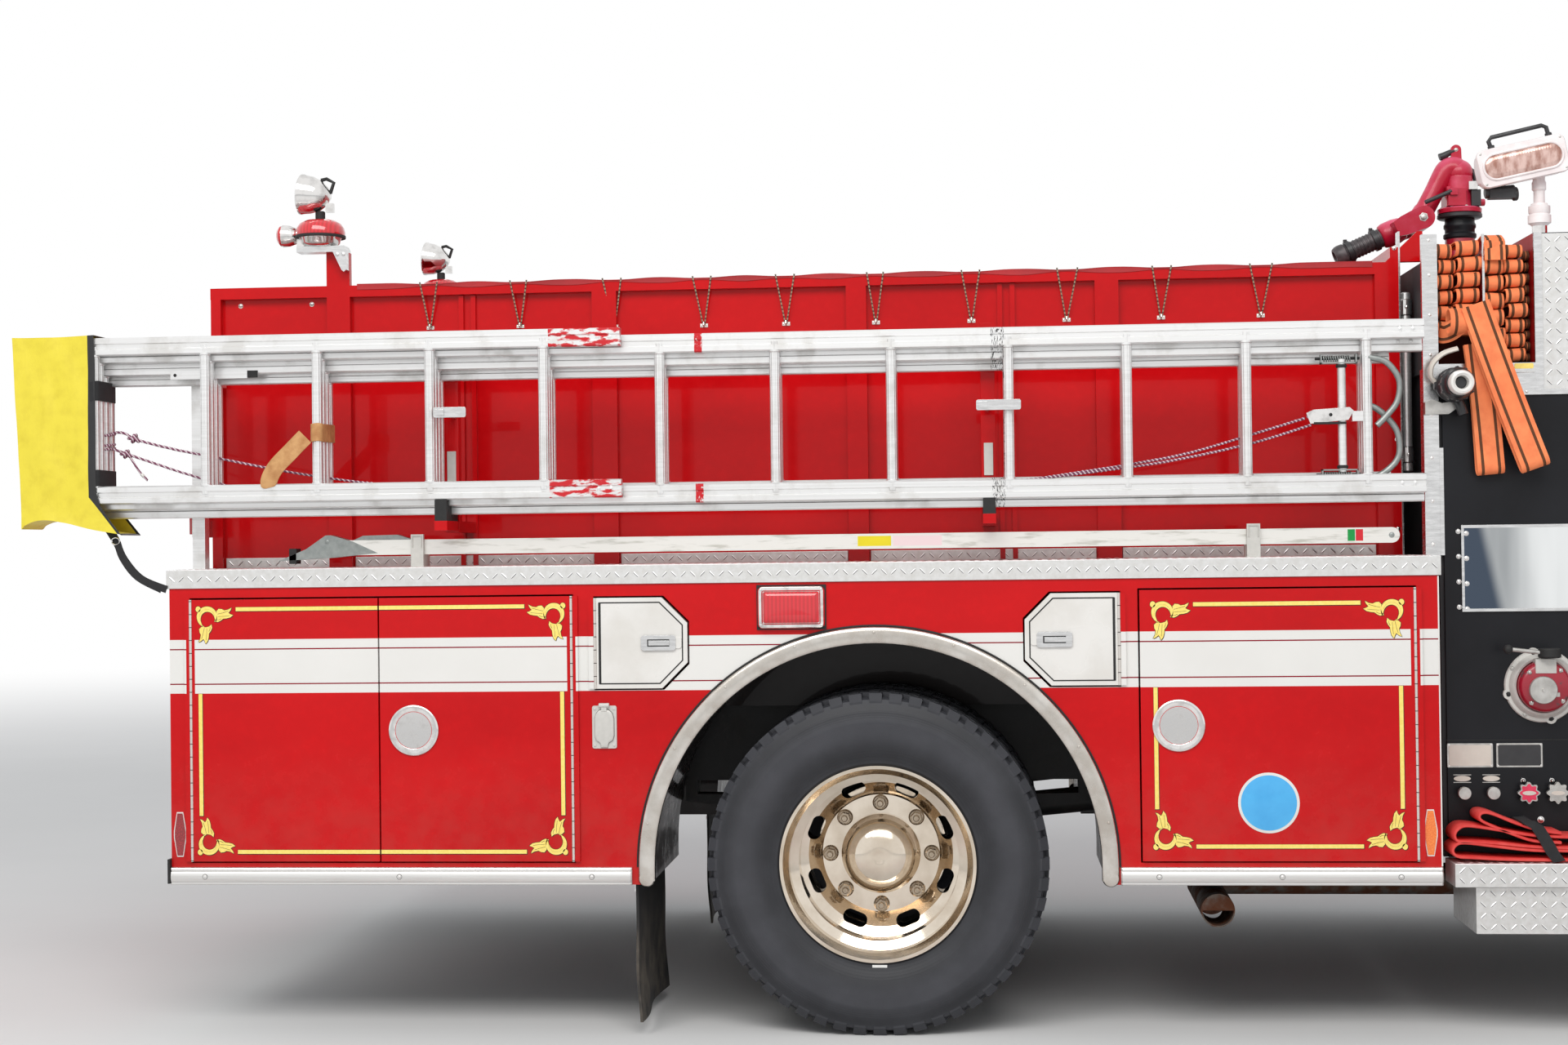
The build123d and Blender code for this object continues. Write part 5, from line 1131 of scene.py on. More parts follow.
def cover_height(x, y):
    """The cover's height over the bed: an arch with the hose load's lumps and pulled hems."""
    share = min(1.0, abs(y) / edge_y)
    lumps = noise.noise(
        Vector((x * 2.1, y * 2.6, 3.1))
    ) * 0.020 + noise.noise(Vector((x * 7, y * 9, 8.4))) * 0.006
    pull = min(abs(x - at(h)) for h in hook_xs)
    hem = 0.003 * math.cos(min(pull, 0.14) / 0.14 * math.pi)
    return edge_z + 0.0015 + rise * (
        1 - share ** 2.2
    ) + lumps * (1 - share ** 3) - 0.004 * (1 - share ** 3) - hem * share ** 8


top_points, low_points = [], []
for i in range(columns + 1):
    x = cover_span[0] + (cover_span[1] - cover_span[0]) * i / columns
    pull = min(abs(x - at(h)) for h in hook_xs)
    wave = 0.0035 * math.cos(
        min(pull, 0.14) / 0.14 * math.pi
    ) + 0.002 * noise.noise(Vector((x * 9, 0, 0)))
    drop = 0.010 - wave
    for j in range(across_count + 5):
        in_hem = j < 2 or j > across_count + 2
        if in_hem:
            side = -1 if j < 2 else 1
            level = (j if j < 2 else across_count + 4 - j)
            point = Vector((x, side * (edge_y - 0.0012), edge_z - drop + level * (drop - 0.001) * 0.5))
        else:
            y = -edge_y + 2 * edge_y * (j - 2) / across_count
            point = Vector((x, y, min(cover_height(x, y), 2.404)))
        top_points.append(point)
        inward = (0, -math.copysign(0.0016, point.y), 0) if in_hem else (0, 0, -0.0016)
        low_points.append(point + Vector(inward))
shape = Shape(vinyl)
sheet_faces(shape, top_points, low_points, across_count + 5)
cover = shape.made("bed_cover_cloth", nodes=["hose_bed_cover"], smooth=60)

# Shock cords: pairs of thin twisted cord from the hem down to small steel hooks on the wall.
cord_grey = Finish("shock_cord", "plastic", Roughness=0.7)
fleck = cord_grey.z.waves(0.006)
cord_grey.feed(Base_Color=fleck.above(0.0036, 0.0008).tint((176, 158, 132), (66, 58, 54)))


def twisted(shape, start, end, radius, pitch, steps=6):
    """Two strands laid round each other along a straight run."""
    start, run = Vector(start), Vector(end) - Vector(start)
    ahead = run.normalized()
    across = ahead.orthogonal().normalized()
    other = ahead.cross(across)
    count = max(8, int(run.length / pitch * steps))
    for strand in (0, math.pi):
        points = []
        for i in range(count + 1):
            turn = strand + 2 * math.pi * run.length / pitch * i / count
            points.append(
                start + run * (i / count) + (
                    across * math.cos(turn) + other * math.sin(turn)
                ) * radius * 0.85
            )
        shape.tube(points, radius, 5)


shape = Shape(cord_grey, hinge_steel)
for place, hook_z in zip(hook_xs, (2.217, 2.216, 2.209, 2.206, 2.206, 2.204, 2.203, 2.200, 2.201, 2.201)):
    lean = random.uniform(-0.010, 0.010)
    x = at(place) + lean
    shape.use(cord_grey)
    for side in (-1, 1):
        top = (x + side * random.uniform(0.026, 0.036), -0.8262, edge_z + 0.0045)
        twisted(shape, top, (x + side * 0.0035, -0.8035, hook_z + 0.006), 0.0016, 0.013)
    shape.tube(
        [
            (x + 0.0035, -0.8035, hook_z + 0.006), (x, -0.8045, hook_z - 0.001),
            (x - 0.0035, -0.8035, hook_z + 0.006)
        ],
        0.0026, 6
    )
    shape.use(hinge_steel).box(
        (x - 0.0125, -0.7975, hook_z - 0.007), (x + 0.0125, -0.795, hook_z + 0.005)
    )
    hook = [
        (x, -0.797, hook_z - 0.003), (x, -0.806, hook_z - 0.006), (x, -0.811, hook_z),
        (x, -0.808, hook_z + 0.008)
    ]
    shape.tube(hook, 0.0024, 8)
    for side in (-1, 1):
        bolt(shape, (x + side * 0.009, -0.7975, hook_z - 0.001), 0.0026, 0.0015, count=8)
shape.made("shock_cords", both=True)
# Ladders: a roof ladder and a short one hang outside the two-section extension ladder, all
# of bare extruded aluminium with fluted rungs swaged into grooved rails.
ladder_metal = Finish("ladder_extrusion", "ladder_aluminium", Metallic=0.85)
drawn = ladder_metal.noise(34, 5, (0.05, 1, 5)).above(0.5, 0.35)
handled = ladder_metal.noise(9, 7).above(0.60, 0.09)
face_out = (0 - ladder_metal.y).above(1.1645, 0.0008)
tip_worn = ladder_metal.noise(42, 6, (0.5, 1, 1.6)).above(0.50, 0.05)
tip = ladder_metal.x.within(at(-0.990), at(-0.760)) * face_out * tip_worn
tape = ladder_metal.x.within(at(-0.543), at(-0.519)) * (0 - ladder_metal.y).above(1.131, 0.0008)
tape = tape * ladder_metal.noise(70, 3, (2, 1, 1)).above(0.40, 0.05)
ink = ladder_metal.x.within(
    at(0.362), at(0.402)
) * ladder_metal.noise(130, 2, (3, 1, 0.6)).above(0.56, 0.03)
metal = drawn.tint((240, 240, 240), (220, 220, 219))
metal = handled.tint(metal, (210, 209, 207))
metal = tip.over(tape).tint(metal, (196, 14, 28))
ladder_metal.feed(
    Base_Color=ink.tint(metal, (28, 26, 30)),
    Roughness=drawn * 0.14 + handled * 0.12 + tip * 0.2 + 0.26,
    Metallic=(1 - tip.over(tape).over(ink)) * 0.85,
).bump(drawn * 0.6 + ladder_metal.noise(500, 2, (0.1, 1, 4)) * 0.4, 0.0002, 0.5)
rung_pitch, first_rung = 0.3556, at(-1.008) - 4 * 0.3556


def ladder(shape, rear, front, out, deep, low, high, rail, rungs):
    """Two grooved rails rounded at their edges, fluted rungs, and a riveted plug in each end."""
    soft, groove, into = 0.0035, (0.36, 0.64), 0.004
    for z in (low, high - rail):
        section = [
            (-out + soft, z), (deep - out - soft, z), (deep - out, z + soft),
            (deep - out, z + rail - soft),
            (deep - out - soft, z + rail), (-out + soft, z + rail), (-out, z + rail - soft),
            (-out, z + rail * groove[1] + 0.0015), (-out + into, z + rail * groove[1] - 0.0015),
            (-out + into, z + rail * groove[0] + 0.0015), (-out, z + rail * groove[0] - 0.0015),
            (-out, z + soft),
        ]
        shape.rings([[(x, y, h) for y, h in section] for x in (rear, front)])
        for x in (rear + 0.03, front - 0.032, front - 0.070):
            bolt(shape, (x, -out + into - 0.0002, z + rail / 2), 0.0055, 0.0028)
    for step in range(rungs):
        x, y = first_rung + step * rung_pitch, deep / 2 - out
        for z in (low + rail, high - rail):
            shape.turned(
                ((-0.003, 0.0185), (0.0025, 0.0185), (0.004, 0.0165)), (x, y, z),
                (0, 0, 1 if z < 1.9 else -1), 24
            )
        rings = []
        for z in (low + rail * 0.5, high - rail * 0.5):
            turns = [math.radians(7.5 * i) for i in range(48)]
            rings.append(
                [
                    (
                        x + (0.016 - (i % 4 > 1) * 0.0011) * math.cos(t),
                        y + (0.016 - (i % 4 > 1) * 0.0011) * math.sin(t), z
                    )
                    for i, t in enumerate(turns)
                ]
            )
        shape.rings(rings)


rear_end = at(-2.660)
shape = Shape(ladder_metal)
ladder(shape, rear_end, at(-0.768), 1.197, 0.030, 1.645, 2.165, 0.056, 5)
ladder(shape, rear_end, at(1.650), 1.162, 0.030, 1.626, 2.145, 0.058, 12)
shape.made("outer_ladder_sections", nodes=["outer_ladders"], smooth=28)
shape = Shape(ladder_metal)
ladder(shape, rear_end, at(1.650), 1.127, 0.037, 1.600, 2.112, 0.062, 12)
ladder(shape, rear_end, at(1.560), 1.085, 0.037, 1.636, 2.076, 0.056, 12)
shape.made("extension_ladder_sections", nodes=["extension_ladder"], smooth=28)

# Ladder fittings: roof hooks of grey steel rod turned in on sprung brackets along one tube,
# the halyard's pulley, and a bright latch bar near the rear.
hook_steel = Finish("hook_steel", "steel", Metallic=0.7)
hook_steel.mottled(60, (120, 126, 124), (168, 172, 170), (90, 0.25, 0.3), 4)
shape = Shape(hook_steel, ladder_metal, gasket, chrome)
first_hook = [
    (1.478, 2.034), (1.502, 2.030), (1.538, 2.018), (1.569, 1.981), (1.578, 1.944), (1.568, 1.896),
    (1.536, 1.855), (1.509, 1.828)
]
second_hook = [
    (1.484, 1.892), (1.511, 1.881), (1.540, 1.856), (1.571, 1.813), (1.579, 1.760), (1.569, 1.723),
    (1.538, 1.692), (1.506, 1.675), (1.480, 1.671)
]


def smooth_line(points, steps=5):
    """Points along a smooth curve through the given ones."""
    points, line = [Vector(p) for p in points], []
    for i in range(len(points) - 1):
        a, b = points[max(i - 1, 0)], points[i]
        c, d = points[i + 1], points[min(i + 2, len(points) - 1)]
        for j in range(steps):
            t = j / steps
            line.append(
                0.5 * (
                    2 * b + (c - a) * t + (
                        2 * a - 5 * b + 4 * c - d
                    ) * t ** 2 + (3 * b - a - 3 * c + d) * t ** 3
                )
            )
    return line + [points[-1]]


for route, y in ((first_hook, -1.1525), (second_hook, -1.1295)):
    shape.tube(smooth_line([(at(x), y, z) for x, z in route]), 0.0095, 14)
shape.use(ladder_metal).rod((at(1.4075), -1.147, 1.690), (at(1.4075), -1.147, 2.030), 0.0125, 20)
for z, up in ((2.003, 1), (1.711, -1)):
    shape.use(gasket).rod((at(1.4075), -1.147, z), (at(1.4075), -1.147, z + up * 0.010), 0.0165, 20)
    bed, top = z + up * 0.012, z + up * 0.040
    shape.use(hook_steel).box(
        (at(1.345), -1.160, min(bed, bed + up * 0.004)), (at(1.452), -1.134, max(bed, bed + up * 0.004))
    )
    for x in (1.345, 1.448):
        shape.box((at(x), -1.160, min(bed, top)), (at(x) + 0.004, -1.134, max(bed, top)))
    middle = z + up * 0.028
    shape.use(gasket).rod((at(1.330), -1.147, middle), (at(1.462), -1.147, middle), 0.0045, 10)
    coil = [
        (
            at(1.352) + 0.082 * i / 120, -1.147 + 0.0085 * math.cos(i * 0.62),
            middle + 0.0085 * math.sin(i * 0.62)
        )
        for i in range(121)
    ]
    shape.use(hook_steel).tube(coil, 0.0018, 6)
block_side = [
    (1.300, 1.868), (1.312, 1.836), (1.424, 1.846), (1.440, 1.873), (1.428, 1.884), (1.322, 1.878)
]
shape.use(chrome).plate([(at(x), z) for x, z in block_side], -1.140, 0.024)
shape.use(gasket).box((at(1.322), -1.1405, 1.8340), (at(1.418), -1.1645, 1.8405))
shape.use(ladder_metal).box((at(1.436), -1.160, 1.842), (at(1.468), -1.136, 1.872))
bolt(shape.use(gasket), (at(1.372), -1.1640, 1.862), 0.004, 0.002)
shape.use(ladder_metal).box((at(-2.205), -1.1306, 2.036), (at(-1.958), -1.1272, 2.062))
bolt(shape.use(gasket), (at(-2.190), -1.1306, 2.049), 0.004, 0.002)
shape.box((at(-1.957), -1.1306, 2.038), (at(-1.925), -1.1272, 2.060))
shape.made("roof_hook_fittings", bevel=0.0006, nodes=["outer_ladders"], smooth=40)

# Halyard: purple and white braided rope, tied round the rear rungs and led to the pulley.
halyard = Finish("halyard_braid", "hose_fabric", Roughness=0.85)
lay = (halyard.x + halyard.z * 0.9 + halyard.y * 0.8).waves(0.007)
halyard.feed(Base_Color=lay.above(0.0044, 0.0012).tint((126, 70, 96), (222, 206, 212)))
halyard.bump(halyard.noise(700, 2), 0.0006, 0.7)
rope_y = -1.0875
upper = [
    (-2.432, 1.862), (-2.404, 1.874), (-2.372, 1.872), (-2.334, 1.852), (-2.240, 1.826), (-2.122, 1.800),
    (-1.773, 1.730), (-1.416, 1.687), (-0.900, 1.668), (-0.200, 1.664), (0.374, 1.677), (0.757, 1.714),
    (0.953, 1.743), (1.161, 1.787), (1.330, 1.838),
]
lower = [
    (-2.440, 1.833), (-2.379, 1.812), (-2.300, 1.784), (-2.141, 1.731), (-1.980, 1.690), (-1.700, 1.668)
]
return_run = [(0.400, 1.672), (0.757, 1.722), (0.953, 1.756), (1.161, 1.814), (1.310, 1.858)]
tail = [(-2.362, 1.808), (-2.346, 1.784), (-2.324, 1.750), (-2.298, 1.722)]
shape = Shape(halyard, white_paint)
radius = 0.0042
for route in (upper, lower, return_run, tail):
    line = smooth_line([(at(x), rope_y, z) for x, z in route], 8)
    for strand in range(3):
        wound, turn = [], strand * 2.0944
        for i in range(len(line) - 1):
            for j in range(3):
                point = line[i].lerp(line[i + 1], j / 3)
                turn += (line[i + 1] - line[i]).length / 3 / 0.024 * 6.2832
                wound.append(point + Vector((0, math.cos(turn), math.sin(turn))) * radius * 0.5)
        shape.tube(wound, radius * 0.62, 6)
for centre, size in (((-2.340, 1.855), 0.013), ((-2.366, 1.806), 0.012)):
    for k in range(3):
        loop = []
        for t in circle(12):
            across = Vector(
                (math.cos(t) * math.cos(k * 1.1), math.sin(t) * 0.8, math.cos(t) * math.sin(k * 1.1))
            )
            loop.append(Vector((at(centre[0]) + (k - 1) * 0.006, rope_y, centre[1])) + across * size)
        shape.tube(loop, 0.0046, 8, closed=True)
for z in (1.868, 1.836, 1.824):
    ring = [
        (first_rung + 0.021 * math.cos(t), -1.0875 + 0.043 * math.sin(t), z + 0.004 * math.sin(t))
        for t in circle(20)
    ]
    shape.tube(ring, 0.0042, 8, closed=True)
shape.use(white_paint).rod((at(-2.318), rope_y, 1.742), (at(-2.309), rope_y, 1.733), 0.0056, 10)
shape.made("halyard_rope", smooth=60)

# Straps: a tan leather strap and black webbing bands wrapped round the nested rungs.
leather = Finish("strap_leather", "bag_vinyl", Roughness=0.7)
worn = leather.noise(24, 6).above(0.52, 0.2)
leather.worn(worn, (206, 158, 104), (172, 118, 70), 0.15, 0.6)
leather.bump(leather.noise(380, 4), 0.0008, 0.6)
webbing = Finish("black_webbing", "cover_vinyl", Roughness=0.85)
rib = webbing.z.waves(0.0012)
webbing.feed(Base_Color=webbing.noise(30, 4).tint((20, 20, 22), (44, 44, 46)))
webbing.bump(rib, 0.0006, 0.8)


def wrapped(shape, x, z0, z1, thick=0.0025):
    """A band round the four nested rungs at x, its corners rounded."""
    path = rounded(x - 0.0185, x + 0.0185, -1.2005, -1.0475, 0.016, 5)
    rings = []
    for px, py in path:
        outward = Vector((px - x, py + 1.124, 0)).normalized() * thick
        sag = 0.002 * math.sin(py * 40 + px * 90)
        low, high = z0 + sag, z1 + sag
        rings.append(
            [
                (px, py, low), (px + outward.x, py + outward.y, low + 0.0008),
                (px + outward.x, py + outward.y, high - 0.0008), (px, py, high)
            ]
        )
    shape.rings(rings, closed=True)


def strap(shape, route, halves, thick, drop=0.0):
    """A flat strap along a route, its half width given at each point."""
    rings, front = [], Vector((0, -thick, 0))
    for i, point in enumerate(route):
        run = (route[min(i + 1, len(route) - 1)] - route[max(i - 1, 0)]).normalized()
        beside = run.cross(Vector((0, 1, 0))).normalized() * halves[i]
        middle = Vector((at(point.x), point.y, point.z - drop))
        rings.append([middle - beside, middle + beside, middle + beside + front, middle - beside + front])
    shape.rings(rings)


shape = Shape(leather)
wrapped(shape, first_rung + 2 * rung_pitch, 1.830, 1.886, 0.0035)
hang = smooth_line(
    [
        (-1.752, -1.2015, 1.846), (-1.772, -1.203, 1.826), (-1.800, -1.2035, 1.798),
        (-1.846, -1.202, 1.752), (-1.868, -1.1995, 1.712), (-1.866, -1.196, 1.690)
    ],
    6
)
# The loose end is rounded over its last four points
halves = [0.0265 * min(1.0, (left / 4) ** 0.5) for left in range(len(hang), 0, -1)]
strap(shape, hang, halves, 0.0035)
shape.made("leather_strap", bevel=0.0008)
shape = Shape(webbing, chrome)
wrapped(shape, first_rung, 1.968, 2.030)
wrapped(shape, first_rung, 1.700, 1.752)
for side in (0, 0.006):
    route = smooth_line(
        [
            (-2.420, -1.150, 1.600), (-2.372, -1.165, 1.535), (-2.345 + side, -1.180, 1.478),
            (-2.290 + side * 2, -1.200, 1.418), (-2.205 + side * 3, -1.222 - side, 1.378 + side)
        ],
        5
    )
    strap(shape.use(webbing), route, [0.0115] * len(route), 0.0022, side)
shape.use(chrome).tube(
    [(at(-2.372) + 0.013 * math.cos(t), -1.1685, 1.530 + 0.011 * math.sin(t)) for t in circle(12)],
    0.0026, 6, closed=True
)
shape.made("webbing_straps", bevel=0.0005)

# Ladder rack: red posts with padded arms under the rails, and bright screw clamps in front.
shape = Shape(red_paint, gasket, bright, cast_grey)
for i, post in enumerate((at(-1.330), at(0.352))):
    shape.use(red_paint).box((post - 0.022, -1.042, 1.544), (post + 0.022, -1.002, 2.170))
    shape.box((post - 0.022, -1.004, 1.544), (post + 0.022, -0.795, 1.580))
    shape.box((post - 0.022, -1.004, 2.110), (post + 0.022, -0.795, 2.146))
    reach = -1.198 if i == 0 else -1.163
    shape.box((post - 0.020, reach, 1.550), (post + 0.020, -1.002, 1.580))
    for out, deep, low, whole in (
        (1.197, 0.030, 1.645, False), (1.162, 0.030, 1.626, True), (1.127, 0.037, 1.600, True),
        (1.085, 0.037, 1.636, True)
    ):
        if whole or i == 0:
            shape.use(gasket).box((post - 0.019, -out, 1.578), (post + 0.019, deep - out, low - 0.0004))
    shape.use(gasket).box((post - 0.016, -1.0465, 2.080), (post + 0.016, -1.0415, 2.125))
    shape.use(cast_grey).box((post - 0.014, -1.0465, 1.700), (post + 0.014, -1.0415, 1.800))
for stem, plate_x, z, out in (
    ((-1.338, -1.300), (-1.347, -1.245), (1.897, 1.929), 1.201),
    ((0.330, 0.368), (0.316, 0.451), (1.893, 1.925), 1.166)
):
    shape.use(bright).rod(
        (at(sum(stem) / 2), -out, sum(z) / 2), (at(sum(stem) / 2), -1.040, sum(z) / 2), 0.011, 16
    )
    outline = rounded(at(plate_x[0]), at(plate_x[1]), z[0], z[1], 0.006)
    shape.plate(outline, -out, 0.010)
    shape.box(
        (at(plate_x[0]) + 0.006, -out - 0.017, z[0] + 0.006),
        (at(plate_x[0]) + 0.034, -out - 0.009, z[1] - 0.006)
    )
for x in (at(-1.431), at(1.148)):
    shape.use(cast_grey).box((x - 0.020, -1.094, 1.4375), (x + 0.020, -1.0805, 1.540))
    shape.box((x - 0.020, -1.081, 1.4375), (x + 0.020, -1.010, 1.4765))
    shape.tube(
        [
            (x - 0.014, -1.0955, 1.500), (x - 0.014, -1.0955, 1.534), (x + 0.014, -1.0955, 1.534),
            (x + 0.014, -1.0955, 1.500)
        ],
        0.0022, 6
    )
shape.made("ladder_rack_frames", bevel=0.0012, nodes=["ladder_rack"], smooth=40)
shape = Shape(ladder_metal, chrome)
shape.box((at(-2.170), -1.040, 1.4375), (at(-2.130), -1.000, 2.070))
shape.box((at(-2.170), -1.000, 2.030), (at(-2.130), -0.820, 2.070))
grab = (at(1.665), -0.796)
shape.rod((*grab, 1.700), (*grab, 2.262), 0.0155, 24)
for z in (1.752, 2.215):
    shape.use(chrome).rod((*grab, z - 0.026), (*grab, z + 0.026), 0.0205, 24)
    shape.box((at(1.640), grab[1] - 0.017, z - 0.022), (grab[0], grab[1] + 0.017, z + 0.022))
    bolt(shape, (grab[0], grab[1] - 0.0200, z), 0.005, 0.003)
shape.made("rear_post_and_grab_rail", bevel=0.001, nodes=["ladder_rack"], smooth=40)

# Attic ladder: folded to one closed aluminium bar with rubber feet, and blank coloured labels.
bar_metal = Finish("attic_ladder_bar", "ladder_aluminium", Metallic=0.35)
label = bar_metal.x.within(at(-0.053), at(0.050)) * bar_metal.z.within(1.486, 1.517)
pink = bar_metal.x.within(at(0.056), at(0.206)) * bar_metal.z.within(1.486, 1.517)
green = bar_metal.x.within(at(1.430), at(1.452)) * bar_metal.z.within(1.484, 1.519)
ruby = bar_metal.x.within(at(1.454), at(1.476)) * bar_metal.z.within(1.484, 1.519)
rubbed = bar_metal.noise(26, 6, (0.3, 1, 2)).above(0.6, 0.1)
tone = rubbed.tint((232, 230, 225), (190, 188, 180))
tone = label.tint(tone, (232, 214, 40))
tone = pink.tint(tone, (238, 214, 216))
tone = green.tint(tone, (24, 150, 70))
bar_metal.feed(Base_Color=ruby.tint(tone, (214, 40, 52)), Roughness=rubbed * 0.2 + 0.32)
bar_metal.bump(bar_metal.noise(400, 2, (0.1, 1, 3)), 0.0002, 0.5)
shape = Shape(bar_metal, hook_steel, gasket)
x0, x1, z0, z1 = at(-1.700), at(1.585), 1.477, 1.524
shape.plate(rounded(x0, x1, z0, z1, 0.0234, 10), -1.028, 0.0505)
shape.use(hook_steel)
bolt(shape, (x1 - 0.024, -1.0785, 1.5005), 0.0065, 0.0015)
foot = [
    (-1.880, 1.461), (-1.790, 1.498), (-1.728, 1.540), (-1.712, 1.541), (-1.640, 1.520), (-1.560, 1.483),
    (-1.620, 1.478), (-1.700, 1.470)
]
shape.plate([(at(x), z) for x, z in foot], -1.036, 0.0435)
bolt(shape, (at(-1.722), -1.0795, 1.520), 0.007, 0.002)
second_foot = [(-1.640, 1.524), (-1.610, 1.538), (-1.500, 1.540), (-1.450, 1.524)]
shape.plate([(at(x), z) for x, z in second_foot], -1.036, 0.034)
shape.use(gasket).box((at(-1.845), -1.0795, 1.452), (at(-1.822), -1.030, 1.500))
shape.made("attic_ladder_bar", bevel=0.0015, nodes=["attic_ladder"], smooth=40)

# Ladder bag: a yellow coated cloth hood pulled over the rear ends of the ladders, slack in
# front, its mouth bound with black webbing.
bag_cloth = Finish("bag_yellow", "bag_vinyl", Coat_Weight=0.15, Coat_Roughness=0.4)
swing = (1.668 - bag_cloth.z).over(0.0) * 0.8
bound = (bag_cloth.x - swing).above(at(-2.444), 0.0006)
dirt = bag_cloth.noise(24, 7).above(0.62, 0.25)
yellow = dirt.tint((232, 214, 58), (216, 196, 46))
bag_cloth.feed(
    Base_Color=bound.tint(yellow, (22, 22, 24)),
    Roughness=dirt * 0.15 + 0.42,
).bump(bag_cloth.noise(800, 2) * 0.2 + bag_cloth.noise(16, 4, (1.5, 1, 0.7)), 0.004, 0.5)
low_y, high_y = -1.2070, -1.0380
x_rear, x_front = at(-2.686), at(-2.424)
squeeze = 0.0045
rows, turns_count = 26, 64
outer, inner_skin = [], []
for i in range(rows + 1):
    share = i / rows
    for j in range(turns_count):
        t = j / turns_count * 4
        corner, along = int(t), t % 1
        top = 2.1740 - 0.004 * (1 - share) - 0.010 * share * (1 - share)
        bottom = 1.5725 + 0.030 * share ** 0.5 * (1 - share) * 2
        bottom += 0.006 * math.sin(share * 6)
        x = x_rear + (x_front - x_rear) * share
        y, z = (
            (low_y + (high_y - low_y) * along, bottom), (high_y, bottom + (top - bottom) * along),
            (high_y + (low_y - high_y) * along, top), (low_y, top + (bottom - top) * along),
        )[corner]
        middle = Vector((x, (low_y + high_y) / 2, (top + bottom) / 2))
        point = Vector((x, y, z))
        fold = noise.noise(
            Vector((x * 14, z * 7, corner * 3.7))
        ) * 0.0045 + noise.noise(Vector((x * 30, z * 22, 5))) * 0.0018
        crease = 0.004 * math.sin((z + x * 1.4) * 32) * math.sin(math.pi * share)
        out = Vector((0, (0, 1, 0, -1)[corner], 0))
        point = point - out * squeeze + out * (fold + crease * 0.5)
        if corner in (0, 2):
            point.z += (fold * 0.8) * (1 if corner == 0 else -1)
        # The rear edge leans in towards the foot, and the slack lower front corner swings forward
        drop = (2.174 - z) / 0.6
        slack = max(0.0, (1.668 - z) / 0.096)
        point.x = min(point.x + 0.016 * drop * share, at(-2.4205))
        point.x += 0.026 * drop * (1 - share) ** 2 + 0.080 * share * slack ** 1.3
        point.z -= 0.022 * slack * share
        outer.append(point)
        inner_skin.append(point + (middle - point).normalized() * 0.0018)
quads = [
    (
        i * turns_count + j, i * turns_count + (j + 1) % turns_count,
        (i + 1) * turns_count + (j + 1) % turns_count, (i + 1) * turns_count + j
    )
    for i in range(rows)
    for j in range(turns_count)
]
total = len(outer)
mouth = rows * turns_count
rim = [
    (mouth + j, mouth + (j + 1) % turns_count, mouth + total + (j + 1) % turns_count, mouth + total + j)
    for j in range(turns_count)
]
ends = [tuple(reversed(range(turns_count))), tuple(range(total, total + turns_count))]
shape = Shape(bag_cloth)
shape.faces(
    outer + inner_skin, quads + [tuple(total + i for i in reversed(q)) for q in quads] + rim + ends
)
bag = shape.made("ladder_bag", nodes=["ladder_cover"], smooth=70)
# Pump house: a steel box painted black outside, its crosslay tray red within, the deck
# covered with bare aluminium sheet.
house_paint = Finish("pump_house_paint", "panel_black", Specular_IOR_Level=0.3)
tray = house_paint.x.within(at(1.6905), at(1.9995)) * house_paint.z.above(2.0135)
deck = house_paint.up.above(0.9, 0.05) * house_paint.z.above(2.40)
dusty = house_paint.noise(5, 7).above(0.45, 0.3)
paint = dusty.tint((26, 26, 28), (48, 48, 51))
paint = tray.tint(paint, (168, 12, 18))
house_paint.feed(
    Base_Color=deck.tint(paint, (190, 192, 194)), Roughness=dusty * 0.15 + 0.36, Metallic=deck * 0.7
)
house_paint.on("pump_house")
panel_black = Finish("panel_black", "panel_black", Specular_IOR_Level=0.2)
rubbed = panel_black.noise(4, 7).above(0.45, 0.35)
panel_black.worn(rubbed, (20, 20, 23), (30, 31, 35), 0.14, 0.3)
panel_black.bump(panel_black.noise(300, 3), 0.0002, 0.4)
panel_black.on("pump_panels")

# Trim round the panels: bright corner strips, the tray's sill and divider, and a sheet of
# tread plate beside the tray, all riveted on.
shape = Shape(bright, tread_plate, gold_leaf, chrome, red_paint)
out, ledge_top = -1.105, 1.4375
shape.use(bright)
shape.box((at(1.656), out, ledge_top), (at(1.700), -1.055, 1.998))
shape.box((at(1.6995), out, ledge_top), (at(1.712), -1.0972, 1.760))
shape.box((at(1.656), out, 1.998), (at(1.702), -1.085, 2.403))
shape.box((at(2.838), out, 0.531), (at(2.850), -1.085, 2.403))
shape.box((at(1.7005), -1.1035, 1.9155), (at(2.838), -1.0852, 1.932))
shape.box((at(1.7005), -1.1005, 1.9325), (at(1.988), -1.0852, 2.012))
shape.box((at(1.9885), -1.0950, 1.9325), (at(2.012), -1.0852, 2.403))
shape.box((at(1.8375), -1.0905, 2.190), (at(1.8445), -1.080, 2.4025))
for z in (1.47, 1.60, 1.73, 1.86, 2.04, 2.16, 2.28, 2.385):
    bolt(shape.use(chrome), (at(1.678), out, z), 0.0045, 0.0018)
for x in (1.73, 1.80, 1.96):
    bolt(shape, (at(x), -1.1035, 1.924), 0.0035, 0.0015)
shape.use(gold_leaf).plate(rounded(at(1.925), at(1.981), 1.994, 2.010, 0.004), -1.1005, 0.0012)
shape.use(chrome).tube(
    [(at(x), -1.1015, z) for x, z in ((1.900, 2.006), (1.904, 1.990), (1.922, 1.984), (1.984, 1.984))],
    0.0022, 8
)
shape.use(tread_plate)
shape.box((at(2.0125), -1.089, 1.933), (at(2.838), -1.0852, 2.400))
shape.lugs((at(2.016), -1.089, 1.937), (at(2.836), -1.089, 2.398), (0, -1, 0))
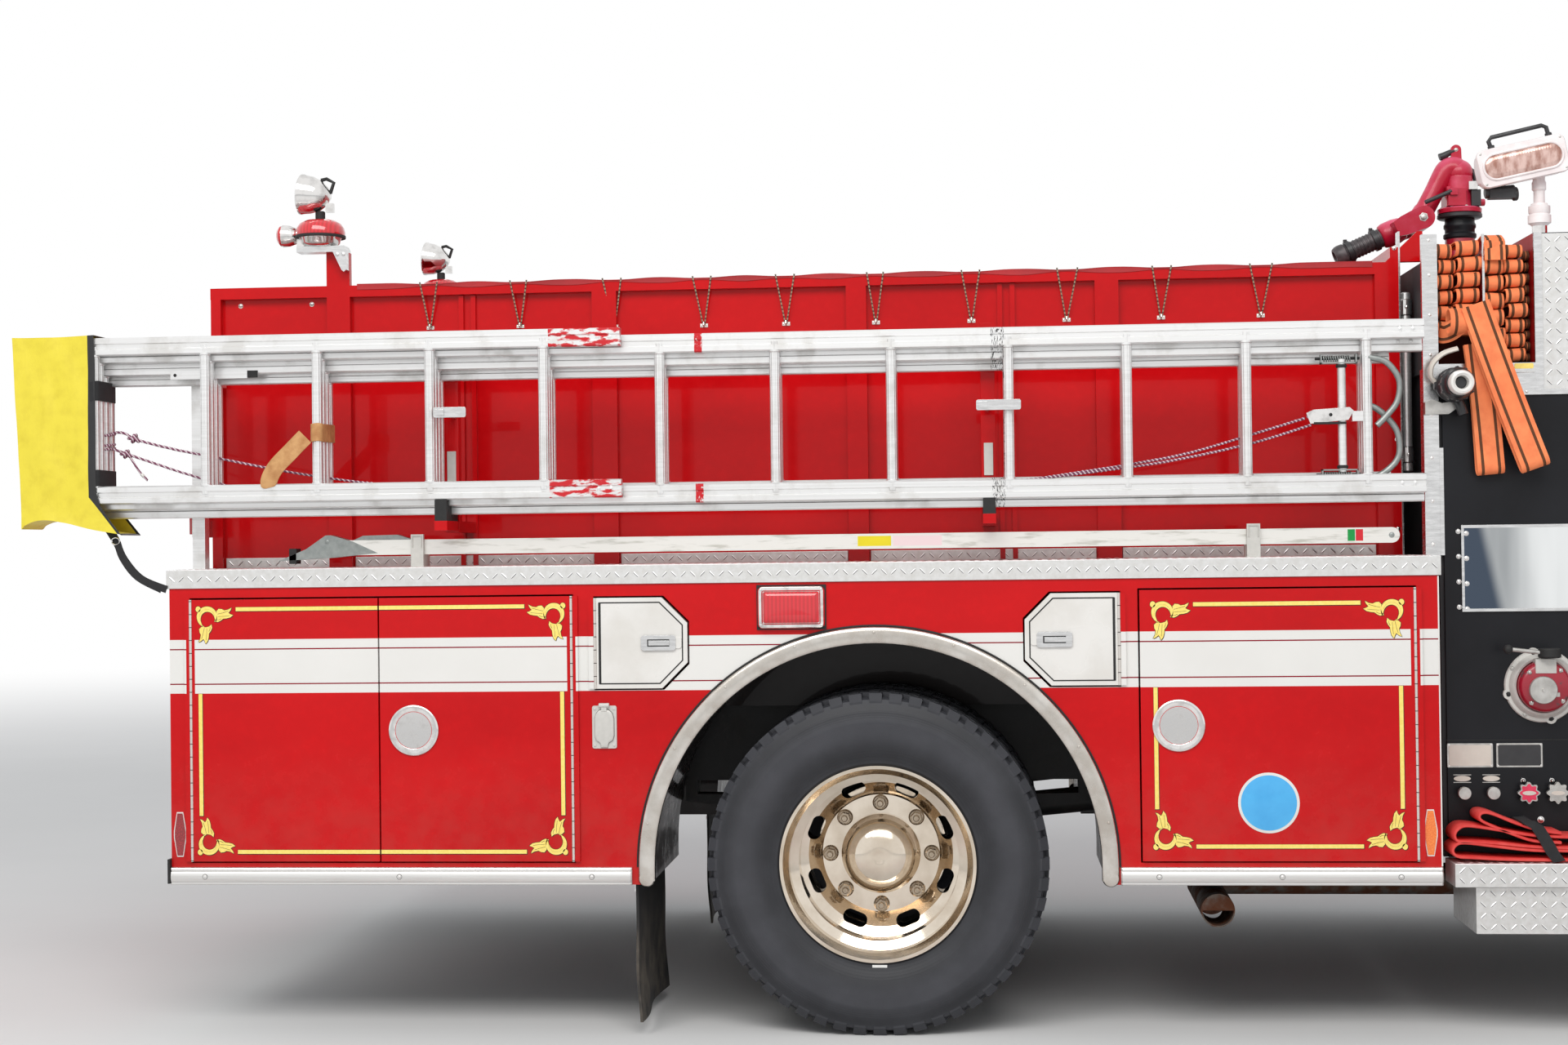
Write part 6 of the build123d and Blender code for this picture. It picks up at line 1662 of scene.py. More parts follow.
shape.made("pump_panel_trim", bevel=0.0008, nodes=["pump_fittings"], both=True, smooth=40)

# Observation window: a polished sheet behind a bright frame, held by screws at both edges.
window_glass = Finish("panel_window", "glass", Metallic=1.0)
# Streaks of light and dark over the polished sheet are painted reflections, and a painted shadow darkens
# its rear, lower part.
painted_reflection_bands = window_glass.noise(5, 3, (1.0, 1, 0.12)).above(0.5, 0.28)
shadow = 1 - (window_glass.x + window_glass.z * 0.22).above(at(1.850) + 1.4 * 0.22, 0.02)
look = painted_reflection_bands.tint((150, 154, 156), (236, 238, 238))
window_glass.feed(
    Base_Color=shadow.tint(look, (74, 84, 98)), Roughness=window_glass.noise(20, 4) * 0.10 + 0.03
)
window_glass.bump(window_glass.noise(9, 2, (1, 1, 0.15)), 0.003, 0.25)
shape = Shape(window_glass, bright, chrome, panel_black)
shape.use(window_glass).box((at(1.768), -1.1000, 1.274), (at(2.223), -1.0975, 1.520))
for low, high in (
    ((1.761, 1.267), (2.230, 1.276)), ((1.761, 1.518), (2.230, 1.527)),
    ((1.761, 1.2765), (1.769, 1.5175)), ((2.222, 1.2765), (2.230, 1.5175))
):
    shape.use(bright).box((at(low[0]), -1.1035, low[1]), (at(high[0]), -1.0972, high[1]))
for x in (1.7535, 2.2375):
    for z in (1.508, 1.433, 1.357, 1.281):
        bolt(shape.use(chrome), (at(x), -1.0970, z), 0.0055, 0.003, count=16)
        bolt(shape, (at(1.776 if x < 2 else 2.215), -1.1000, z - 0.006), 0.0058, 0.002, count=16)
shape.made("observation_window", nodes=["pump_fittings"], bevel=0.0008, both=True, smooth=40)

# Discharge valves: a cast iron flange, a red bonnet bolted to it, a bright cap on a pin, and
# a lever with a ball end on a black hub above.
valve_red = Finish("valve_red", "monitor_red", Coat_Weight=0.3)
chipped = valve_red.noise(40, 6).above(0.63, 0.06)
valve_red.worn(chipped, valve_red.noise(8).tint((140, 14, 34), (178, 30, 54)), (90, 60, 62), 0.3, 0.28)
cap_metal = Finish("cap_metal", "brushed", Metallic=0.8)
dull = cap_metal.noise(30, 5).above(0.5, 0.3)
cap_metal.worn(dull, (206, 204, 200), (164, 162, 158), 0.2, 0.3)
cap_metal.bump(cap_metal.noise(200, 3), 0.0003, 0.6)
front = -1.097
shape = Shape(cast_grey, valve_red, cap_metal, gasket, chrome)
for valve_x in (1.990, 2.560):
    centre = Vector((at(valve_x), front, 1.044))
    flange = (
        (0, 0.110), (0.006, 0.110), (0.010, 0.107), (0.012, 0.098), (0.024, 0.092), (0.030, 0.086),
        (0.028, 0.080), (0.014, 0.078)
    )
    shape.use(cast_grey).turned(flange + ((0.012, 0.0),), centre, count=64)
    for turn in range(8):
        angle = math.radians(45 * turn + 14)
        where = centre + Vector((math.cos(angle), 0, math.sin(angle))) * 0.1
        lug = [where + Vector((math.cos(t), 0, math.sin(t))) * 0.017 for t in circle(16)]
        if turn % 2 == 0:
            shape.use(cast_grey).slab(lug, (0, -0.011, 0))
        bolt(
            shape.use(cap_metal if turn % 2 else gasket), where - Vector((0, 0.010, 0)), 0.0072, 0.005,
            count=6
        )
    bonnet = ((0.012, 0.077), (0.040, 0.077), (0.052, 0.072), (0.058, 0.064), (0.060, 0.0))
    shape.use(valve_red).turned(bonnet, centre, count=48)
    shape.use(cast_grey).box(
        centre + Vector((-0.030, -0.060, 0.040)), centre + Vector((0.030, -0.012, 0.082))
    )
    for turn in range(4):
        angle = math.radians(90 * turn + 48)
        bolt(
            shape.use(cap_metal),
            centre + Vector((0.063 * math.cos(angle), -0.056, 0.063 * math.sin(angle))), 0.0062, 0.006,
            count=6
        )
    cap_at = centre + Vector((-0.016, -0.058, -0.008))
    shape.use(cap_metal).turned(
        ((0, 0.030), (0.022, 0.030), (0.022, 0.040), (0.034, 0.041), (0.037, 0.039), (0.037, 0.0)),
        cap_at, count=48
    )
    shape.turned(((0, 0.006), (0.006, 0.005)), cap_at + Vector((0, -0.037, 0)), count=16)
    shape.box(
        cap_at + Vector((0.036, -0.030, -0.020)), cap_at + Vector((0.048, -0.014, -0.008))
    )
    hub = centre + Vector((0.010, -0.062, 0.086))
    shape.use(gasket).turned(
        ((0, 0.030), (0.004, 0.033), (0.024, 0.033), (0.028, 0.030), (0.028, 0.0)), hub, (0, 0, 1), 32
    )
    shape.use(cap_metal).rod(
        hub + Vector((-0.028, -0.006, 0.016)), hub + Vector((-0.112, -0.010, 0.026)), 0.0062, 16
    )
    ball = [
        (0.014 - 0.014 * math.cos(math.pi * i / 10), 0.014 * math.sin(math.pi * i / 10))
        for i in range(11)
    ]
    shape.use(gasket).turned(ball, hub + Vector((-0.108, -0.010, 0.0255)), (-1, 0, 0.1), 24)
shape.made("discharge_valves", nodes=["pump_fittings"], both=True, smooth=36)

# Suction inlet: a large plated cap with two long handles over its threaded mouth.
shape = Shape(chrome, cast_grey, gasket)
centre = Vector((at(2.300), front, 0.800))
shape.use(cast_grey).turned(
    ((0, 0.140), (0.010, 0.140), (0.014, 0.136), (0.014, 0.115)), centre, count=64
)
shape.turned(((0.0, 0.112), (0.115, 0.112), (0.118, 0.100)), centre, count=64)
shape.use(chrome).turned(
    (
        (0.112, 0.118), (0.118, 0.124), (0.150, 0.124), (0.158, 0.120), (0.160, 0.110), (0.156, 0.080),
        (0.165, 0.060), (0.165, 0.0)
    ),
    centre, count=64
)
for angle in (20, 200):
    turn = Vector((math.cos(math.radians(angle)), 0, math.sin(math.radians(angle))))
    shape.use(chrome).tube(
        [centre + turn * r + Vector((0, -0.138, 0)) for r in (0.118, 0.135, 0.155)],
        [0.011, 0.009, 0.012], 16
    )
for turn in range(8):
    angle = math.radians(45 * turn + 22.5)
    bolt(
        shape.use(gasket), centre + Vector((0.128 * math.cos(angle), -0.0135, 0.128 * math.sin(angle))),
        0.007, 0.005, count=6
    )
shape.made("suction_inlet", nodes=["pump_fittings"], both=True, smooth=36)

# Gauges: plated bezels over pale dials with plain tick marks and a dark needle.
dial_white = Finish("dial_white", "white_paint", Coat_Weight=1.0, Coat_Roughness=0.02)
dial_white.mottled(9, (226, 226, 222), (242, 242, 240), (30, 0.1, 0.3))
shape = Shape(chrome, dial_white, gasket, valve_red)
for x, z, size in (
    (2.190, 1.700, 0.088), (2.376, 1.700, 0.088), (2.520, 1.760, 0.050), (2.660, 1.760, 0.050),
    (2.520, 1.630, 0.050), (2.660, 1.630, 0.050)
):
    centre = Vector((at(x), front, z))
    shape.use(chrome).turned(
        ((0, size), (0.020, size), (0.025, size * 0.97), (0.026, size * 0.93), (0.018, size * 0.90)),
        centre, count=64
    )
    shape.use(dial_white).turned(
        ((0.002, size * 0.90), (0.0175, size * 0.90), (0.0176, 0)), centre, count=64
    )
    for tick in range(25):
        turn = math.radians(225 - 270 * tick / 24)
        ray, beside = Vector((math.cos(turn), 0, math.sin(turn))), Vector(
            (-math.sin(turn), 0, math.cos(turn))
        )
        inner, wide = (0.70, 0.010) if tick % 4 == 0 else (0.78, 0.005)
        face = centre - Vector((0, 0.0180, 0))
        start, end, half = ray * size * inner, ray * size * 0.85, beside * size * wide
        mark = [face + p for p in (start - half, end - half, end + half, start + half)]
        shape.use(gasket).slab(mark, (0, -0.0006, 0))
    ray, beside = Vector((-0.62, 0, -0.62)) * size, Vector((0.03, 0, -0.03)) * size
    face = centre - Vector((0, 0.0195, 0))
    foot, tip = face - ray * 0.2, face + ray
    needle = [foot - beside, tip - beside * 0.3, tip + beside * 0.3, foot + beside]
    shape.use(valve_red).slab(needle, (0, -0.001, 0))
    shape.use(chrome).rod(
        centre - Vector((0, 0.017, 0)), centre - Vector((0, 0.0225, 0)), size * 0.07, 20
    )
shape.made("panel_gauges", nodes=["pump_fittings"], both=True, smooth=36)

# Plates and knobs below the valves: blank plates in bright rims, oval tabs, two pull knobs,
# two star wheels and their pins.
plate_pale = Finish("plate_pale", "white_paint")
plate_pale.mottled(22, (222, 214, 204), (198, 190, 180), (40, 0.2, 0.35), 5)
plate_dark = Finish("plate_dark", "panel_black")
plate_dark.mottled(22, (34, 34, 37), (58, 58, 60), (40, 0.2, 0.3), 5)
knob_red = Finish("knob_red", "red_paint")
knob_red.mottled(60, (208, 28, 70), (232, 70, 104), (90, 0.2, 0.35), 4)
shape = Shape(plate_pale, plate_dark, cap_metal, chrome, knob_red, gasket)
for x0, x1, tone in ((1.711, 1.845, plate_pale), (1.855, 1.990, plate_dark)):
    shape.use(cap_metal).plate(rounded(at(x0), at(x1), 0.800, 0.872, 0.003), front, 0.0012)
    shape.use(tone).plate(
        rounded(at(x0) + 0.005, at(x1) - 0.005, 0.805, 0.867, 0.002), front - 0.001, 0.0010
    )
    for x in (x0 + 0.005, x1 - 0.005):
        for z in (0.805, 0.867):
            bolt(shape.use(chrome), (at(x), front - 0.0012, z), 0.0028, 0.0014)
shape.use(gasket).box((at(1.706), front - 0.0012, 0.8805), (at(2.830), front, 0.8830))
for x in (1.754, 1.839):
    for z in (0.7765, 0.7540):
        shape.use(cap_metal).box((at(x) - 0.026, front - 0.0012, z), (at(x) + 0.026, front, z + 0.0022))
    oval = [(at(x) + 0.025 * math.cos(t), 0.7665 + 0.0085 * math.sin(t)) for t in circle(24)]
    shape.use(plate_pale).plate(oval, front, 0.0014)
    shape.use(gasket).rod((at(x), front, 0.726), (at(x), front - 0.022, 0.726), 0.009)
    shape.use(cap_metal).turned(
        ((0.018, 0.015), (0.021, 0.0185), (0.034, 0.0195), (0.037, 0.018), (0.038, 0.0)),
        (at(x), front, 0.726), count=32
    )
for x, tone in ((1.942, knob_red), (2.026, cap_metal)):
    centre = Vector((at(x), front, 0.726))
    shape.use(gasket).rod(centre, centre - Vector((0, 0.020, 0)), 0.010)
    star = []
    for t in circle(64):
        r = 0.029 + 0.004 * math.cos(8 * t)
        star.append((r * math.cos(t), r * math.sin(t)))
    shape.use(cap_metal).prism(star, centre - Vector((0, 0.018, 0)), (1, 0, 0), (0, 0, 1), 0.014)
    shape.use(tone).prism(
        [(a * 0.84, b * 0.84) for a, b in star], centre - Vector((0, 0.031, 0)), (1, 0, 0), (0, 0, 1),
        0.0025
    )
    oval = [(0.020 * math.cos(t), 0.0065 * math.sin(t)) for t in circle(20)]
    shape.use(plate_pale).prism(oval, centre - Vector((0, 0.0333, 0)), (1, 0, 0), (0, 0, 1), 0.0012)
    bolt(shape.use(chrome), (at(x) - 0.010, front, 0.760), 0.0055, 0.008, count=16)
bolt(shape.use(chrome), (at(1.982), front, 0.643), 0.0075, 0.006, count=20)
shape.made("panel_plates_and_knobs", nodes=["pump_fittings"], bevel=0.0004, both=True, smooth=40)

# The monitor's riser: a flanged pipe, black over red, bolted to the deck.
shape = Shape(valve_red, panel_black, cap_metal)
riser = Vector((at(2.004), 0, 2.403))
shape.use(valve_red).turned(
    ((0, 0.095), (0.014, 0.095), (0.018, 0.091), (0.019, 0.062), (0.030, 0.054), (0.130, 0.050)), riser,
    (0, 0, 1), 48
)
collar = (
    (0.126, 0.0505), (0.132, 0.0560), (0.142, 0.0560), (0.148, 0.0505), (0.160, 0.0505), (0.166, 0.0545),
    (0.176, 0.0545), (0.182, 0.0505), (0.1965, 0.0505), (0.1965, 0.0)
)
shape.use(panel_black).turned(collar, riser, (0, 0, 1), 48)
for turn in range(8):
    angle = math.radians(45 * turn)
    bolt(
        shape.use(cap_metal), riser + Vector((0.078 * math.cos(angle), 0.078 * math.sin(angle), 0.0185)),
        0.008, 0.006, count=6, out=(0, 0, 1)
    )
shape.made("monitor_riser", nodes=["pump_fittings"], smooth=36)
# Crosslay hose: orange lined hose with two dark stripes, laid flat in folds across the tray.
# Each fold's end bulges in the tray's mouth, and two slack loops hang out over the nozzle.
hose_orange = Finish("crosslay_hose", "hose_fabric", Roughness=0.78, Specular_IOR_Level=0.25)
soiled = hose_orange.noise(26, 6).above(0.55, 0.3)
fold_dark = hose_orange.noise(7, 2).above(0.5, 0.6)
hose_orange.feed(Base_Color=soiled.tint(fold_dark.tint((255, 156, 104), (250, 138, 86)), (236, 124, 80)))
weave = (hose_orange.z + hose_orange.x * 0.3).waves(0.0016)
hose_orange.bump(weave * 60 + hose_orange.noise(90, 3), 0.0009, 0.5)
hose_stripe = Finish("hose_stripe", "hose_fabric", Roughness=0.8)
hose_stripe.feed(Base_Color=hose_stripe.noise(60, 4).tint((104, 58, 24), (74, 44, 24)))
# A dark reddish brown used only for painted shade in the gaps between the hose folds.
hose_inside = Finish("hose_inside", "rubber", Roughness=0.9)
hose_inside.feed(Base_Color=hose_inside.noise(40, 3).tint((98, 32, 16), (60, 20, 12)))


def ribbon(shape, path, side, width, thick, tone, stripes=(0.20, 0.80), lift=0.0006, closed=False):
    """A flat strip of hose along a path, its width along the side, with raised stripes."""
    path = [Vector(p) for p in path]
    last = len(path)
    sections, normals = [], []
    for i, point in enumerate(path):
        before = path[i - 1] if i or closed else point
        after = path[(i + 1) % last] if i + 1 < last or closed else point
        across = side(i / (last - 1)) if callable(side) else Vector(side)
        run = (after - before).normalized()
        across = (across - run * across.dot(run)).normalized()
        normals.append((across, run.cross(across)))
    for i, point in enumerate(path):
        across, out = normals[i]
        half, round_off = width / 2, min(thick * 0.45, 0.0026)
        outline = (
            (-half, 0.5), (-half, -0.5), (-half + round_off, -1.0), (half - round_off, -1.0),
            (half, -0.5), (half, 0.5), (half - round_off, 1.0), (-half + round_off, 1.0),
        )
        sections.append([point + across * a + out * b * thick / 2 for a, b in outline])
    shape.use(tone).rings(sections, closed)
    for share in stripes:
        for face in (-1, 1):
            rows = []
            for i, point in enumerate(path):
                across, out = normals[i]
                middle = (share - 0.5) * width
                rise = face * (thick / 2 + lift)
                sunk = face * (thick / 2 - 0.001)
                rows.append(
                    [
                        point + across * (middle + a) + out * b
                        for a, b in ((-0.0042, sunk), (-0.0042, rise), (0.0042, rise), (0.0042, sunk))
                    ]
                )
            shape.use(hose_stripe).rings(rows, closed)


def fold_end(shape, x0, x1, z, front, height, lean, deep=0.20, tilt=0.0):
    """One fold in the stack: two flat layers joined by a bulged bend towards the mouth."""
    path, half = [], height / 2 - 0.003
    for i in range(3):
        path.append((front + deep - deep * 0.36 * i, half))
    for i in range(1, 12):
        turn = math.radians(90 - 180 * i / 12)
        path.append((front + 0.022 - 0.022 * math.cos(turn), half * math.sin(turn)))
    for i in range(3):
        path.append((front + deep - deep * 0.36 * (2 - i), -half))
    middle = (x0 + x1) / 2
    across = Vector((1, lean, tilt)).normalized()
    ribbon(shape, [(middle, y, z + h) for y, h in path], across, x1 - x0, 0.0055, hose_orange)


shape = Shape(hose_orange, hose_stripe, hose_inside)
random.seed(7)
columns = (
    (1.7055, 1.758, 6, 0.0, 2.3800),
    (1.761, 1.831, 6, 0.012, 2.3880),
    (1.8480, 1.906, 7, 0.004, 2.3900),
    (1.9110, 1.967, 8, 0.0, 2.3750),
)
for x0, x1, count, ahead_by, top in columns:
    base = 2.016 if x0 > 1.84 else 2.100
    step = (top - base) / count
    for layer in range(count):
        loose = layer / count
        jitter = random.uniform(-0.004, 0.004) * (1 + loose)
        front_y = -1.068 - ahead_by - random.uniform(0.0, 0.020) - 0.006 * loose
        lean, tilt = random.uniform(-0.14, 0.26), random.uniform(-0.07, 0.09)
        level = base + (layer + 0.5) * step
        fold_end(
            shape, at(x0) + jitter, at(x1) + jitter, level, front_y, step * random.uniform(0.88, 0.97),
            lean, tilt=tilt
        )
for layer in range(10):
    z = 2.032 + layer * 0.0345
    fold_end(shape, at(1.9705), at(1.9875), z, -1.030 - 0.006 * (layer % 2), 0.030, 0.0, 0.12)
# A dark block deep in the stack behind the fold ends: painted shade showing between the layers.
shape.use(hose_inside).box((at(1.704), -1.000, 2.014), (at(1.987), -0.880, 2.330))
over_top = [
    (at(1.874), y, z)
    for y, z in (
        (-0.960, 2.372), (-1.010, 2.396), (-1.052, 2.400), (-1.084, 2.386), (-1.098, 2.355),
        (-1.100, 2.322)
    )
]
ribbon(shape, over_top, (1, 0.05, 0), 0.062, 0.006, hose_orange)
shape.made("crosslay_folds", nodes=["hoses"], both=True, smooth=50)

shape = Shape(hose_orange, hose_stripe, hose_inside)


def hanging(top, bottom, y, wide, sag):
    """A slack loop: down behind, round its bottom fold and up in front."""
    top, bottom = Vector((at(top[0]), y, top[1])), Vector((at(bottom[0]), y, bottom[1]))
    down = bottom - top
    across = down.cross(Vector((0, 1, 0))).normalized()
    down_unit, length = down.normalized(), down.length
    path, deep, steps = [], 0.0165, 12
    for i in range(steps + 1):
        share = i / steps
        gap = deep * (0.55 + 0.45 * share ** 2)
        path.append(
            top + down_unit * (length - 0.020) * share + Vector((0, gap, 0)) + across * sag * math.sin(
                math.pi * share
            )
        )
    for i in range(1, 10):
        turn = math.radians(180 * i / 10)
        path.append(
            top + down_unit * (
                length - 0.020 + 0.020 * math.sin(turn)
            ) + Vector((0, deep * math.cos(turn), 0))
        )
    for i in range(steps + 1):
        share = 1 - i / steps
        gap = deep * (0.55 + 0.45 * share ** 2)
        path.append(
            top + down_unit * (
                length - 0.020
            ) * share - Vector((0, gap, 0)) + across * sag * 0.6 * math.sin(
                math.pi * share
            )
        )
    ribbon(shape, path, across, wide, 0.0058, hose_orange)


hanging((1.812, 2.070), (1.846, 1.680), -1.121, 0.080, 0.004)
hanging((1.798, 2.184), (1.968, 1.694), -1.162, 0.086, -0.004)
roll, centre = [], (-1.128, 2.135)
for i in range(19):
    turn = math.radians(-150 + 330 * i / 18)
    spread = 0.036 + 0.003 * i / 18
    roll.append((at(1.770), centre[0] - spread * math.cos(turn), centre[1] + spread * math.sin(turn)))
ribbon(shape, roll, (1, 0.12, 0), 0.088, 0.0058, hose_orange)
feed = [
    (at(x), y, z)
    for x, y, z in (
        (1.712, -1.075, 2.110), (1.722, -1.098, 2.104), (1.742, -1.118, 2.112), (1.764, -1.140, 2.130)
    )
]
ribbon(shape, smooth_line(feed, 4), (0.3, -0.35, 0.85), 0.060, 0.005, hose_orange)
shape.made("hanging_loops", nodes=["hoses"], smooth=50)

# Nozzle parked in the tray's mouth: black body and pistol grip, pale bail handle, and a
# bright ring round the outlet.
nozzle_black = Finish("nozzle_black", "plastic", Coat_Weight=0.2)
nozzle_black.mottled(30, (18, 18, 20), (44, 44, 47), (60, 0.25, 0.3), 5)
shape = Shape(nozzle_black, cap_metal, plate_pale, white_paint)
seat = Vector((at(1.735), -1.105, 1.945))
body = (
    (0, 0.034), (0.004, 0.040), (0.030, 0.050), (0.050, 0.052), (0.058, 0.046), (0.080, 0.042),
    (0.086, 0.048), (0.112, 0.049), (0.118, 0.044), (0.140, 0.040)
)
shape.use(nozzle_black).turned(body + ((0.140, 0.0),), seat, count=48)
for turn in circle(12):
    rib = seat + Vector((0.0485 * math.cos(turn), -0.099, 0.0485 * math.sin(turn)))
    shape.rod(rib + Vector((0, 0.012, 0)), rib - Vector((0, 0.012, 0)), 0.0042, 10)
tip = (
    (0.138, 0.020), (0.138, 0.036), (0.146, 0.0375), (0.166, 0.0365), (0.174, 0.033), (0.176, 0.027),
    (0.170, 0.020), (0.150, 0.017), (0.142, 0.017)
)
shape.use(white_paint).turned(tip, seat, count=48, closed=True)
shape.use(nozzle_black).turned(((0.139, 0.0185), (0.150, 0.0150), (0.150, 0.0)), seat, count=32)
bail = smooth_line(
    [
        seat + Vector(p)
        for p in (
            (-0.050, -0.030, 0.010), (-0.064, -0.036, 0.030), (-0.060, -0.044, 0.064),
            (-0.030, -0.052, 0.094), (0.012, -0.056, 0.108)
        )
    ],
    5
)
shape.use(plate_pale).tube(bail, 0.0125, 14, flat=0.55, side=(0, 1, 0))
shape.use(nozzle_black).tube(
    smooth_line(
        [
            seat + Vector(p)
            for p in ((0.012, -0.030, -0.040), (0.022, -0.034, -0.062), (0.030, -0.036, -0.088))
        ],
        4
    ),
    0.019, 14, flat=0.7
)
shape.rod(seat + Vector((-0.055, -0.034, 0)), seat + Vector((0.055, -0.034, 0)), 0.014, 20)
bracket = [
    (-0.079, -0.085), (-0.010, -0.085), (0.022, -0.062), (0.014, -0.046), (-0.030, -0.052),
    (-0.058, -0.040), (-0.079, -0.048)
]
shape.use(cap_metal).prism(bracket, seat + Vector((0, 0.006, 0)), (1, 0, 0), (0, 0, 1), 0.030)
shape.made("crosslay_nozzle", nodes=["hoses"], smooth=40)

# Step hose: red rubber covered hose folded flat on the running board under a black strap.
step_red = Finish("step_hose", "hose_fabric", Roughness=0.62)
chalky = step_red.noise(24, 6).above(0.5, 0.3)
step_red.feed(Base_Color=chalky.tint((214, 50, 48), (228, 84, 78)))
step_red.bump(step_red.noise(240, 4), 0.0007, 0.5)
shape = Shape(step_red, hose_stripe, gasket, webbing, cap_metal)
folds = (
    (
        (2.226, 0.606), (2.050, 0.606), (1.930, 0.612), (1.830, 0.628), (1.745, 0.640), (1.716, 0.632),
        (1.704, 0.612), (1.716, 0.594), (1.760, 0.592), (1.830, 0.588), (1.930, 0.578), (2.050, 0.574),
        (2.226, 0.574)
    ),
    (
        (2.010, 0.618), (1.950, 0.626), (1.880, 0.648), (1.812, 0.676), (1.784, 0.678), (1.776, 0.664),
        (1.794, 0.648), (1.860, 0.620), (1.930, 0.596), (2.010, 0.590)
    ),
    (
        (2.226, 0.566), (2.050, 0.566), (1.930, 0.568), (1.820, 0.580), (1.735, 0.590), (1.708, 0.584),
        (1.698, 0.566), (1.712, 0.550), (1.760, 0.546), (1.900, 0.540), (2.226, 0.538)
    ),
)
for route in folds:
    points = smooth_line([(at(x), -1.165, z) for x, z in route], 5)
    ribbon(shape, points, (0, 1, 0), 0.118, 0.0085, step_red, stripes=())
strap_path = [
    (at(x), z)
    for x, z in ((1.914, 0.650), (1.940, 0.634), (1.962, 0.598), (1.984, 0.556), (2.002, 0.533))
]
for y0, y1 in ((-1.2305, -1.2262), (-1.1040, -1.0998)):
    rows = [
        [(x - 0.018, y0, z), (x + 0.018, y0, z + 0.006), (x + 0.018, y1, z + 0.006), (x - 0.018, y1, z)]
        for x, z in strap_path
    ]
    shape.use(webbing).rings(rows)
shape.use(webbing).box((at(1.897), -1.2300, 0.6480), (at(1.931), -1.1000, 0.6525))
shape.made("step_hose", nodes=["hoses"], both=True, smooth=50)
# Deck monitor: a cast waterway painted red turns on a flanged ring, its neck hooked down to
# the trunnion of the barrel. A hand crank, a lock and its handle are bolted to the casting.
monitor_paint = Finish("monitor_paint", "monitor_red", Coat_Weight=0.25, Specular_IOR_Level=0.3)
faded = (monitor_paint.up * 0.5 + monitor_paint.noise(14, 5) * 0.8).above(0.62, 0.35)
monitor_paint.worn(faded, (186, 22, 52), (222, 92, 124), 0.15, 0.34)
monitor_paint.bump(monitor_paint.noise(160, 3), 0.0006, 0.5)
ring_black = Finish("ring_black", "panel_black", Coat_Weight=0.1)
ring_black.mottled(34, (20, 20, 22), (52, 52, 55), (50, 0.25, 0.35), 5)
riser_x, tilt_at = at(2.004), Vector((at(1.860), 0, 2.596))
ring_z, dome_z = 2.6005, 2.744
shape = Shape(monitor_paint, ring_black, chrome, cap_metal)
turn_at = Vector((riser_x, 0, ring_z))
shape.use(ring_black).turned(
    ((0, 0.070), (0.004, 0.076), (0.014, 0.076), (0.018, 0.070), (0.018, 0.0)), turn_at, (0, 0, 1), 48
)
shape.use(monitor_paint).turned(
    (
        (0.0185, 0.058), (0.0185, 0.074), (0.033, 0.075), (0.037, 0.070), (0.039, 0.054), (0.060, 0.050),
        (0.110, 0.048), (0.1435, 0.0455)
    ),
    turn_at, (0, 0, 1), 48
)
for turn in range(8):
    angle = math.radians(45 * turn + 10)
    bolt(
        shape.use(cap_metal),
        turn_at + Vector((0.063 * math.cos(angle), 0.063 * math.sin(angle), 0.0365)), 0.006, 0.005,
        count=6, out=(0, 0, 1)
    )
neck = [
    (2.004, 2.738), (2.001, 2.762), (1.986, 2.778), (1.962, 2.772), (1.940, 2.738), (1.915, 2.690),
    (1.888, 2.640), (1.866, 2.606)
]
route = smooth_line([(at(x), 0, z) for x, z in neck], 4)
swell = [
    0.046 - 0.012 * min(1, i / (len(route) - 1) * 1.5) + 0.003 * (i > len(route) - 5)
    for i in range(len(route))
]
shape.use(monitor_paint).tube(route, swell, 28, side=(0, 1, 0))
ball = [
    (0.047 - 0.047 * math.cos(math.pi * i / 16), 0.047 * math.sin(math.pi * i / 16)) for i in range(17)
]
shape.turned(ball, (riser_x, 0, dome_z - 0.030), (0, 0, 1), 32)
shape.rod(tilt_at - Vector((0, 0.095, 0)), tilt_at + Vector((0, 0.095, 0)), 0.0395, 40)
for side in (-1, 1):
    shape.turned(
        ((0, 0.0395), (0.004, 0.034), (0.004, 0.0)), tilt_at + Vector((0, side * 0.0905, 0)),
        (0, side, 0), 32
    )
shape.box((riser_x - 0.052, -0.050, ring_z + 0.040), (riser_x - 0.040, 0.050, ring_z + 0.108))
shape.box((riser_x - 0.050, -0.062, ring_z + 0.040), (riser_x + 0.010, -0.044, ring_z + 0.100))
lug = [(-0.026, 0.030), (0.010, 0.030), (0.008, 0.092)] + [
    (-0.010 + 0.018 * math.cos(t), 0.098 + 0.018 * math.sin(t))
    for t in (math.pi * i / 8 for i in range(9))
] + [(-0.026, 0.060)]
shape.prism(lug, (riser_x, 0.008, dome_z), (1, 0, 0), (0, 0, 1), 0.016)
bolt(shape.use(cap_metal), (riser_x - 0.010, -0.008, dome_z + 0.098), 0.0055, 0.004, count=6)
shape.use(ring_black).tube(
    [
        (riser_x - 0.012, 0, dome_z + 0.096), (riser_x - 0.030, 0, dome_z + 0.090),
        (riser_x - 0.048, 0, dome_z + 0.080), (riser_x - 0.066, 0, dome_z + 0.074)
    ],
    [0.009, 0.010, 0.0125, 0.0125], 16
)
shape.box((riser_x + 0.030, -0.056, ring_z + 0.0385), (riser_x + 0.062, -0.024, ring_z + 0.094))
shape.rod(
    (riser_x + 0.046, -0.050, ring_z + 0.050), (riser_x + 0.046, 0.050, ring_z + 0.050), 0.012, 16
)
shape.use(chrome).box(
    (riser_x + 0.020, -0.064, ring_z + 0.094), (riser_x + 0.050, -0.030, ring_z + 0.122)
)
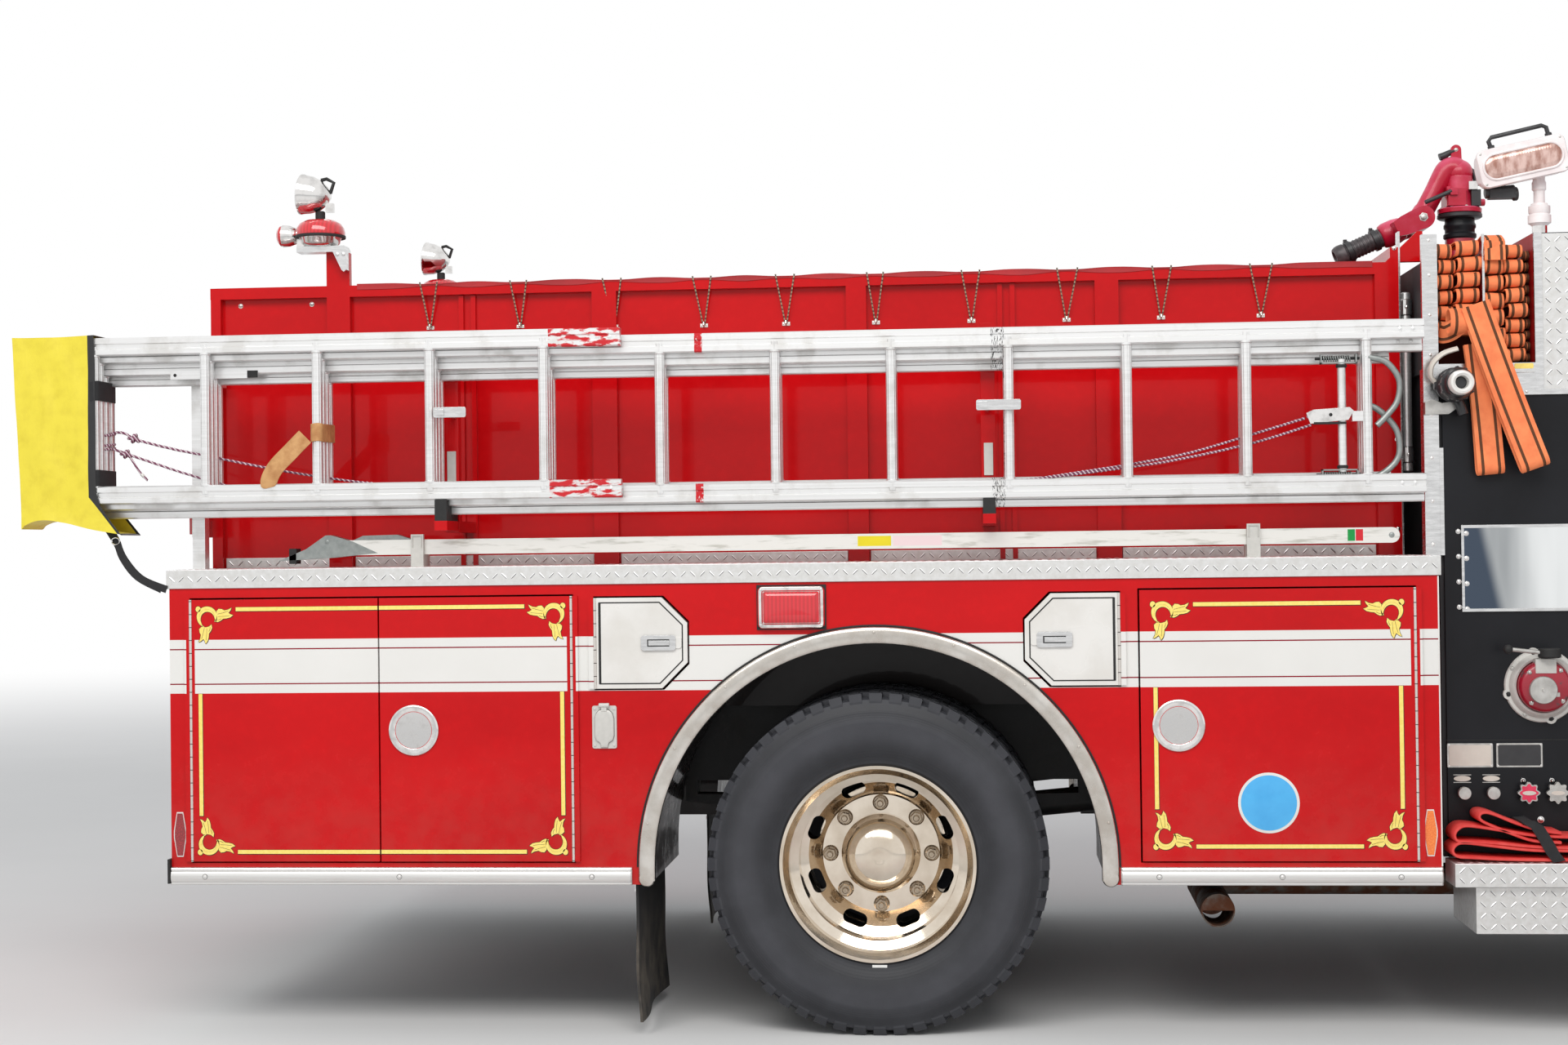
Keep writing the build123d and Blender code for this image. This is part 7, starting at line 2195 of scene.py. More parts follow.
shape.use(ring_black).tube(
    smooth_line(
        [
            (riser_x + 0.030, 0.0, dome_z + 0.034), (riser_x + 0.052, -0.006, dome_z + 0.010),
            (riser_x + 0.058, -0.010, dome_z - 0.030)
        ],
        4
    ),
    0.010, 12
)
shape.use(monitor_paint).rod(
    (riser_x + 0.056, -0.030, ring_z + 0.052), (riser_x + 0.080, -0.030, ring_z + 0.052), 0.0125, 16
)
shape.use(ring_black).rod((at(1.965), -0.066, 2.690), (at(1.874), -0.066, 2.652), 0.0075, 14)
shape.use(monitor_paint).box((at(1.960), -0.072, 2.676), (at(1.985), -0.040, 2.700))
shape.made("monitor_waterway", "monitor_elbow", nodes=["monitor_elbow"], bevel=0.0012, smooth=50)

# Monitor barrel: red trunnion cheeks and inlet, then a ribbed dark barrel with two clamp
# bands and a stepped nozzle.
barrel_dark = Finish("barrel_dark", "panel_black", Metallic=0.3)
worn_off = barrel_dark.noise(40, 6).above(0.55, 0.2)
barrel_dark.worn(worn_off, (62, 58, 60), (98, 92, 94), 0.15, 0.4)
aim = Vector((-0.300, 0, -0.129)).normalized()
upright = Vector((-aim.z, 0, aim.x)) * -1
shape = Shape(monitor_paint, barrel_dark, ring_black, cap_metal)
for side in (-1, 1):
    cheek = [
        (0.0395 * math.cos(t), 0.0395 * math.sin(t))
        for t in (math.radians(90 + 180 * i / 16) for i in range(17))
    ]
    cheek = cheek + [(0.070, -0.034), (0.100, -0.027), (0.100, 0.027), (0.070, 0.034)]
    base = tilt_at + Vector((0, side * 0.0955, 0))
    points = [base + aim * a + upright * b for a, b in cheek]
    shape.use(monitor_paint).slab(points, (0, side * 0.0138, 0))
    bolt(
        shape.use(cap_metal), base + Vector((0, side * 0.0138, 0)), 0.012, 0.007, count=6,
        out=(0, side, 0)
    )
corners = [(0.053, -0.028), (0.099, -0.028), (0.099, 0.028), (0.053, 0.028)]
points = [tilt_at + aim * a + upright * b for a, b in corners]
shape.use(monitor_paint).rings(
    [[p - Vector((0, 0.0955, 0)) for p in points], [p + Vector((0, 0.0955, 0)) for p in points]]
)
inlet = ((0.052, 0.030), (0.060, 0.040), (0.084, 0.0445), (0.120, 0.0445), (0.134, 0.040), (0.138, 0.034))
shape.turned(inlet + ((0.138, 0.0),), tilt_at, aim, 40)
tube = [(0.130, 0.0325)]
for rib in range(9):
    reach = 0.140 + rib * 0.0125
    tube += [(reach, 0.0315), (reach + 0.001, 0.0335), (reach + 0.0045, 0.0335), (reach + 0.0055, 0.0315)]
tube += [(0.268, 0.0315)]
shape.use(barrel_dark).turned(tube, tilt_at, aim, 36)
for reach in (0.150, 0.246):
    shape.use(ring_black).turned(
        ((reach, 0.0335), (reach + 0.001, 0.0385), (reach + 0.018, 0.0385), (reach + 0.019, 0.0335)),
        tilt_at, aim, 36
    )
    ear = tilt_at + aim * (reach + 0.009) + upright * 0.040
    shape.box(ear - Vector((0.006, 0.007, 0.006)), ear + Vector((0.006, 0.007, 0.006)))
nozzle = (
    (0.266, 0.030), (0.272, 0.037), (0.290, 0.038), (0.300, 0.036), (0.309, 0.031), (0.309, 0.024),
    (0.284, 0.020), (0.284, 0.0)
)
shape.use(barrel_dark).turned(nozzle, tilt_at, aim, 36)
shape.made("monitor_barrel_tube", "monitor_barrel", nodes=["monitor_barrel"], bevel=0.0010, smooth=45)

# Flood lamp: a white cast housing tilted up, an oblong ribbed lens, a black lift handle, a black
# swivel, and a bright mast through a two-step collar.
lamp_white = Finish("lamp_housing", "white_paint", Coat_Weight=0.3)
aged = lamp_white.noise(18, 6).above(0.5, 0.3)
lamp_white.worn(aged, (246, 240, 240), (226, 214, 214), 0.15, 0.36)
lamp_lens = Finish("flood_lens", "lamp", Coat_Weight=1.0, Coat_Roughness=0.03, Metallic=0.4)
streaks = lamp_lens.noise(38, 5, (1.2, 1, 0.5)).above(0.5, 0.18)
lamp_lens.worn(streaks, (224, 190, 180), (158, 106, 90), 0.1, 0.12)
flutes = lamp_lens.x.waves(0.004)
lamp_lens.bump(flutes * 100, 0.0006, 0.6)
tilt = math.radians(11.5)
run, rise = Vector((math.cos(tilt), 0, math.sin(tilt))), Vector((-math.sin(tilt), 0, math.cos(tilt)))
head = Vector((at(1.970), 0, 2.624))


def on_head(a, b, y):
    """A place on the lamp's tilted head, a along it and b up it, at that y."""
    return head + run * a + rise * b + Vector((0, y, 0))


def head_outline(y, wide, tall, corner, steps=8):
    """A rounded rectangle square to the lamp's tilted head."""
    outline = rounded(-wide / 2, wide / 2, -tall / 2, tall / 2, corner, steps)
    return [on_head(a, b, y) for a, b in outline]


shape = Shape(lamp_white, lamp_lens, ring_black, chrome, cap_metal)
skin = (
    (-0.942, 0.214, 0.072, 0.030), (-0.950, 0.240, 0.094, 0.030), (-1.000, 0.258, 0.110, 0.027),
    (-1.046, 0.262, 0.113, 0.024), (-1.048, 0.267, 0.117, 0.023), (-1.060, 0.267, 0.117, 0.023),
    (-1.0635, 0.262, 0.112, 0.021),
)
shape.use(lamp_white).rings([head_outline(*ring) for ring in skin])
shape.tube(head_outline(-1.0640, 0.238, 0.078, 0.0385, 10), 0.0042, 8, closed=True)
lens = ((-1.0625, 0.234, 0.074, 0.0365), (-1.0668, 0.226, 0.066, 0.0325), (-1.0688, 0.200, 0.040, 0.0195))
shape.use(lamp_lens).rings([head_outline(*ring, 10) for ring in lens])
for a in (-0.120, 0.120):
    for b in (-0.047, 0.047):
        bolt(shape.use(cap_metal), on_head(a, b, -1.0625), 0.0042, 0.0022)
grip = ((-0.068, 0.060), (-0.072, 0.088), (-0.062, 0.098), (0.092, 0.100), (0.104, 0.092), (0.106, 0.062))
shape.use(ring_black).tube([on_head(a, b, -1.0) for a, b in grip], 0.0068, 12)
for a in (-0.068, 0.106):
    shape.use(ring_black).rod(on_head(a, 0.056, -1.0), on_head(a, 0.074, -1.0), 0.0105, 16)
mast = Vector((at(2.030), -1.000, 0))
shape.use(ring_black).box((at(1.880), -1.020, 2.520), (at(1.958), -0.980, 2.548))
shape.rod((at(1.868), -1.000, 2.537), (at(1.958), -1.000, 2.546), 0.0165, 16)
shape.rod((at(1.950), -1.000, 2.5335), (at(1.966), -1.000, 2.5345), 0.021, 20)
shape.use(lamp_white).turned(
    ((2.500, 0.0165), (2.540, 0.0165), (2.545, 0.021), (2.566, 0.021), (2.572, 0.018), (2.592, 0.018)),
    mast, (0, 0, 1), 24
)
shape.use(chrome).turned(((1.560, 0.021), (1.562, 0.022), (2.436, 0.022)), mast, (0, 0, 1), 32)
collar = (
    (2.4405, 0.030), (2.442, 0.034), (2.466, 0.034), (2.470, 0.029), (2.474, 0.032), (2.494, 0.032),
    (2.496, 0.026), (2.502, 0.024), (2.5025, 0.0)
)
shape.use(lamp_white).turned(((2.434, 0.0225),) + collar, mast, (0, 0, 1), 32)
shape.made("flood_lamp_head", "flood_lamp", nodes=["flood_lamp"], bevel=0.0008, smooth=45)
# Cab: a welded steel shell in the body's red, near-black low down and in the wheel wells, grey trim
# boards and a black rubber floor inside, with panes of clear glass in black rubber seals.
cab_front, cab_rear = at(5.950), at(2.895)
slant = 0.110 / 1.210
cab_coat = Finish("cab_coat", "red_paint", **body_coat)
wash = cab_coat.noise(1.3, 4, (1, 1, 2.2))
band, line = banded(cab_coat)
outside = wash.tint((172, 3, 10), (216, 14, 20))
outside = band.tint(outside, line.tint((228, 227, 223), (140, 8, 34)))
slope_x = cab_coat.x + (cab_coat.z - 1.5).over(0.0) * slant
inside = cab_coat.x.above(cab_rear + 0.049) * (1 - slope_x.above(cab_front - 0.052))
inside = inside * (
    1 - abs(cab_coat.y).above(1.1505)
) * (1 - cab_coat.z.above(2.6615)) * cab_coat.z.above(0.716)
corner_x, corner_y = (slope_x - (cab_front - 0.220)).over(0.0), (abs(cab_coat.y) - 0.980).over(0.0)
inside = inside * (1 - (corner_x * corner_x + corner_y * corner_y).above(0.195 ** 2, 0.0008))
rubber_floor = inside * cab_coat.up.above(0.9, 0.05) * (1 - cab_coat.z.above(1.46))
trimmed = cab_coat.noise(30, 4).tint((112, 114, 118), (128, 130, 134))
look = inside.tint(outside, rubber_floor.tint(trimmed, (34, 34, 36)))
# Near-black below the cab's lower edge, inside the front wheel well, and on low middle faces.
under = 1 - cab_coat.z.above(0.5615)
front_axle_x = at(4.7)
to_axle, to_hub = cab_coat.x - front_axle_x, cab_coat.z - wheel_z
well = (
    1 - (to_axle * to_axle + to_hub * to_hub).above(0.6415 ** 2, 0.0006)
) * (1 - abs(cab_coat.y).above(1.1985))
hidden = under.over(well).over((1 - abs(cab_coat.y).above(0.4455)) * (1 - cab_coat.z.above(0.9615)))
cab_coat.feed(
    Base_Color=hidden.tint(look, (26, 26, 27)),
    Roughness=inside.over(hidden) * 0.45 + cab_coat.noise(38, 4) * 0.1 + 0.18,
)
cab_coat.bump(cab_coat.noise(2.1, 2), 0.004, 0.3)
cab_coat.on("cab_shell")
pane_glass = Finish("cab_pane", "glass", Transmission_Weight=1.0, IOR=1.45, Roughness=0.02)
pane_glass.feed(Base_Color=pane_glass.noise(3, 2).tint((226, 236, 232), (240, 246, 244)))
pane_glass.on("cab_glass")
seal = Finish("window_seal", "rubber", Roughness=0.7)
seal.feed(Base_Color=seal.noise(30, 3).tint((18, 18, 19), (36, 36, 37)))


def sealed(shape, corners, radius, bead=0.011, steps=6):
    """A rubber seal round four corners of an opening, its turns rounded."""
    corners, path = [Vector(c) for c in corners], []
    for i, corner in enumerate(corners):
        before = (corners[i - 1] - corner).normalized() * radius
        after = (corners[(i + 1) % 4] - corner).normalized() * radius
        middle = corner + before + after
        for j in range(steps + 1):
            turn = math.pi / 2 * j / steps
            path.append(middle - after * math.cos(turn) - before * math.sin(turn))
    shape.tube(path, bead, 8, closed=True)


shape = Shape(seal)
for side in (-1, 1):
    glass_at = [
        (cab_front + 0.001 - slant * (z - 1.5), side * y, z)
        for y, z in ((0.060, 1.590), (0.970, 1.590), (0.970, 2.470), (0.060, 2.470))
    ]
    sealed(shape, glass_at, 0.045, 0.013)
    sealed(
        shape,
        [
            (at(x), side * 1.2005, z)
            for x, z in ((4.030, 1.640), (4.690, 1.640), (4.690, 2.320), (4.030, 2.320))
        ],
        0.040
    )
    sealed(
        shape,
        [
            (cab_rear - 0.001, side * y, z)
            for y, z in ((0.220, 1.700), (0.900, 1.700), (0.900, 2.250), (0.220, 2.250))
        ],
        0.040
    )
shape.made("fixed_window_seals")

# Cab doors: pressed steel leaves with a dropping window in a black channel, a paddle handle,
# and the bolts of two hinges on the front edge.
shape_doors = (
    ("front_cab_door", 4.780, 5.640, 4.880, 5.560),
    ("rear_cab_door", 3.130, 3.950, 3.220, 3.860),
)
for name, x0, x1, w0, w1 in shape_doors:
    shape = Shape(cab_coat, pane_glass)
    shape.use(cab_coat).take(name + "_right", lambda low, high: high[1] - low[1] > 0.02)
    shape.use(pane_glass).take(name + "_right", lambda low, high: high[1] - low[1] < 0.02)
    shape.made(name + "_leaf", name + "_right", nodes=[name + "_right"], both=True)
    shape = Shape(seal, chrome, bright, gasket)
    frame_at = [(at(x), -1.2055, z) for x, z in ((w0, 1.560), (w1, 1.560), (w1, 2.320), (w0, 2.320))]
    sealed(shape.use(seal), frame_at, 0.060, 0.009)
    shape.use(chrome).plate(rounded(at(x0) + 0.030, at(x0) + 0.150, 1.397, 1.443, 0.012), -1.2192, 0.0014)
    shape.use(gasket).plate(rounded(at(x0) + 0.040, at(x0) + 0.140, 1.406, 1.434, 0.010), -1.2204, 0.0010)
    shape.use(chrome).plate(rounded(at(x0) + 0.044, at(x0) + 0.136, 1.411, 1.427, 0.006), -1.2210, 0.0050)
    shape.rod((at(x0) + 0.090, -1.205, 1.365), (at(x0) + 0.090, -1.2115, 1.365), 0.013, 20)
    for z in (1.480, 2.200):
        for x in (x1 - 0.062, x1 - 0.030):
            for lift in (-0.032, 0.032):
                bolt(shape.use(chrome), (at(x), -1.2050, z + lift), 0.006, 0.003)
    shape.made(name + "_fittings", name + "_right", bevel=0.0008, both=True, smooth=40)

# Front of the cab: a plated grille of level bars over a dark mesh, paired round headlamps in
# plated housings, and amber turn lamps above them.
mesh_dark = Finish("grille_mesh", "panel_black", Metallic=0.3)
weave = mesh_dark.here.node(
    "TexVoronoi", {"distance": "CHEBYCHEV"}, {"Vector": mesh_dark.here, "Scale": 90.0}
)
mesh_dark.feed(
    Base_Color=weave.above(0.42, 0.04).tint((12, 12, 13), (70, 70, 72)), Roughness=weave * 0.3 + 0.4
)
shape = Shape(chrome, mesh_dark, clear_lens, amber_lens, gasket)
face = cab_front
shape.use(mesh_dark).box((face + 0.0005, -0.4495, 0.861), (face + 0.0050, 0.4495, 1.3695))
for low, high in (
    ((-0.480, 0.830), (0.480, 0.861)), ((-0.480, 1.3695), (0.480, 1.400)),
    ((-0.480, 0.8615), (-0.4495, 1.369)), ((0.4495, 0.8615), (0.480, 1.369))
):
    shape.use(chrome).box((face, low[0], low[1]), (face + 0.014, high[0], high[1]))
for slat in range(9):
    z = 0.895 + slat * 0.055
    section = [(0.0045, -0.010), (0.0135, -0.006), (0.0138, 0.006), (0.0045, 0.010)]
    shape.use(chrome).rings([[(face + a, y, z + b) for a, b in section] for y in (-0.4492, 0.4492)])
for side in (-1, 1):
    for z0, z1 in ((0.900, 1.110), (1.140, 1.270)):
        outline = rounded(0.560, 0.975, z0, z1, 0.018)
        base = [Vector((face, side * a, b)) for a, b in outline]
        inner = [
            Vector(
                (
                    face + 0.014, side * (0.7675 + (a - 0.7675) * 0.985),
                    (z0 + z1) / 2 + (b - (z0 + z1) / 2) * 0.965
                )
            )
            for a, b in outline
        ]
        shape.use(chrome).rings([base, inner])
    for y in (0.665, 0.870):
        lamp_at = Vector((face + 0.013, side * y, 1.005))
        shape.use(chrome).turned(
            ((0, 0.082), (0.010, 0.082), (0.0145, 0.079), (0.0150, 0.074), (0.006, 0.071), (0.004, 0.0)),
            lamp_at, (1, 0, 0), 48
        )
        shape.use(clear_lens).turned(
            ((0.0065, 0.0705), (0.011, 0.066), (0.0142, 0.045), (0.015, 0.0)), lamp_at, (1, 0, 0), 48
        )
    outline = rounded(0.580, 0.955, 1.156, 1.254, 0.014)
    base = [Vector((face + 0.0138, side * a, b)) for a, b in outline]
    shape.use(amber_lens).rings(
        [
            base,
            [
                Vector(
                    (
                        face + 0.022, side * (0.7675 + (p.y * side - 0.7675) * 0.97),
                        1.205 + (p.z - 1.205) * 0.92
                    )
                )
                for p in base
            ]
        ]
    )
shape.made("cab_front_lamps", nodes=["cab_grille"], bevel=0.0006, smooth=40)

# Wipers: a black arm and blade parked low on each windshield pane.
shape = Shape(gasket, chrome)
for side in (-1, 1):
    pivot = Vector((cab_front - slant * 0.060 + 0.002, side * 0.30, 1.545))
    shape.use(chrome).rod(pivot - Vector((0.004, 0, 0)), pivot + Vector((0.016, 0, 0.002)), 0.012, 16)
    tip = Vector((cab_front - slant * 0.17 + 0.022, side * 0.66, 1.665))
    shape.use(gasket).tube(
        [pivot + Vector((0.012, 0, 0)), tip.lerp(pivot, 0.5) + Vector((0.010, 0, 0.01)), tip], 0.0058, 8
    )
    ends = [
        Vector((cab_front - slant * (z - 1.5) + 0.013, side * y, z))
        for y, z in ((0.40, 1.598), (0.90, 1.744))
    ]
    shape.tube([ends[0], ends[0].lerp(ends[1], 0.5), ends[1]], 0.0065, 8, flat=0.6)
shape.made("windshield_wipers", smooth=40)

# Front bumper: polished steel plate wrapped round the cab's front, decked with tread plate.
bumper_steel = Finish("bumper_steel", "bright_trim", Metallic=1.0)
mottle = bumper_steel.noise(5, 5).above(0.55, 0.3)
bumper_steel.worn(mottle, (232, 232, 232), (212, 212, 212), 0.12, 0.08)
shape = Shape(bumper_steel).take("front_bumper")
shape.made("front_bumper_shell", nodes=["front_bumper"], bevel=0.003, smooth=30)
shape = Shape(tread_plate)
shape.lugs(
    (at(5.962), -1.080, 0.760), (at(6.280), 1.080, 0.760), (0, 0, 1), 0.036, (0.032, 0.007, 0.0016)
)
shape.made("bumper_deck_tread")

# Light bar: red lenses on both sides of a clear middle, over a bright base on two feet.
shape = Shape(chrome, red_lens, clear_lens, gasket)
bar = ((-0.760, -0.2605, red_lens), (-0.260, 0.260, clear_lens), (0.2605, 0.760, red_lens))
for y0, y1, tone in bar:
    dome = []
    for i in range(15):
        turn = math.pi * i / 14
        dome.append(
            (
                at(5.395) + 0.143 * math.cos(turn) * (0.75 + 0.25 * abs(math.cos(turn))),
                2.790 + 0.100 * math.sin(turn) ** 0.6
            )
        )
    rings = []
    for y, size in ((y0, 0.96), (y0 + 0.006, 1.0), (y1 - 0.006, 1.0), (y1, 0.96)):
        rings.append(
            [(at(5.395) + (x - at(5.395)) * size, y, 2.790 + (z - 2.790) * size) for x, z in dome]
        )
    shape.use(tone).rings(rings)
shape.use(chrome).box((at(5.250), -0.760, 2.752), (at(5.540), 0.760, 2.7895))
for side in (-1, 1):
    shape.use(gasket).box((at(5.310), side * 0.520, 2.710), (at(5.480), side * 0.640, 2.7515))
shape.made("roof_light_bar", nodes=["light_bar"], bevel=0.002, smooth=40)

# Mirrors: black shells on plated tube arms, each with a flat glass towards the rear.
mirror_glass = Finish("mirror_glass", "mirror", Metallic=1.0)
mirror_glass.mottled(3, (222, 228, 230), (236, 240, 242), (12, 0.03, 0.01), 2)
shape = Shape(nozzle_black, mirror_glass, chrome)
for z in (1.620, 2.080):
    shape.use(chrome).rod((at(5.717), -1.200, z), (at(5.717), -1.340, z), 0.010, 16)
    shape.rod((at(5.717), -1.1995, z), (at(5.717), -1.206, z), 0.022, 20)
shape.use(chrome).rod((at(5.717), -1.340, 1.600), (at(5.717), -1.340, 2.100), 0.011, 16)
shell = []
for x, grow in ((at(5.7005), 1.0), (at(5.716), 1.0), (at(5.728), 0.93), (at(5.7350), 0.78)):
    middle = (-1.3175, 1.855)
    outline = rounded(-0.082 * grow, 0.082 * grow, -0.194 * grow, 0.194 * grow, 0.030 * grow)
    shell.append([(x, middle[0] + a, middle[1] + b) for a, b in outline])
shape.use(nozzle_black).rings(shell)
glass = [
    Vector((at(5.7003), -1.3175 + a * 0.92, 1.855 + b * 0.96))
    for a, b in rounded(-0.082, 0.082, -0.194, 0.194, 0.030)
]
shape.use(mirror_glass).slab(glass, (-0.0002, 0, 0))
shape.made("door_mirrors", nodes=["mirrors"], both=True, smooth=40)

# Seats: foam cushions and backs under grey woven covers with piped seams, on steel boxes.
seat_cloth = Finish("seat_cloth", "seat_fabric", Roughness=0.92, Specular_IOR_Level=0.2)
worn = seat_cloth.noise(9, 5).above(0.5, 0.3)
seat_cloth.feed(Base_Color=worn.tint((64, 66, 72), (88, 90, 96)))
seat_cloth.bump(seat_cloth.noise(420, 3), 0.0006, 0.6)
piping = Finish("seat_piping", "seat_fabric", Roughness=0.7)
piping.feed(Base_Color=piping.noise(60, 3).tint((26, 26, 28), (44, 44, 46)))
box_steel = Finish("seat_box", "plastic")
box_steel.mottled(16, (50, 50, 53), (66, 66, 69), (40, 0.2, 0.4), 4)


def cushion(name, low, high, swell):
    """A crowned pad between two corners, fuller in the middle than at its seams."""
    shape = Shape(seat_cloth, piping)
    low, high = Vector(low), Vector(high)
    middle, half = (low + high) / 2, (high - low) / 2
    flat = min(range(3), key=lambda i: half[i])
    axes = [i for i in range(3) if i != flat]
    rows, around = 14, 40
    rings = []
    for i in range(rows + 1):
        turn = math.pi * i / rows
        lift, spread = math.cos(turn), abs(math.sin(turn)) ** 0.28
        ring = []
        for t in circle(around):
            c, s = math.cos(t), math.sin(t)
            a, b = math.copysign(abs(c) ** 0.32, c), math.copysign(abs(s) ** 0.32, s)
            pull = 1 - 0.035 * (abs(c * s) * 2) ** 4 - swell * 0.2 * abs(
                math.sin(2 * t)
            ) * (1 - abs(lift))
            point = Vector(middle)
            point[axes[0]] += half[axes[0]] * a * spread * pull * 0.985
            point[axes[1]] += half[axes[1]] * b * spread * pull * 0.985
            level = math.copysign(abs(lift) ** 0.55, lift)
            point[flat] += half[flat] * level * 0.97
            ring.append(point)
        rings.append(ring)
    shape.use(seat_cloth).rings(rings)
    for level in (0.55, -0.55):
        seam = []
        for t in circle(48):
            c, s = math.cos(t), math.sin(t)
            a, b = math.copysign(abs(c) ** 0.32, c), math.copysign(abs(s) ** 0.32, s)
            point = Vector(middle)
            reach = 0.965 * (1 - 0.03 * (abs(c * s) * 2) ** 4)
            point[axes[0]] += half[axes[0]] * a * reach
            point[axes[1]] += half[axes[1]] * b * reach
            point[flat] += half[flat] * level
            seam.append(point)
        shape.use(piping).tube(seam, 0.0042, 6, closed=True)
    pad = shape.made(name, smooth=60, nodes=["seats"])


seat_boxes = Shape(box_steel, chrome)
for row, x, y, floor_z, rise in (
    ("front", 5.130, 0.640, 1.240, 0.320), ("rear_outer", 3.240, 0.870, 0.720, 0.440),
    ("rear_inner", 3.240, 0.330, 1.010, 0.150)
):
    for side, word in ((-1, "right"), (1, "left")):
        top, middle = floor_z + rise, side * y
        seat_boxes.use(box_steel).box(
            (at(x - 0.200), middle - 0.190, floor_z), (at(x + 0.220), middle + 0.190, top - 0.0005)
        )
        cushion(
            f"{row}_seat_{word}_cushion", (at(x - 0.148), middle - 0.240, top),
            (at(x + 0.250), middle + 0.240, top + 0.110), 0.5
        )
        cushion(
            f"{row}_seat_{word}_back", (at(x - 0.290), middle - 0.240, top + 0.060),
            (at(x - 0.150), middle + 0.240, top + 0.760), 0.5
        )
        seat_boxes.use(chrome).box(
            (at(x - 0.225), middle + side * 0.2405 - 0.002, top + 0.02),
            (at(x - 0.16), middle + side * 0.2405 + 0.002, top + 0.22)
        )
seat_boxes.made("seat_boxes", nodes=["seats"], bevel=0.004, smooth=40)

# Dashboard: a moulded board with a hooded gauge cluster and a dark column to the wheel, whose
# rim is bare moulded plastic on two spokes.
dash_plastic = Finish("dash_plastic", "plastic", Specular_IOR_Level=0.35)
dash_plastic.mottled(22, (40, 40, 43), (56, 56, 59), (60, 0.15, 0.5), 4)
dash_plastic.bump(dash_plastic.noise(500, 3), 0.0003, 0.6)
shape = Shape(dash_plastic, dial_white, gasket, valve_red).take("dashboard")
cluster = [
    Vector((at(5.655), 0.640 + a, 1.500 + b))
    for a, b in (
        (-0.22, -0.004), (0.22, -0.004), (0.21, 0.10), (0.16, 0.135), (-0.16, 0.135), (-0.21, 0.10)
    )
]
shape.use(dash_plastic).slab(cluster, (0.12, 0, -0.012))
for y in (0.530, 0.640, 0.750):
    dial_at = Vector((at(5.6545), y, 1.562))
    shape.use(gasket).turned(((0, 0.047), (0.004, 0.047), (0.005, 0.042)), dial_at, (-1, 0, 0), 32)
    shape.use(dial_white).turned(
        ((0.0030, 0.041), (0.0035, 0.041), (0.0036, 0.0)), dial_at, (-1, 0, 0), 32
    )
    shape.use(valve_red).rod(
        dial_at + Vector((-0.0045, 0, 0)), dial_at + Vector((-0.0045, -0.020, 0.024)), 0.0016, 6
    )
shape.made("dashboard_board", nodes=["dashboard"], smooth=35)
column_foot, column_top = Vector((at(5.660), 0.640, 1.450)), Vector((at(5.470), 0.640, 1.800))
axis = (column_top - column_foot).normalized()
hub = column_top + axis * 0.030
across = Vector((0, 1, 0))
other = axis.cross(across)
shape = Shape(nozzle_black, gasket)
rim = [hub + (across * math.cos(t) + other * math.sin(t)) * 0.215 for t in circle(48)]
shape.use(nozzle_black).tube(rim, 0.0148, 14, closed=True)
shape.use(gasket).turned(
    ((-0.028, 0.040), (-0.020, 0.045), (0.010, 0.045), (0.020, 0.040), (0.026, 0.022), (0.028, 0.0)), hub,
    axis, 32
)
for side in (-1, 1):
    shape.use(nozzle_black).tube(
        [
            hub + across * side * 0.040, hub + across * side * 0.120 - axis * 0.002,
            hub + across * side * 0.205
        ],
        [0.017, 0.014, 0.012], 12, flat=0.45
    )
shape.made("steering_wheel_rim", "steering_wheel", nodes=["steering_wheel"], smooth=50)

# Rear locker door: a flush painted pan between the pods, with a round latch.
shape = Shape(red_paint, chrome, gasket)
door_x = at(-2.182) + 0.330 - 0.008
shape.use(red_paint).box((door_x, -0.395, 1.015), (door_x + 0.040, 0.395, 1.375))
shape.use(chrome).rod((door_x, 0.395, 1.015), (door_x, 0.395, 1.375), 0.0045, 12)
latch = ((-0.001, 0.070), (0.003, 0.070), (0.005, 0.066), (0.004, 0.056), (0.0005, 0.052), (0.0005, 0.0))
shape.turned(latch, (door_x, -0.285, 1.195), (-1, 0, 0), 48)
shape.box((door_x - 0.005, -0.325, 1.188), (door_x - 0.0005, -0.245, 1.202))
shape.made("rear_locker_door_pan", "rear_locker_door", nodes=["rear_locker_door"], bevel=0.002, smooth=40)
# Stage: a pale studio floor that fades to white, one wide soft light overhead in front of
# the right side, and an even white surround.
floor_paint = bpy.data.materials.new("studio_floor")
floor_paint.use_nodes = True
tree = floor_paint.node_tree
place = Wire(tree).node("TexCoord", output="Object")
far = place.node("VectorMath", {"operation": "LENGTH"}, {0: place}, output=1).above(16.0, 9.0)
cloud = place.node("TexNoise", None, {"Vector": place, "Scale": 0.8, "Detail": 4.0})
paint = tree.nodes["Principled BSDF"]
paint.inputs["Roughness"].default_value = 0.85
paint.inputs["Specular IOR Level"].default_value = 0.2
tree.links.new(cloud.tint((226, 226, 226), (234, 234, 234)).socket, paint.inputs["Base Color"])
glow = place.node("Emission", None, {"Color": (1, 1, 1, 1), "Strength": 1.0})
blend = place.node("MixShader", None, {0: far, 1: Wire(tree, paint.outputs[0]), 2: glow})
tree.links.new(blend.socket, tree.nodes["Material Output"].inputs["Surface"])
shape = bmesh.new()
bmesh.ops.create_grid(shape, x_segments=1, y_segments=1, size=45)
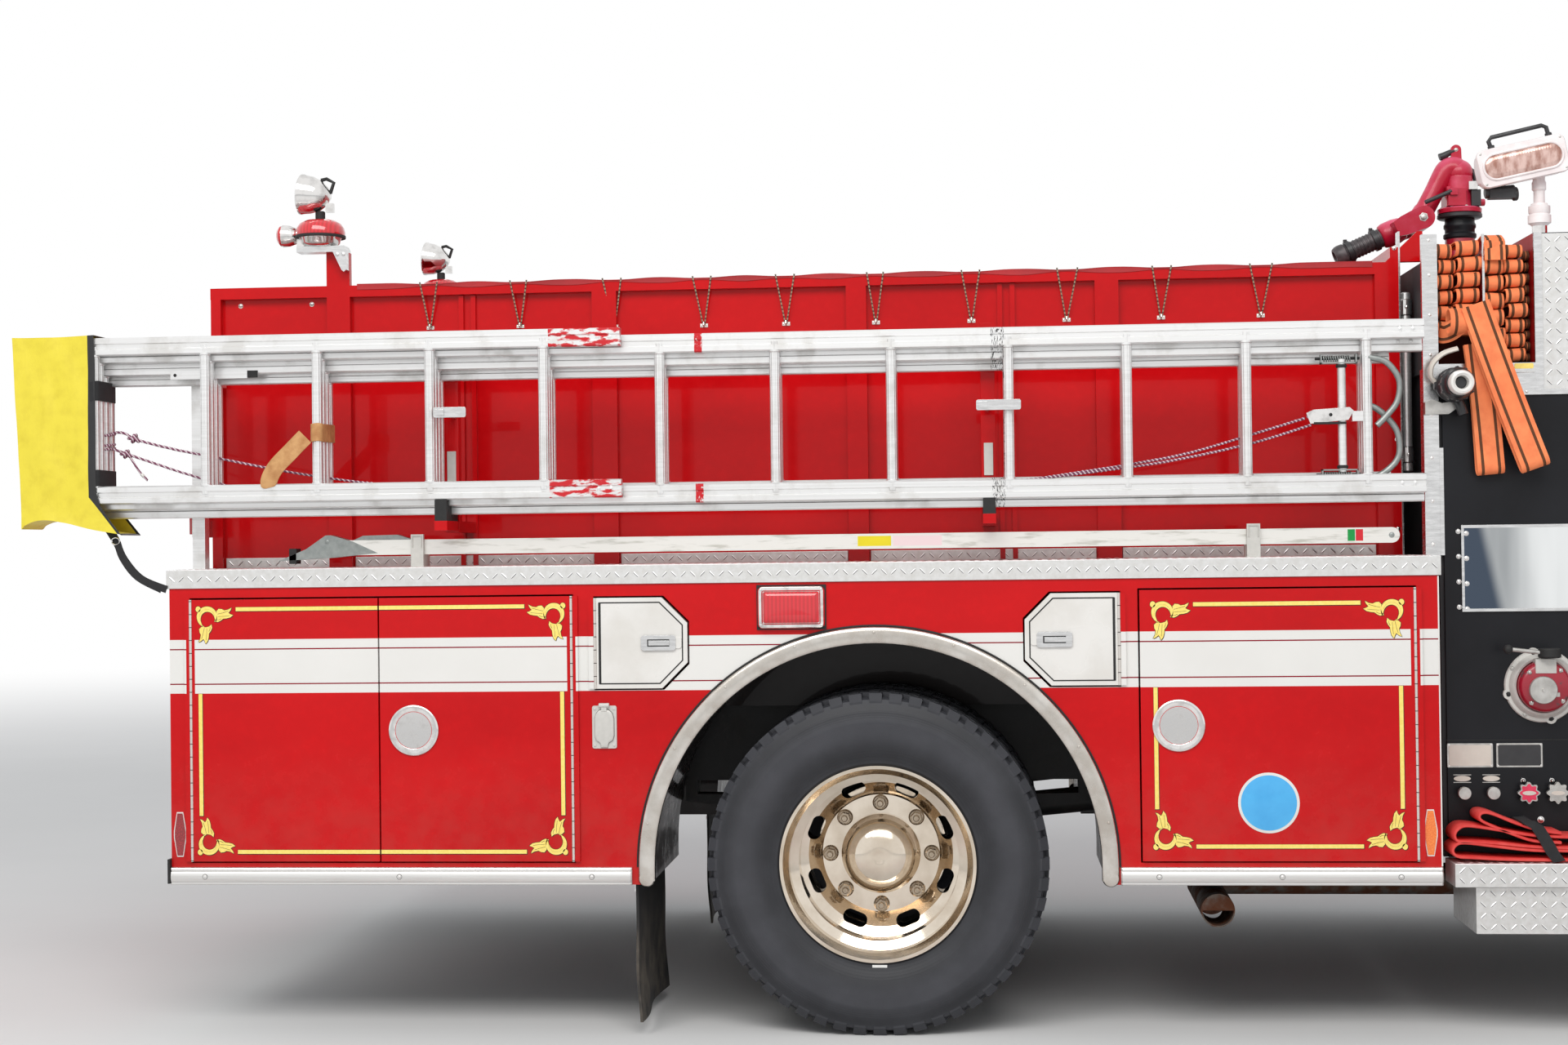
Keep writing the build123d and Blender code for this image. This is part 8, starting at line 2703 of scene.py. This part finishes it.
data = bpy.data.meshes.new("studio_floor")
shape.to_mesh(data)
shape.free()
data.materials.append(floor_paint)
floor = bpy.data.objects.new("studio_floor", data)
bpy.context.scene.collection.objects.link(floor)

world = bpy.data.worlds.new("studio")
bpy.context.scene.world = world
world.use_nodes = True
tree = world.node_tree
seen = Wire(tree).node("LightPath", output=0)
for output in (3, 6):
    seen = seen.over(Wire(tree).node("LightPath", output=output))
soft = tree.nodes["Background"]
soft.inputs["Color"].default_value = (0.96, 0.98, 1.0, 1.0)
soft.inputs["Strength"].default_value = 0.58
white = seen.node("Background", None, {"Color": (1, 1, 1, 1), "Strength": 1.0})
blend = seen.node("MixShader", None, {0: seen, 1: Wire(tree, soft.outputs[0]), 2: white})
tree.links.new(blend.socket, tree.nodes["World Output"].inputs["Surface"])

key = bpy.data.lights.new("key", "AREA")
key.shape, key.size, key.size_y, key.energy = "RECTANGLE", 9.0, 4.0, 590.0
key.color = (1.0, 0.985, 0.96)
lamp = bpy.data.objects.new("key", key)
lamp.location = (-2.5, -7.5, 7.5)
lamp.rotation_euler = (Vector((-1.4, 0, 0.9)) - Vector(lamp.location)).to_track_quat("-Z", "Y").to_euler()
bpy.context.scene.collection.objects.link(lamp)

# Camera where the photograph was taken from, level with the waist of the body.
yaw, pitch, roll = 0.0857, 0.0109, 0.0123
ahead = Vector((-math.sin(yaw) * math.cos(pitch), math.cos(yaw) * math.cos(pitch), math.sin(pitch)))
right = Vector((math.cos(yaw), math.sin(yaw), 0))
above = right.cross(ahead)
across = right * math.cos(roll) - above * math.sin(roll)
upward = above * math.cos(roll) + right * math.sin(roll)
lens = bpy.data.cameras.new("camera")
lens.sensor_width, lens.lens = 36.0, 51.54
camera = bpy.data.objects.new("camera", lens)
camera.matrix_world = Matrix((across, upward, -ahead)).transposed().to_4x4()
camera.location = (at(0.3136), -7.9882, 1.4865)
bpy.context.scene.collection.objects.link(camera)
bpy.context.scene.camera = camera
bpy.context.scene.view_settings.view_transform = "Standard"
